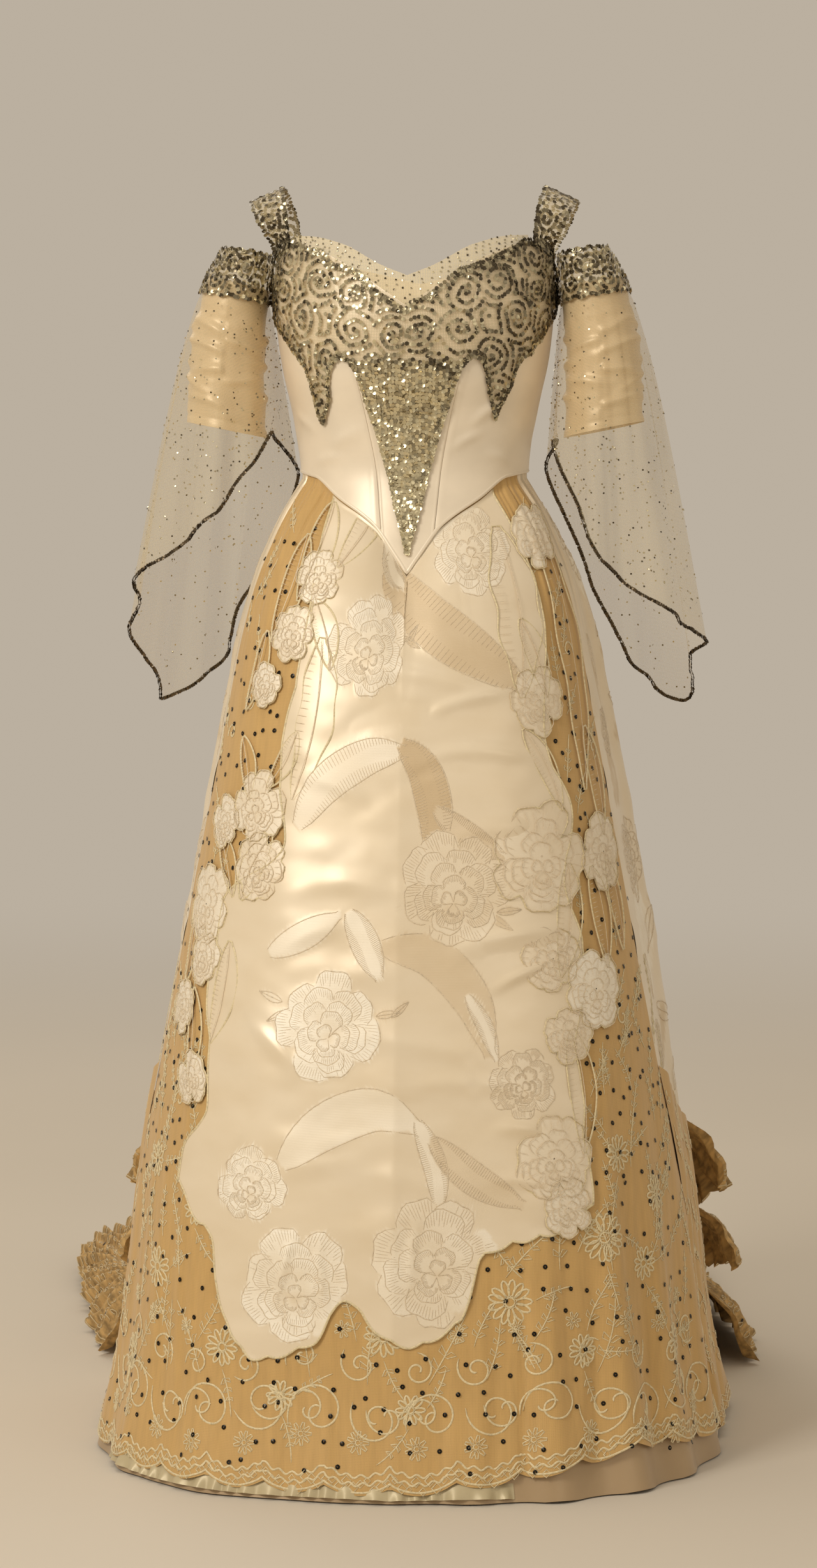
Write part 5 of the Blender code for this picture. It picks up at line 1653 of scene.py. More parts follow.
class GOWN_OT_straps(bpy.types.Operator):
    """Makes the two shoulder straps of sequin lace"""

    bl_idname = "gown.straps"
    bl_label = "Straps"

    def execute(self, context):
        trim = context.scene.gown_trim
        rng = np.random.default_rng(trim.seed + 1)
        for side, word in ((-1, "left"), (1, "right")):
            grid, normal = strap_grid(side, *STRAP_GRID)
            wide, long = 0.040, 0.235
            lengths = np.stack(np.meshgrid(np.linspace(0, wide, 16), np.linspace(0, long, 90)), axis=-1)
            piece = surface(
                f"strap_{word}_net",
                grid,
                grid_faces(*STRAP_GRID),
                cloth_material("lace ground net"),
                cloth=lengths,
            )
            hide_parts(f"strap_{word}")
            place = on_grid(grid, normal, wide, long)
            whorls = [
                Whorl(
                    wide * (0.35 if number % 2 else 0.65), at, 0.0074, 1 if number % 2 else -1, number * 1.3
                )
                for number, at in enumerate(np.arange(0.012, long, 0.024))
            ]
            region = lambda coords: (
                np.abs(coords[:, 0] - wide / 2) < wide / 2 - 0.0035
            ) & (coords[:, 1] > 0.003) & (coords[:, 1] < long - 0.003)
            spots = [whorl_rows(whorls, region, trim.paillette_spacing)]
            down = np.linspace(0.001, long - 0.001, 300)
            for across in (0.0012, wide - 0.0012):
                edge = np.stack([across + 0.0008 * np.sin(down * 500), down], axis=-1)
                spots.append(row_along(edge, trim.paillette_spacing))
            centres, normals = place(np.concatenate(spots), 0.0006)
            points, faces = disc_mesh(centres, normals, trim.paillette / 2, 0.22, rng)
            tone = np.repeat(0.7 * rng.beta(0.9, 1.6, len(centres)), 7)
            sewn_on(
                f"strap_{word}_paillettes",
                [(points, faces)],
                cloth_material("bronze paillette"),
                tone,
            )
        return {"FINISHED"}


def sleeve_cloth(side, top, bottom, lift, rows, columns):
    """A fine tube round the upper arm, on its own side, with its lengths round and down."""
    turns = np.linspace(0, 360, columns, endpoint=False)
    heights = np.linspace(top, bottom, rows)
    rings = [sleeve_ring(height, turns) for height in heights]
    grid = np.array([ring[0] for ring in rings])
    normal = np.array([ring[1] for ring in rings])
    lengths = np.stack(np.meshgrid(turns / 360 * 0.30, heights), axis=-1)
    grid = grid + normal * lift
    if side < 0:
        flip = np.array([-1.0, 1.0, 1.0])
        grid, normal, lengths = grid[:, ::-1] * flip, normal[:, ::-1] * flip, lengths[:, ::-1]
    return grid, normal, lengths


SLEEVE_DRAPES = [
    Crease(0.030, 1.245, 0.060, 0.0050, 12, 0.0034),
    Crease(0.030, 1.222, 0.070, 0.0045, 8, 0.0030),
    Crease(0.010, 1.196, 0.060, 0.0050, -6, 0.0034),
    Crease(0.060, 1.182, 0.060, 0.0040, 14, 0.0028),
    Crease(0.020, 1.160, 0.060, 0.0045, 6, 0.0026),
    Crease(0.085, 1.238, 0.050, 0.0045, -14, 0.0030),
    Crease(0.100, 1.205, 0.055, 0.0050, 10, 0.0030),
    Crease(0.095, 1.168, 0.050, 0.0045, -8, 0.0028),
    Crease(0.150, 1.230, 0.060, 0.0050, 8, 0.0030),
    Crease(0.160, 1.196, 0.060, 0.0045, -10, 0.0030),
    Crease(0.150, 1.162, 0.055, 0.0045, 4, 0.0026),
    Crease(0.215, 1.240, 0.055, 0.0050, -8, 0.0028),
    Crease(0.225, 1.210, 0.060, 0.0045, 8, 0.0030),
    Crease(0.220, 1.176, 0.055, 0.0050, -4, 0.0028),
    Crease(0.275, 1.228, 0.050, 0.0045, 6, 0.0030),
    Crease(0.270, 1.190, 0.050, 0.0050, -12, 0.0030),
]


class GOWN_OT_sleeves(bpy.types.Operator):
    """Makes the ruched satin sleeves and the sequin lace bands over them"""

    bl_idname = "gown.sleeves"
    bl_label = "Satin sleeves"

    def execute(self, context):
        trim = context.scene.gown_trim
        rng = np.random.default_rng(trim.seed + 2)
        for side, word in ((-1, "left"), (1, "right")):
            grid, normal, lengths = sleeve_cloth(
                side, BAND_BOTTOM + NET_RUN, SATIN_SLEEVE_BOTTOM, 0, *SATIN_SLEEVE_GRID
            )
            ease_in = ease(BAND_BOTTOM - lengths[..., 1], 0.0, 0.02) * ease(
                lengths[..., 1] - SATIN_SLEEVE_BOTTOM, 0.0, 0.012
            )
            relief = crease_relief(SLEEVE_DRAPES, lengths[..., 0], lengths[..., 1])
            relief += uneven(lengths[..., 0], lengths[..., 1], 0.045, 0.011, 21 + side) * 0.0012
            ruching = np.clip(relief * 1.5 - 0.0016, -0.0020, 0.0040) * ease_in
            cuff = -0.0007 * np.exp(-(((lengths[..., 1] - SATIN_SLEEVE_BOTTOM - 0.009) / 0.0012) ** 2))
            points = grid + normal * (ruching + cuff)[..., None]
            piece = surface(
                f"sleeve_satin_{word}_cloth",
                points,
                grid_faces(*SATIN_SLEEVE_GRID, True),
                cloth_material("apricot silk satin"),
                cloth=lengths,
            )
            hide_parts(f"sleeve_satin_{word}")
            over = SEAM_GAP + NET + UNDER_BAND + SEQUIN_LACE
            band, band_normal, band_lengths = sleeve_cloth(side, BAND_TOP, BAND_BOTTOM, over, 24, 120)
            edge = 0.0018 * np.abs(np.sin(np.linspace(0, 12 * math.pi, 120)))[None, :]
            fall = np.linspace(1, -1, 24)[:, None]
            band[..., 2] += edge * np.where(fall > 0, 1, -1) * np.abs(fall) ** 6
            piece = surface(
                f"arm_band_{word}_net",
                band,
                grid_faces(24, 120, True),
                cloth_material("lace ground net"),
                cloth=band_lengths,
            )
            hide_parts(f"arm_band_{word}")
            place = on_grid(
                np.concatenate([band, band[:, :1]], axis=1),
                np.concatenate([band_normal, band_normal[:, :1]], axis=1),
                0.30,
                0.055,
            )
            whorls = [
                Whorl(
                    at,
                    0.0275 + (0.010 if number % 2 else -0.010),
                    0.0076,
                    1 if number % 2 else -1,
                    number * 1.7,
                )
                for number, at in enumerate(np.arange(0.010, 0.300, 0.0175))
            ]
            inside = lambda values, low, high: (values > low) & (values < high)
            region = lambda coords: inside(coords[:, 0], 0, 0.30) & inside(coords[:, 1], 0.004, 0.051)
            spots = [whorl_rows(whorls, region, trim.paillette_spacing)]
            round_arm = np.linspace(0, 0.2995, 400)
            for down in (0.0012, 0.0540):
                wavy = np.stack([round_arm, down + 0.0012 * np.sin(round_arm * 380)], axis=-1)
                spots.append(row_along(np.clip(wavy, 0.0002, 0.2999), trim.paillette_spacing))
            centres, normals = place(np.concatenate(spots), 0.0008)
            made = disc_mesh(centres, normals, trim.paillette / 2, 0.24, rng)
            tone = np.repeat(rng.beta(0.9, 1.5, len(centres)), 7)
            sewn_on(
                f"arm_band_{word}_paillettes", [made], cloth_material("bronze paillette"), tone
            )
        return {"FINISHED"}


def net_sleeve_grid(side, columns, rows):
    """The loose net from under the band to its slanting hem, with its flutes and small gathers."""
    turns = np.linspace(0, 360, columns, endpoint=False)
    top, top_normal = sleeve_ring(BAND_BOTTOM + NET_RUN, turns)
    under_band, _ = sleeve_ring(BAND_BOTTOM - NET_BELOW_BAND, turns)
    lift = SEAM_GAP + NET
    top, under_band = top + top_normal * lift, under_band + top_normal * (lift + 0.0002)
    at = column(NET_HEM, "angle")
    hem = np.stack([smooth(turns, at, column(NET_HEM, name)) for name in NetHem._fields[1:]], axis=-1)
    hem[:, 2] -= side * FRONT_HEM_SWAY * np.maximum(np.cos(np.radians(turns - 20)), 0)
    made = [top, under_band]
    for down in np.linspace(0, 1, rows)[1:]:
        straight = mix(under_band, hem, down)
        room = np.clip((straight[:, :1] - BESIDE_BODY) / (OFF_BODY - BESIDE_BODY), LEAST_FLUTE, 1)
        bow = NET_BOW * math.sin(math.pi * down**0.6)
        wave = np.cos(np.radians(turns * NET_FLUTES + 40 * side))
        small = uneven(turns / 9.0, down * np.ones(columns), 1.0, 0.8, 31 + side) * 0.35 * (1 - 0.6 * down)
        small += uneven(turns / 3.6, down * np.ones(columns), 1.0, 0.8, 33 + side) * 0.12
        flute = (wave * down + small * min(1.0, 4 * down))[:, None] * NET_FLUTE_DEPTH
        made.append(straight + top_normal * (bow + flute) * room)
    grid = np.array(made)
    if side < 0:
        grid = grid[:, ::-1] * np.array([-1.0, 1.0, 1.0])
    return grid


class GOWN_OT_net_sleeves(bpy.types.Operator):
    """Makes the sheer net over the sleeves, with its spangles and the braid on its wired hem"""

    bl_idname = "gown.net_sleeves"
    bl_label = "Net sleeves"

    def execute(self, context):
        trim = context.scene.gown_trim
        rng = np.random.default_rng(trim.seed + 3)
        for side, word in ((-1, "left"), (1, "right")):
            columns, rows = 250, 62
            grid = net_sleeve_grid(side, columns, rows)
            steps = np.linalg.norm(np.diff(grid, axis=0), axis=2)
            down = np.concatenate([np.zeros((1, columns)), np.cumsum(steps, axis=0)])
            round_arm = np.linspace(0, 0.85, columns)[None, :] + 0 * down
            lengths = np.stack([round_arm, down], axis=-1)
            piece = surface(
                f"sleeve_net_{word}_cloth",
                grid,
                grid_faces(rows + 1, columns, True),
                cloth_material("sheer silk net"),
                cloth=lengths,
            )
            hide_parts(f"sleeve_net_{word}")
            normal = normals_of(grid, around=True)
            spots = []
            for row in range(3, rows - 1):
                girth = np.sum(np.linalg.norm(np.roll(grid[row], -1, axis=0) - grid[row], axis=1))
                fall = steps[row].mean()
                share = rng.poisson(girth * fall / (trim.spangle_spacing**2) * 1.35)
                spots += [(row, col) for col in rng.integers(0, columns, share)]
            at = np.array(spots)
            centres = grid[at[:, 0], at[:, 1]] + normal[at[:, 0], at[:, 1]] * 0.0006
            points, faces = disc_mesh(centres, normal[at[:, 0], at[:, 1]], trim.spangle / 2, 0.35, rng)
            tone = np.repeat(rng.beta(0.8, 0.8, len(centres)), 7)
            sewn_on(
                f"sleeve_spangles_{word}",
                [(points, faces)],
                cloth_material("bronze paillette"),
                tone,
            )
            edge = np.concatenate([grid[-1], grid[-1][:1]])
            steps_round = np.linalg.norm(np.diff(edge, axis=0), axis=1)
            stations = np.concatenate([[0], np.cumsum(steps_round)])
            beads = np.arange(0, stations[-1] - 0.001, 0.0026)
            centres = np.stack([np.interp(beads, stations, edge[:, k]) for k in range(3)], axis=-1)
            hem_normal = np.concatenate([normal[-1], normal[-1][:1]])
            out = np.stack([np.interp(beads, stations, hem_normal[:, k]) for k in range(3)], axis=-1)
            front = disc_mesh(centres + out * 0.0006, out, 0.0021, 0.30, rng, 6, 0.3)
            back = disc_mesh(centres - out * 0.0006, -out, 0.0021, 0.30, rng, 6, 0.3)
            tone = np.repeat(rng.beta(1.0, 1.3, 2 * len(centres)), 7)
            sewn_on(
                f"sleeve_braid_{word}",
                [front, back],
                cloth_material("bronze sequin braid"),
                tone,
            )
        return {"FINISHED"}


def wedge_mask(coords):
    """Which points of the skirt front lie on bare net, off the brocade."""
    angle, down = front_place(coords[:, 0], coords[:, 1])
    return ~panel_region(angle, down)


def panel_region(angle, down):
    """Which points lie on the brocade panel, whose edges are cut round petals and leaves."""
    left = smooth(down, column(FRONT_LEFT_EDGE, "down"), column(FRONT_LEFT_EDGE, "angle"))
    right = smooth(down, column(FRONT_RIGHT_EDGE, "down"), column(FRONT_RIGHT_EDGE, "angle"))
    lower = smooth(angle, column(FRONT_LOWER_EDGE, "angle"), column(FRONT_LOWER_EDGE, "down"))
    return (angle > left) & (angle < right) & (down < lower)


def panel_edges(share):
    """The brocade panel's left and right angles at each share down, with small petal scallops."""
    left = smooth(share, column(FRONT_LEFT_EDGE, "down"), column(FRONT_LEFT_EDGE, "angle"))
    right = smooth(share, column(FRONT_RIGHT_EDGE, "down"), column(FRONT_RIGHT_EDGE, "angle"))
    petals = 1.1 * np.abs(np.sin(share * 34)) * ease(share, 0.05, 0.2)
    return left - petals + 0.5, right + petals - 0.5


def net_hem_height(angle):
    """How far the net's scalloped hem hangs above the floor."""
    lift = smooth(angle, column(NET_HEM_LIFT, "angle"), column(NET_HEM_LIFT, "down"))
    return lift + 0.006 - 0.011 * np.abs(np.sin(np.radians(angle) * 17)) ** 0.7


def side_angle(down):
    return smooth(down, column(SIDE_SEAM, "down"), column(SIDE_SEAM, "angle"))


def skirt_sheet(rows, columns, first, last):
    """Angles and shares down of the skirt front between two shares down, seam to seam."""
    share = np.linspace(0, 1, rows)[:, None]
    top = np.full(columns, first)
    across = np.linspace(-1, 1, columns)
    bottom = last(across * side_angle(np.array(1.0)))
    down = mix(top[None, :], bottom[None, :], share)
    return side_angle(down) * across[None, :] * 0.9995, down


def flounce_sheet(side, rows, columns):
    """The net's loose side flounce, lapped from the side seam over the brocade back."""
    across = np.linspace(0, 1, columns)[None, :]
    down = mix(0.60 + 0.10 * across, 0.990, np.linspace(0, 1, rows)[:, None])
    angle = side * mix(side_angle(down) - 0.4, FLOUNCE_BACK_EDGE, across)
    normal = skirt_normal(angle, down)
    length = front_length(angle, down)
    pleats = np.abs(uneven(length, down, 0.030, 0.60, 16)) ** 0.7 * ease(down, 0.58, 0.90) * 0.0085
    off_seam = ease(across, 0, 0.12)
    waves = pleats + uneven(length, down, 0.012, 0.4, 17) * 0.0007
    lift = mix(0.0016, FLOUNCE_LIFT, off_seam) + waves * off_seam
    points = skirt_point(angle, down) + normal * lift[..., None]
    points[..., 2] = np.maximum(points[..., 2], FLOOR_CLEARANCE + 0.003)
    return points, normal, np.stack([length, points[..., 2]], axis=-1)


class GOWN_OT_net_skirt(bpy.types.Operator):
    """Makes the embroidered net overskirt, its side flounces and the satin below its hem"""

    bl_idname = "gown.net_skirt"
    bl_label = "Net skirt"

    def execute(self, context):
        rows, columns = 190, 210
        hem = lambda angle: 1 - net_hem_height(angle) / WAIST_SEAM[-1].height
        angle, down = skirt_sheet(rows, columns, -0.008, hem)
        points, _ = net_point(angle, down)
        lengths = np.stack([front_length(angle, np.clip(down, 0, 1)), points[..., 2]], axis=-1)
        net = surface(
            "skirt_net_cloth",
            points,
            grid_faces(rows, columns),
            cloth_material("silk net on satin"),
            cloth=lengths,
        )
        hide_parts("skirt_net")
        rng = np.random.default_rng(context.scene.gown_trim.seed + 8)
        for side, word in ((-1, "left"), (1, "right")):
            points, normal, lengths = flounce_sheet(side, *FLOUNCE_GRID)
            if side < 0:
                points, normal, lengths = points[:, ::-1], normal[:, ::-1], lengths[:, ::-1]
            flounce = surface(
                f"net_flounce_{word}",
                points,
                grid_faces(*FLOUNCE_GRID),
                cloth_material("silk net on satin"),
                cloth=lengths,
            )
            wide = float(np.linalg.norm(np.diff(points, axis=1), axis=2).sum(axis=1).mean())
            deep = float(np.linalg.norm(np.diff(points, axis=0), axis=2).sum(axis=0).mean())
            place = on_grid(points, normal, wide, deep)
            lines = []
            for across in np.arange(0.022, wide - 0.02, 0.036):
                for drop in np.arange(0.05, deep - 0.04, 0.052):
                    x, y = across + rng.uniform(-0.007, 0.007), drop + rng.uniform(-0.01, 0.01)
                    lines += sprig(x, y, rng.uniform(0.030, 0.045), rng.uniform(-2.4, -0.7), rng, 3)
                    if rng.random() < 0.35:
                        lines.append(spiral(x + 0.010, y, 0.012, side, rng.uniform(0, 6), 1.1))
            edge = np.linspace(0.001, wide - 0.001, 160)
            for inset in (0.002, 0.009, 0.015):
                lines.append(
                    np.stack([edge, deep - inset - 0.0015 * np.sin(edge * 420 + inset * 900)], axis=-1)
                )
            inside = lambda line: line[:, 0].min() > 0 and line[:, 0].max() < wide and line[:, 1].max() < deep
            lines = [line for line in lines if inside(line)]
            made = [thread_mesh(lines, lambda coords: place(coords, 0.0006), 0.0012, 0.0006)[:2]]
            sewn_on(
                f"net_flounce_needlework_{word}",
                made,
                cloth_material("cream embroidery silk"),
            )
        angle, down = skirt_sheet(*UNDERSKIRT_GRID, 0.70, lambda at: np.ones(np.shape(at)))
        normal = direction_out(skirt_point, angle, down)
        points = skirt_point(angle, down) - normal * (NET + SEAM_GAP + 0.0004)
        lengths = np.stack([front_length(angle, down), points[..., 2]], axis=-1)
        satin = surface(
            "underskirt_cloth",
            points,
            grid_faces(*UNDERSKIRT_GRID),
            cloth_material("hem silk satin"),
            cloth=lengths,
        )
        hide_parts("underskirt")
        return {"FINISHED"}


def spiral(across, height, radius, winding, turn, turns=1.35):
    """A scroll that starts wide and winds in to its eye."""
    t = np.linspace(0, 1, 34)
    reach = radius * (1 - 0.86 * t**0.8)
    at = turn + winding * turns * 2 * math.pi * t
    return np.stack([across + reach * np.cos(at), height + reach * np.sin(at)], axis=-1)


def daisy(across, height, radius, count, rng):
    """An open flower of looped stitches round an eye."""
    lines = []
    for petal in range(count):
        turn = 2 * math.pi * petal / count + rng.uniform(-0.08, 0.08)
        t = np.linspace(0, 2 * math.pi, 11)
        along = radius * (0.62 - 0.36 * np.cos(t))
        off = radius * 0.15 * np.sin(t)
        x = along * math.cos(turn) - off * math.sin(turn)
        z = along * math.sin(turn) + off * math.cos(turn)
        lines.append(np.stack([across + x, height + z], axis=-1))
    t = np.linspace(0, 2 * math.pi, 12)
    lines.append(np.stack([across + 0.22 * radius * np.cos(t), height + 0.22 * radius * np.sin(t)], axis=-1))
    return lines


def sprig(across, height, length, turn, rng, pairs=4):
    """A curved stem with pairs of small leaves and a bud."""
    t = np.linspace(0, 1, 16)
    bend = rng.uniform(-0.5, 0.5)
    heading = turn + bend * t
    steps = np.stack([np.cos(heading), np.sin(heading)], axis=-1) * length / 15
    stem = np.cumsum(steps, axis=0) + (across, height)
    lines = [stem]
    for pair in range(pairs):
        at = stem[3 + pair * 3]
        for side in (-1, 1):
            out = turn + bend * t[3 + pair * 3] + side * 0.9
            loop = np.linspace(0, 2 * math.pi, 8)
            size = length * 0.16 * (1.1 - 0.5 * pair / pairs)
            along, off = size * (0.5 - 0.5 * np.cos(loop)), size * 0.26 * np.sin(loop)
            x = along * math.cos(out) - off * math.sin(out)
            z = along * math.sin(out) + off * math.cos(out)
            lines.append(np.stack([at[0] + x, at[1] + z], axis=-1))
    return lines


# Bigger flowers of the net, listed one by one; the scrolls along the hem repeat in a loop.
Flower = namedtuple("Flower", "across height radius petals")
NET_FLOWERS = [
    Flower(-0.010, 0.170, 0.021, 12),
    Flower(0.125, 0.205, 0.024, 13),
    Flower(0.105, 0.290, 0.020, 12),
    Flower(0.235, 0.265, 0.026, 14),
    Flower(0.262, 0.350, 0.020, 12),
    Flower(0.300, 0.230, 0.018, 11),
    Flower(0.330, 0.300, 0.020, 12),
    Flower(-0.190, 0.150, 0.020, 12),
    Flower(-0.300, 0.220, 0.022, 12),
    Flower(-0.330, 0.330, 0.019, 11),
    Flower(-0.235, 0.290, 0.017, 10),
    Flower(0.020, 0.095, 0.016, 10),
    Flower(-0.120, 0.105, 0.016, 10),
    Flower(0.205, 0.150, 0.018, 11),
    Flower(0.350, 0.140, 0.020, 12),
    Flower(-0.360, 0.120, 0.020, 12),
]


class GOWN_OT_net_needlework(bpy.types.Operator):
    """Makes the embroidery, the black sequins and the fringed loops of the net overskirt"""

    bl_idname = "gown.net_needlework"
    bl_label = "Net needlework"

    def execute(self, context):
        trim = context.scene.gown_trim
        rng = np.random.default_rng(trim.seed + 4)
        lines, fine = [], []
        for number, across in enumerate(np.arange(-0.45, 0.46, 0.062)):
            way = 1 if number % 2 else -1
            height = 0.088 + rng.uniform(-0.010, 0.012)
            lines.append(spiral(across, height, rng.uniform(0.030, 0.037), way, rng.uniform(2.4, 3.6)))
            lines.append(spiral(across + 0.012 * way, height + 0.002, 0.024, way, rng.uniform(2.4, 3.6), 1.0))
            lines.append(
                spiral(across + 0.043, height + 0.050, rng.uniform(0.018, 0.023), -way, rng.uniform(0, 6))
            )
            fine += daisy(across + 0.043, height - 0.030, 0.013, 9, rng)
            fine += daisy(across + 0.024, height + 0.086, 0.010, 7, rng)
            fine += sprig(
                across - 0.010, height + 0.030, rng.uniform(0.060, 0.085), rng.uniform(1.0, 2.1), rng
            )
            fine += sprig(
                across + 0.040, height + 0.070, rng.uniform(0.050, 0.075), rng.uniform(0.9, 2.2), rng
            )
            fine += sprig(
                across + 0.010, height + 0.135, rng.uniform(0.050, 0.070), rng.uniform(0.6, 2.4), rng
            )
        for flower in NET_FLOWERS:
            lines += daisy(*flower, rng)
            fine += sprig(
                flower.across, flower.height - flower.radius, 0.050, rng.uniform(-2.2, -0.9), rng, 3
            )
            fine += sprig(flower.across + flower.radius, flower.height, 0.045, rng.uniform(-0.4, 0.9), rng, 3)
        for side, low_edge, high_edge in ((-1, 0.40, 1.02), (1, 0.42, 1.0)):
            for height in np.arange(low_edge, high_edge, 0.036):
                angle = side * (44 + rng.uniform(0, 22))
                across = float(front_length(np.array(angle), np.array(1 - height / 1.07)))
                fine += sprig(across, height, rng.uniform(0.035, 0.060), rng.uniform(0.7, 2.4), rng, 3)
                if rng.random() < 0.4:
                    lines.append(spiral(across + 0.012, height, 0.012, side, rng.uniform(0, 6), 1.1))
        for height in (0.25, 0.29, 0.33, 0.37, 0.41, 0.45, 0.49):
            for across in (-0.40, -0.35, -0.30, -0.26, 0.22, 0.26, 0.30, 0.34, 0.38):
                fine += sprig(across + rng.uniform(-0.02, 0.02), height, 0.055, rng.uniform(0.8, 2.3), rng)
        angles = np.linspace(-81, 81, 1300)
        reach = front_length(angles, np.full(len(angles), 0.985))
        for lift, wave in ((0.002, 0.0), (0.010, 1.2), (0.018, 2.2)):
            edge = np.stack([reach, net_hem_height(angles) + lift], axis=-1)
            edge[:, 1] += 0.0018 * np.sin(np.radians(angles) * 160 + wave) * (lift > 0.005)
            lines.append(edge)
        for at in np.arange(8, len(angles) - 8, 9):
            middle = np.array([reach[at], net_hem_height(angles[at]) + rng.uniform(0.002, 0.014)])
            t = np.linspace(0, 2 * math.pi, 9)
            size = rng.uniform(0.0030, 0.0058)
            fine.append(middle + np.stack([size * np.cos(t), size * np.sin(t)], axis=-1))
        seen = lambda line: len(line) > 2 and line[:, 1].min() > 0.004
        lines = [line for line in lines if seen(line)]
        fine = [line for line in fine if seen(line)]
        thick = thread_mesh(lines, on_net, trim.thread * 1.25, 0.0009)[:2]
        thin = thread_mesh(thinned(fine), on_net, trim.thread * 0.85, 0.0006)[:2]
        sewn_on("net_embroidery", [thick, thin], cloth_material("cream embroidery silk"))
        spots = []
        for height in np.arange(0.030, 1.03, 0.0295):
            pitch = trim.sequin_spacing * (0.62 if height > 0.30 else 1.0)
            width = 0.47 - 0.23 * height
            row = np.arange(-width, width, pitch)
            spots.append(
                np.stack([row, np.full(len(row), height)], axis=-1) + rng.normal(0, 0.006, (len(row), 2))
            )
        spots = np.concatenate(spots)
        spots = spots[wedge_mask(spots) & (spots[:, 1] > 0.03)]
        angle, _ = front_place(spots[:, 0], spots[:, 1])
        spots = spots[np.abs(angle) < 80]
        centres, normals = on_net(spots, 0.0012)
        points, faces = ring_mesh(centres, normals, trim.sequin / 2, rng)
        tone = np.repeat(rng.uniform(0, 1, len(centres)), 16)
        sewn_on(
            "net_sequins", [(points, faces)], cloth_material("black faceted sequin"), tone
        )
        return {"FINISHED"}


def on_brocade_only(lines):
    """The lines that lie on the brocade panel from end to end."""
    off = wedge_mask(np.concatenate(lines))
    ends = np.cumsum([len(line) for line in lines])[:-1]
    return [line for line, outside in zip(lines, np.split(off, ends)) if not outside.any()]


class GOWN_OT_brocade_front(bpy.types.Operator):
    """Makes the rose brocade front with its woven roses, scarves and leaves"""

    bl_idname = "gown.brocade_front"
    bl_label = "Brocade front"

    def execute(self, context):
        rows, columns = 236, 156
        share = np.linspace(-0.006, 1, rows)[:, None]
        across = np.linspace(0, 1, columns)[None, :]
        low, high = panel_edges(0.78 + 0 * across)
        guess = mix(low, high, across)
        lower = smooth(guess, column(FRONT_LOWER_EDGE, "angle"), column(FRONT_LOWER_EDGE, "down"))
        lower = lower + 0.0045 * np.abs(np.sin(np.radians(guess) * 32)) - 0.002
        down = share * lower
        left, right = panel_edges(down)
        angle = mix(left, right, across)
        points, normal = brocade_point(angle, down)
        lengths = np.stack([front_length(angle, np.clip(down, 0, 1)), points[..., 2]], axis=-1)
        coords = lengths.reshape(-1, 2)
        tone = motif_tones(coords, FRONT_ROSES, FRONT_SCARVES, FRONT_LEAVES, 40)
        woven = (0.00035 * np.abs(tone)).reshape(rows, columns)
        points = points + normal * woven[..., None]
        piece = surface(
            "skirt_front_cloth",
            points,
            grid_faces(rows, columns),
            cloth_material("rose silk brocade"),
            cloth=lengths,
            tone=tone,
        )
        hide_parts("skirt_front_brocade")
        edges, ribs = [], []
        for number, rose in enumerate(FRONT_ROSES):
            some_edges, some_ribs = rose_lines(rose, np.random.default_rng(40 + number))
            edges += some_edges
            ribs += some_ribs
        covers = [
            rose_petals(rose, np.random.default_rng(40 + n))[k][0]
            for n, rose in enumerate(FRONT_ROSES) for k in range(7)
        ]
        for leaf in FRONT_LEAVES:
            outline, middle = leaf_outline(leaf)
            edges += visible_runs(np.concatenate([outline, outline[:1]]), covers)
            edges += visible_runs(middle, covers)
        for scarf in FRONT_SCARVES:
            left_edge, right_edge = scarf_outline(scarf)
            for edge, other in ((left_edge, right_edge), (right_edge, left_edge)):
                edges += visible_runs(edge, covers)
                if scarf.ribbed:
                    fine_edge, fine_other = curve_through(edge, 46), curve_through(other, 46)
                    for at in range(1, 45):
                        reach = 0.16 + 0.16 * math.sin(math.pi * at / 45) ** 2
                        stroke = mix(fine_edge[at], fine_other[at], np.linspace(0.01, reach, 4)[:, None])
                        ribs += visible_runs(stroke, covers)
        edges, ribs = thinned(on_brocade_only(edges)), on_brocade_only(ribs)
        lift = 0.0004
        place = lambda coords: on_brocade(coords, lift)
        made = [thread_mesh(edges, place, 0.0010, 0.0003)[:2], thread_mesh(ribs, place, 0.0006, 0.0002)[:2]]
        sewn_on("front_weave_lines", made, cloth_material("woven shade silk"))
        rim = np.concatenate([points[:, 0], points[-1], points[::-1, -1]])
        rim_normal = np.concatenate([normal[:, 0], normal[-1], normal[::-1, -1]])
        cord_place = lambda coords: (
            rim[coords[:, 0].astype(int)] + rim_normal[coords[:, 0].astype(int)] * 0.0002,
            rim_normal[coords[:, 0].astype(int)],
        )
        cord = np.stack([np.arange(len(rim), dtype=float), np.zeros(len(rim))], axis=-1)
        sewn_on(
            "front_edge_cord",
            [thread_mesh([cord], cord_place, 0.0024, 0.0012)[:2]],
            cloth_material("cream embroidery silk"),
        )
        return {"FINISHED"}


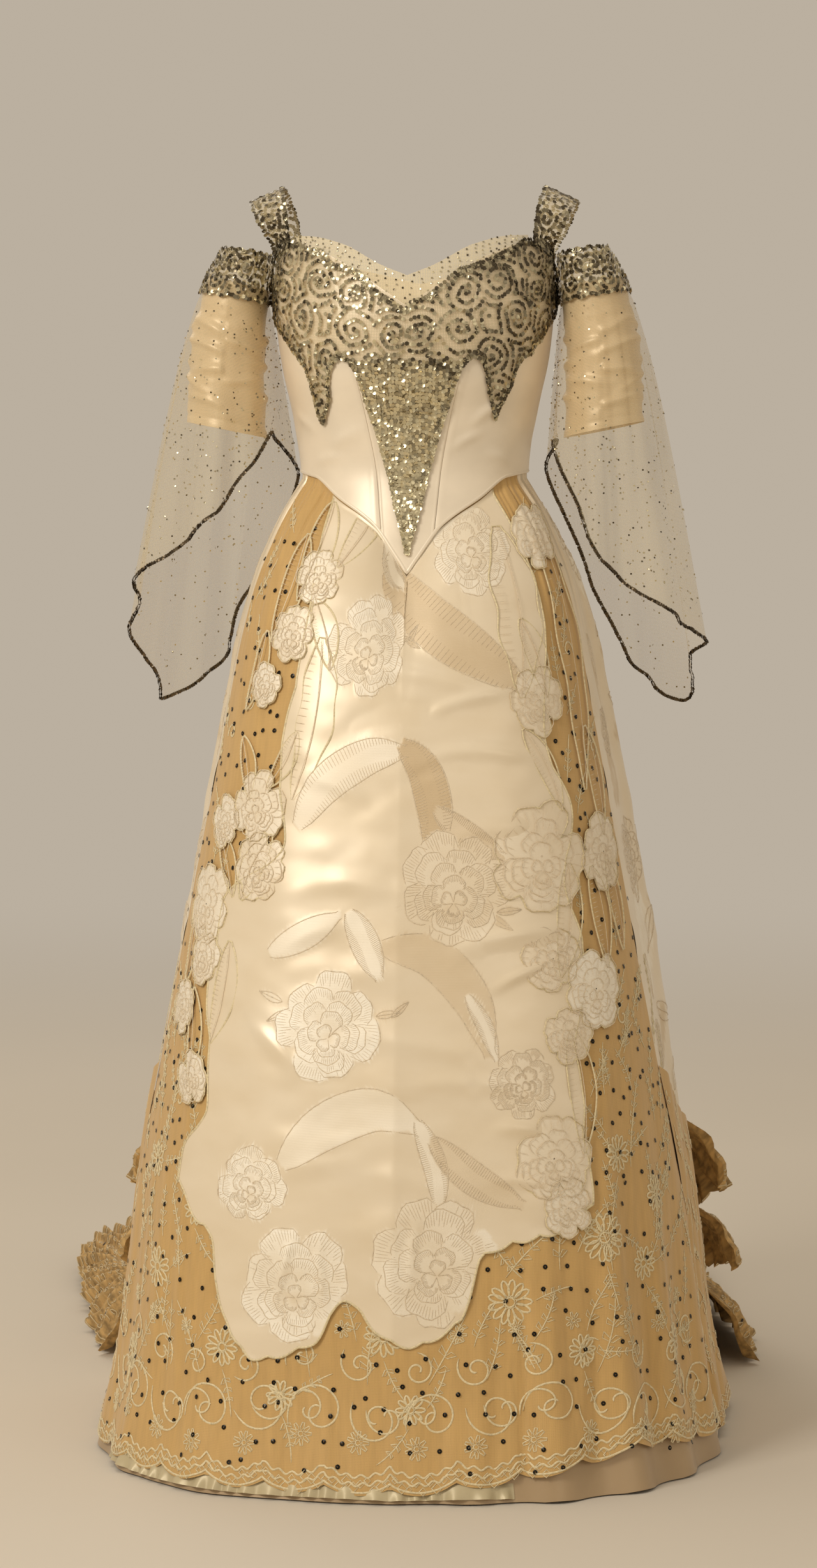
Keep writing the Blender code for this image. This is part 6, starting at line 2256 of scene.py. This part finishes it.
class GOWN_OT_appliques(bpy.types.Operator):
    """Makes the cut-out brocade roses and leaves sewn on the net beside the front"""

    bl_idname = "gown.appliques"
    bl_label = "Cut-out roses"

    def execute(self, context):
        parts, tones, edges, ribs, cords = [], [], [], [], []
        sectors, rings = 52, 11
        turn = np.linspace(0, 2 * math.pi, sectors, endpoint=False)
        for number, rose in enumerate(APPLIQUES):
            rng = np.random.default_rng(80 + number)
            petals = rose_petals(rose, rng)
            reach = np.full(sectors, rose.radius * 0.55)
            for outline, _, _ in petals[:7]:
                local = outline - (rose.across, rose.height)
                bearing, length = np.arctan2(local[:, 1], local[:, 0]), np.linalg.norm(local, axis=1)
                for at in range(sectors):
                    off = np.abs((bearing - turn[at] + math.pi) % (2 * math.pi) - math.pi)
                    if off.min() < 0.12:
                        reach[at] = max(reach[at], length[np.argmin(off)])
            out = np.linspace(0.02, 1, rings)[:, None]
            coords = np.stack(
                [rose.across + out * reach * np.cos(turn), rose.height + out * reach * np.sin(turn)], axis=-1
            )
            flat = coords.reshape(-1, 2)
            tone = motif_tones(flat, [rose], [], [], 80 + number)
            centres, normals = on_net(flat, APPLIQUE_LIFT)
            puff = 0.0007 * (1 - np.repeat(out.ravel() ** 4, sectors)) + 0.0005 * tone
            points = centres + normals * puff[:, None]
            faces = grid_faces(rings, sectors, True)[:, ::-1]
            parts.append((points, faces))
            tones.append(tone)
            some_edges, some_ribs = rose_lines(rose, np.random.default_rng(80 + number))
            edges += some_edges
            ribs += some_ribs[::2]
            cords.append(np.concatenate([coords[-1], coords[-1][:2]]))
        points, faces = join_meshes(parts)
        lengths = np.stack([points[:, 0], points[:, 2]], axis=-1)
        piece = surface(
            "cut_out_roses",
            points,
            faces,
            cloth_material("rose silk brocade"),
            cloth=lengths,
            tone=np.concatenate(tones),
        )
        for leaf in APPLIQUE_LEAVES:
            t, swing = np.linspace(0, 1, 44)[:, None], np.linspace(-1, 1, 13)[None, :]
            turn = math.radians(leaf.turn)
            along, off = np.array([math.cos(turn), math.sin(turn)]), np.array(
                [-math.sin(turn), math.cos(turn)]
            )
            half = leaf.width / 2 * np.sin(math.pi * np.clip(t, 0.015, 0.985) ** 0.85) ** 0.7
            half = half * (1 + 0.10 * np.sin(t * 19 + leaf.turn) * ease(leaf.length * (1 + 0 * t), 0.12, 0.2))
            middle = np.array([leaf.across, leaf.height]) + (t - 0.5) * leaf.length * along
            middle = middle + off * 0.06 * leaf.length * np.sin(math.pi * t)
            coords = middle[:, None, :] + (half * swing)[..., None] * off
            rib = 0.5 + 0.5 * np.sin(t * leaf.length / 0.0042 + 2.2 * np.abs(swing))
            tone = leaf.shade * (0.65 + 0.45 * rib * np.abs(swing)) * (1 + 0 * t)
            centres, normals = on_net(coords.reshape(-1, 2), APPLIQUE_LIFT + 0.0006)
            wrinkle = 0.0008 * np.sin(t * leaf.length / 0.012 + 3 * swing) * (1 - swing**4)
            points = centres + normals * (0.0006 * (1 - swing**6) * (1 + 0 * t) + wrinkle).reshape(-1, 1)
            parts.append((points, grid_faces(44, 13)))
            tones.append(tone.ravel())
            cords.append(np.concatenate([coords[:, 0], coords[::-1, -1], coords[:2, 0]]))
            for at in range(3, 41, 2):
                ribs += [coords[at, :4], coords[at, 9:]]
            edges.append(coords[:, 6])
        place = lambda coords: on_net(coords, APPLIQUE_LIFT + 0.0020)
        made = [
            thread_mesh(thinned(edges), place, 0.0010, 0.0003)[:2],
            thread_mesh(ribs[::2], place, 0.0006, 0.0002)[:2],
        ]
        sewn_on("cut_out_weave_lines", made, cloth_material("woven shade silk"))
        place = lambda coords: on_net(coords, APPLIQUE_LIFT)
        sewn_on(
            "cut_out_cords",
            [thread_mesh(cords, place, 0.0022, 0.0012)[:2]],
            cloth_material("cream embroidery silk"),
        )
        return {"FINISHED"}


def back_sheet(side, rows, columns):
    """Angles and shares down of one side of the back, from its side seam to the centre back."""
    down = np.concatenate(
        [np.linspace(-0.008, 0.70, rows * 3 // 5), np.linspace(0.70, 1, rows - rows * 3 // 5 + 1)[1:]]
    )[:, None]
    across = np.linspace(0, 1, columns)[None, :]
    angle = mix(side_angle(np.clip(down, 0, 1)), 179.999, across)
    return angle * side, down + 0 * across


BACK_CREASES = [
    Crease(0.12, 0.55, 0.090, 0.010, 12, 0.0024),
    Crease(0.20, 0.70, 0.070, 0.008, -10, 0.0022),
    Crease(0.30, 0.48, 0.110, 0.012, 8, 0.0026),
    Crease(0.34, 0.85, 0.080, 0.010, -16, 0.0022),
    Crease(0.45, 0.62, 0.100, 0.010, 10, 0.0026),
    Crease(0.52, 0.95, 0.090, 0.012, -8, 0.0024),
    Crease(0.62, 1.10, 0.110, 0.012, 14, 0.0026),
    Crease(0.28, 1.20, 0.090, 0.012, -12, 0.0022),
    Crease(0.70, 1.40, 0.120, 0.014, 6, 0.0028),
    Crease(0.48, 1.50, 0.110, 0.012, -10, 0.0024),
]
BACK_SPRAY = [
    Rose(0.09, 0.09, 0.060, 0.5, 0.80),
    Rose(0.25, 0.31, 0.056, 2.1, 0.50),
    Rose(0.06, 0.36, 0.036, 1.3, -0.55),
]
BACK_SPRAY_LEAVES = [
    Leaf(0.185, 0.075, 0.090, 0.030, 40, -0.55),
    Leaf(0.215, 0.150, 0.080, 0.026, 100, -0.45),
    Leaf(0.130, 0.200, 0.085, 0.028, 130, -0.60),
    Leaf(0.300, 0.215, 0.070, 0.024, -30, -0.45),
    Leaf(0.155, 0.330, 0.090, 0.028, 20, -0.55),
    Leaf(0.060, 0.260, 0.075, 0.024, 75, -0.50),
    Leaf(0.290, 0.425, 0.080, 0.026, 60, -0.45),
    Leaf(0.170, 0.425, 0.060, 0.020, -50, -0.60),
]


class GOWN_OT_skirt_backs(bpy.types.Operator):
    """Makes the brocade side backs and the train"""

    bl_idname = "gown.skirt_backs"
    bl_label = "Skirt back and train"

    def execute(self, context):
        rows, columns = 150, 130
        spray = []
        for number, rose in enumerate(BACK_SPRAY):
            edges, ribs = rose_lines(rose, np.random.default_rng(60 + number))
            spray += edges + ribs[::4]
        for leaf in BACK_SPRAY_LEAVES:
            spray += list(leaf_outline(leaf))
        for side, word in ((-1, "left"), (1, "right")):
            angle, down = back_sheet(side, rows, columns)
            base = skirt_point(angle, down)
            normal = skirt_normal(angle, down)
            steps_across = np.linalg.norm(np.diff(base, axis=1), axis=2)
            across = np.concatenate([np.zeros((rows, 1)), np.cumsum(steps_across, axis=1)], axis=1)
            steps_down = np.linalg.norm(np.diff(base, axis=0), axis=2)
            fall = np.concatenate([np.zeros((1, columns)), np.cumsum(steps_down, axis=0)])
            coords = np.stack([across.ravel(), fall.ravel()], axis=-1)
            repeat = np.stack([coords[:, 0] % BACK_REPEAT_ACROSS, coords[:, 1] % BACK_REPEAT_DOWN], axis=-1)
            tone = motif_tones(repeat, BACK_SPRAY, [], BACK_SPRAY_LEAVES, 60)
            relief = crease_relief(BACK_CREASES, across, fall) + uneven(across, fall, 0.06, 0.035, 51) * 0.0014
            relief += 0.00035 * np.abs(tone).reshape(rows, columns)
            gathers = np.abs(
                uneven(np.abs(angle) / 40, fall, 0.045, 0.5, 53)
            ) * 0.005 * (1 - ease(down, 0.02, 0.20))
            lift = (relief * ease(down, 0.0, 0.03) + gathers) * ease(180 - np.abs(angle), 0, 3)
            points = base + normal * lift[..., None]
            points[..., 2] = np.maximum(points[..., 2], FLOOR_CLEARANCE)
            lengths = np.stack([across * side, fall], axis=-1)
            if side < 0:
                points, lengths = points[:, ::-1], lengths[:, ::-1]
                tone = tone.reshape(rows, columns)[:, ::-1]
            piece = surface(
                f"skirt_back_{word}_cloth",
                points,
                grid_faces(rows, columns),
                cloth_material("rose silk brocade"),
                cloth=lengths,
                tone=tone,
            )
            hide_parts(f"skirt_back_{word}")
            edges = []
            found_across = np.ptp(across, axis=1).max()
            for at_across in np.arange(0, found_across, BACK_REPEAT_ACROSS):
                for at_down in np.arange(0, fall.max(), BACK_REPEAT_DOWN):
                    edges += [line + (at_across, at_down) for line in spray]
            down_row = fall.mean(axis=1)
            across_max = across[:, -1]

            def place(line_coords, lift=0.0006):
                row = np.interp(line_coords[:, 1], down_row, np.arange(rows))
                i = np.clip(np.floor(row).astype(int), 0, rows - 2)
                col = np.sum(across[i] < line_coords[:, :1], axis=1) - 1.0
                start, end = across[i, col.astype(int)], across[
                    i, np.minimum(col.astype(int) + 1, columns - 1)
                ]
                col = col + np.clip((line_coords[:, 0] - start) / np.maximum(end - start, 1e-9), 0, 1)
                j = np.clip(np.floor(col).astype(int), 0, columns - 2)
                s, t = (row - i)[:, None], (col - j)[:, None]
                source = points[:, ::-1] if side < 0 else points
                found = mix(
                    mix(source[i, j], source[i, j + 1], t), mix(source[i + 1, j], source[i + 1, j + 1], t), s
                )
                return found + normal[i, j] * lift, normal[i, j]

            limit = lambda line: (
                line[:, 1].max() < down_row[-1] - 0.02
                and line[:, 0].min() > 0.01
                and (line[:, 0] < np.interp(line[:, 1], down_row, across_max) - 0.02).all()
            )
            edges = [line for line in edges if limit(line)]
            made = [thread_mesh(thinned(edges), place, 0.0011, 0.0004)[:2]]
            sewn_on(f"back_weave_lines_{word}", made, cloth_material("woven shade silk"))
        return {"FINISHED"}


TIER_SEAM_DOWN = {10: 0.708, 11: 0.799, 12: 0.891, 13: 1.0}


def back_row(row, columns):
    """Angles and shares down along one row of the back, which bends to meet the side seam."""
    at_seam = TIER_SEAM_DOWN[row]
    seam = smooth(np.array(at_seam), column(SIDE_SEAM, "down"), column(SIDE_SEAM, "angle"))
    near_seam = mix(seam, float(GATHER_FROM), np.arange(4) / 4)
    angles = np.concatenate([near_seam, np.linspace(GATHER_FROM, 180, GATHERS * 4 + 1)])
    last = len(angles) - 1
    at = np.linspace(TIER_FROM_COLUMN, last, columns)
    angle = np.interp(at, np.arange(last + 1), angles)
    down = mix(at_seam, BACK_ROWS[row], ease(np.arange(last + 1), 0, 10))
    return angle, np.interp(at, np.arange(last + 1), down)


class GOWN_OT_train_lace(bpy.types.Operator):
    """Makes the train's three tiers of gathered lace"""

    bl_idname = "gown.train_lace"
    bl_label = "Train lace"

    def execute(self, context):
        rng = np.random.default_rng(context.scene.gown_trim.seed + 6)
        for tier_number, tier in enumerate(TRAIN_TIERS):
            for side, word in ((-1, "left"), (1, "right")):
                columns, rows = 500, 13
                start_angle, start_down = back_row(tier.row, columns)
                end_angle, end_down = back_row(tier.row + 1, columns)
                start_angle, end_angle = start_angle * side, end_angle * side
                begin = skirt_point(start_angle, start_down)
                plain_begin = skirt_smooth_point(start_angle, start_down)
                plain_end = skirt_smooth_point(end_angle, end_down)
                away = plain_end - plain_begin
                away /= np.linalg.norm(away, axis=1, keepdims=True)
                plain_end = plain_end + away * tier.past_edge
                lean = tier_lean(start_angle)
                lean -= away * np.sum(lean * away, axis=1, keepdims=True) * 0.6
                lean /= np.linalg.norm(lean, axis=1, keepdims=True)
                steps = np.linalg.norm(np.diff(plain_end, axis=0), axis=1)
                stations = np.concatenate([[0], np.cumsum(steps)])
                along = np.linspace(0, 1, columns)
                still = 0 * stations
                waves = 0.5 + 0.5 * np.cos(
                    stations / 0.036 * 2 * math.pi + 2.2 * uneven(stations, still, 0.11, 1, 71 + tier_number)
                )
                waves *= 0.65 + 0.35 * uneven(stations, still, 0.05, 1, 81 + tier_number)
                waves = mix(0.80 + 0.20 * waves, waves, ease(along, 0.05, 0.22))
                fine = uneven(stations, still, 0.009, 1, 74 + tier_number)
                grid = [begin + lean * (NET + TIER_ROOM)]
                for share in np.linspace(0, 1, rows)[1:]:
                    stand = NET + TIER_ROOM + TIER_OVER_FOLDS * min(1.0, share * 2.2)
                    stand = stand + tier.rise * share**0.7 * (0.88 * waves + 0.16 * fine)
                    puffs = uneven(stations, share + still, 0.022, 0.34, 77 + tier_number) * 0.009
                    curl = puffs + uneven(stations, share + still, 0.009, 0.16, 79) * 0.004
                    grid.append(mix(plain_begin, plain_end, share) + lean * (stand + curl * share)[:, None])
                grid = np.array(grid)
                edge = np.abs(np.sin(stations / 0.030 * math.pi)) ** 0.6
                grid[-1] += away * (0.010 * edge)[:, None]
                grid[..., 2] = np.maximum(grid[..., 2], 0.0045)
                fall = np.concatenate(
                    [np.zeros((1, columns)), np.cumsum(np.linalg.norm(np.diff(grid, axis=0), axis=2), axis=0)]
                )
                lengths = np.stack([stations[None, :] + 0 * fall, fall], axis=-1)
                if side < 0:
                    grid, lengths = grid[:, ::-1], lengths[:, ::-1]
                piece = surface(
                    f"train_lace_{tier.name}_{word}_cloth",
                    grid,
                    grid_faces(rows, columns),
                    cloth_material("aged machine lace"),
                    cloth=lengths,
                )
                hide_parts(f"train_lace_{tier.name}_{word}")
                long = float(np.linalg.norm(np.diff(grid, axis=1), axis=2).sum(axis=1).mean())
                normal = normals_of(grid)
                deep = float(fall[-1].mean())
                place = on_grid(grid, normal, long, deep)
                lines = []
                for across in np.arange(0.012, long - 0.012, 0.024):
                    for drop in np.arange(0.016, deep - 0.012, 0.026):
                        x, y = across + rng.uniform(-0.006, 0.006), drop + rng.uniform(-0.006, 0.006)
                        lines.append(
                            spiral(
                                x, y, rng.uniform(0.006, 0.011), rng.choice((-1, 1)), rng.uniform(0, 6), 1.2
                            )[::4],
                        )
                edge = np.linspace(0.001, long - 0.001, 420)
                for inset, wave in ((0.002, 0.0), (0.011, 0.0025)):
                    lines.append(np.stack([edge, deep - inset - wave * np.abs(np.sin(edge * 200))], axis=-1))
                made = [thread_mesh(lines, lambda coords: place(coords, 0.0006), 0.0016, 0.0007)[:2]]
                sewn_on(
                    f"train_needlework_{tier.name}_{word}",
                    made,
                    cloth_material("aged lace thread"),
                )
                across = np.arange(0.03, long - 0.03, 0.034)
                spots = np.stack([across, deep * (0.62 + 0.22 * np.sin(across * 47))], axis=-1)
                centres, normals = place(spots + rng.uniform(-0.006, 0.006, spots.shape), 0.0012)
                rings = ring_mesh(centres, normals, 0.0030, rng)
                tone = np.repeat(rng.uniform(0, 1, len(centres)), 16)
                sewn_on(
                    f"train_sequins_{tier.name}_{word}",
                    [rings],
                    cloth_material("black faceted sequin"),
                    tone,
                )
        return {"FINISHED"}


class GOWN_OT_hem_frill(bpy.types.Operator):
    """Makes the gathered silk frill that shows below the net's hem"""

    bl_idname = "gown.hem_frill"
    bl_label = "Hem frill"

    def execute(self, context):
        columns = 500
        angle = np.linspace(-62, 20, columns)
        down_top, down_low = np.full(columns, 0.980), np.full(columns, 0.9955)
        wave = 0.5 + 0.5 * np.sin(np.linspace(0, 150, columns) + 1.5 * np.sin(np.linspace(0, 31, columns)))
        grid = []
        for share in np.linspace(0, 1, 9):
            down = mix(down_top, down_low, share)
            normal = direction_out(skirt_point, angle, down)
            out = -0.0014 + share * (0.001 + 0.0055 * wave)
            grid.append(skirt_point(angle, down) + normal * out[:, None])
        grid = np.array(grid)
        grid[..., 2] = np.maximum(grid[..., 2], 0.0022)
        stations = np.linspace(0, 0.75, columns)
        lengths = np.stack(np.meshgrid(stations, np.linspace(0, 0.02, 9)), axis=-1)
        piece = surface(
            "hem_frill", grid, grid_faces(9, columns), cloth_material("cream frill silk"), cloth=lengths
        )
        return {"FINISHED"}


class GOWN_OT_stage(bpy.types.Operator):
    """Makes the plain floor, the soft studio light and the camera"""

    bl_idname = "gown.stage"
    bl_label = "Stage"

    def execute(self, context):
        stage = context.scene.gown_stage
        world = bpy.data.worlds.new("studio")
        world.use_nodes = True
        shade = world.node_tree.nodes["Background"]
        shade.inputs["Color"].default_value = (*stage.backdrop, 1)
        shade.inputs["Strength"].default_value = AIR_STRENGTH
        context.scene.world = world
        turns, rings = 96, 40
        out = np.concatenate([[0.0], np.geomspace(0.05, 60, rings)])[:, None]
        turn = np.linspace(0, 2 * math.pi, turns, endpoint=False)[None, :]
        points = np.stack([out * np.cos(turn), out * np.sin(turn), 0 * out * turn - 0.0002], axis=-1)
        floor = surface(
            "floor",
            points,
            grid_faces(rings + 1, turns, True),
            paper("backdrop paper", tuple(stage.floor), tuple(stage.backdrop)),
        )
        for name, place, size, power, aim, colour in (
            ("key light", (-1.9, -2.6, 1.3), 1.1, 60, (0, 0, -0.25), "FFF8EE"),
            ("fill light", (2.6, -3.6, 0.9), 2.4, 10, (0, 0, -0.4), "FFF8EE"),
            ("top light", (-0.6, 0.4, 3.2), 2.6, 26, (0, 0, -0.8), "FFF8EE"),
            ("back light", (-1.8, 3.6, 1.6), 2.0, 20, (0, 0, -0.8), "FFF6EA"),
        ):
            light = bpy.data.lights.new(name, "AREA")
            light.energy = power
            light.size = size
            light.color = linear(colour)
            lamp = bpy.data.objects.new(name, light)
            lamp.location = place
            away = np.array(place) - np.array(aim)
            flat = math.hypot(away[0], away[1])
            lamp.rotation_euler = (math.atan2(flat, away[2]), 0, math.atan2(away[1], away[0]) + math.pi / 2)
            context.scene.collection.objects.link(lamp)
        lens = bpy.data.cameras.new("camera")
        lens.lens = stage.lens
        lens.sensor_width = 36
        camera = bpy.data.objects.new("camera", lens)
        camera.location = (
            stage.distance * math.sin(stage.turn) - 0.007, -stage.distance * math.cos(stage.turn), -0.38
        )
        camera.rotation_euler = (math.pi / 2 - math.atan(0.064), 0, stage.turn)
        context.scene.collection.objects.link(camera)
        context.scene.camera = camera
        context.scene.view_settings.view_transform = "Standard"
        return {"FINISHED"}


class GOWN_PT_pieces(bpy.types.Panel):
    """Lists the gown's settings and makers"""

    bl_label = "Evening ball gown"
    bl_idname = "GOWN_PT_pieces"
    bl_space_type = "VIEW_3D"
    bl_region_type = "UI"
    bl_category = "Gown"

    def draw(self, context):
        for settings in (context.scene.gown_cloth, context.scene.gown_trim, context.scene.gown_stage):
            box = self.layout.box()
            for name in settings.__annotations__:
                box.prop(settings, name)
        for maker in MAKERS:
            self.layout.operator(maker.bl_idname)


MAKERS = (
    GOWN_OT_bodice,
    GOWN_OT_sequin_lace,
    GOWN_OT_straps,
    GOWN_OT_sleeves,
    GOWN_OT_net_sleeves,
    GOWN_OT_net_skirt,
    GOWN_OT_net_needlework,
    GOWN_OT_brocade_front,
    GOWN_OT_appliques,
    GOWN_OT_skirt_backs,
    GOWN_OT_train_lace,
    GOWN_OT_hem_frill,
    GOWN_OT_stage,
)
CLASSES = (GownCloth, GownTrim, GownStage, *MAKERS, GOWN_PT_pieces)


def register():
    for made in CLASSES:
        bpy.utils.register_class(made)
    bpy.types.Scene.gown_cloth = PointerProperty(type=GownCloth)
    bpy.types.Scene.gown_trim = PointerProperty(type=GownTrim)
    bpy.types.Scene.gown_stage = PointerProperty(type=GownStage)


def unregister():
    del bpy.types.Scene.gown_stage
    del bpy.types.Scene.gown_trim
    del bpy.types.Scene.gown_cloth
    for made in reversed(CLASSES):
        bpy.utils.unregister_class(made)


def main():
    register()
    for maker in MAKERS:
        group, name = maker.bl_idname.split(".")
        getattr(getattr(bpy.ops, group), name)()
    bpy.context.view_layer.update()


if __name__ == "__main__":
    main()
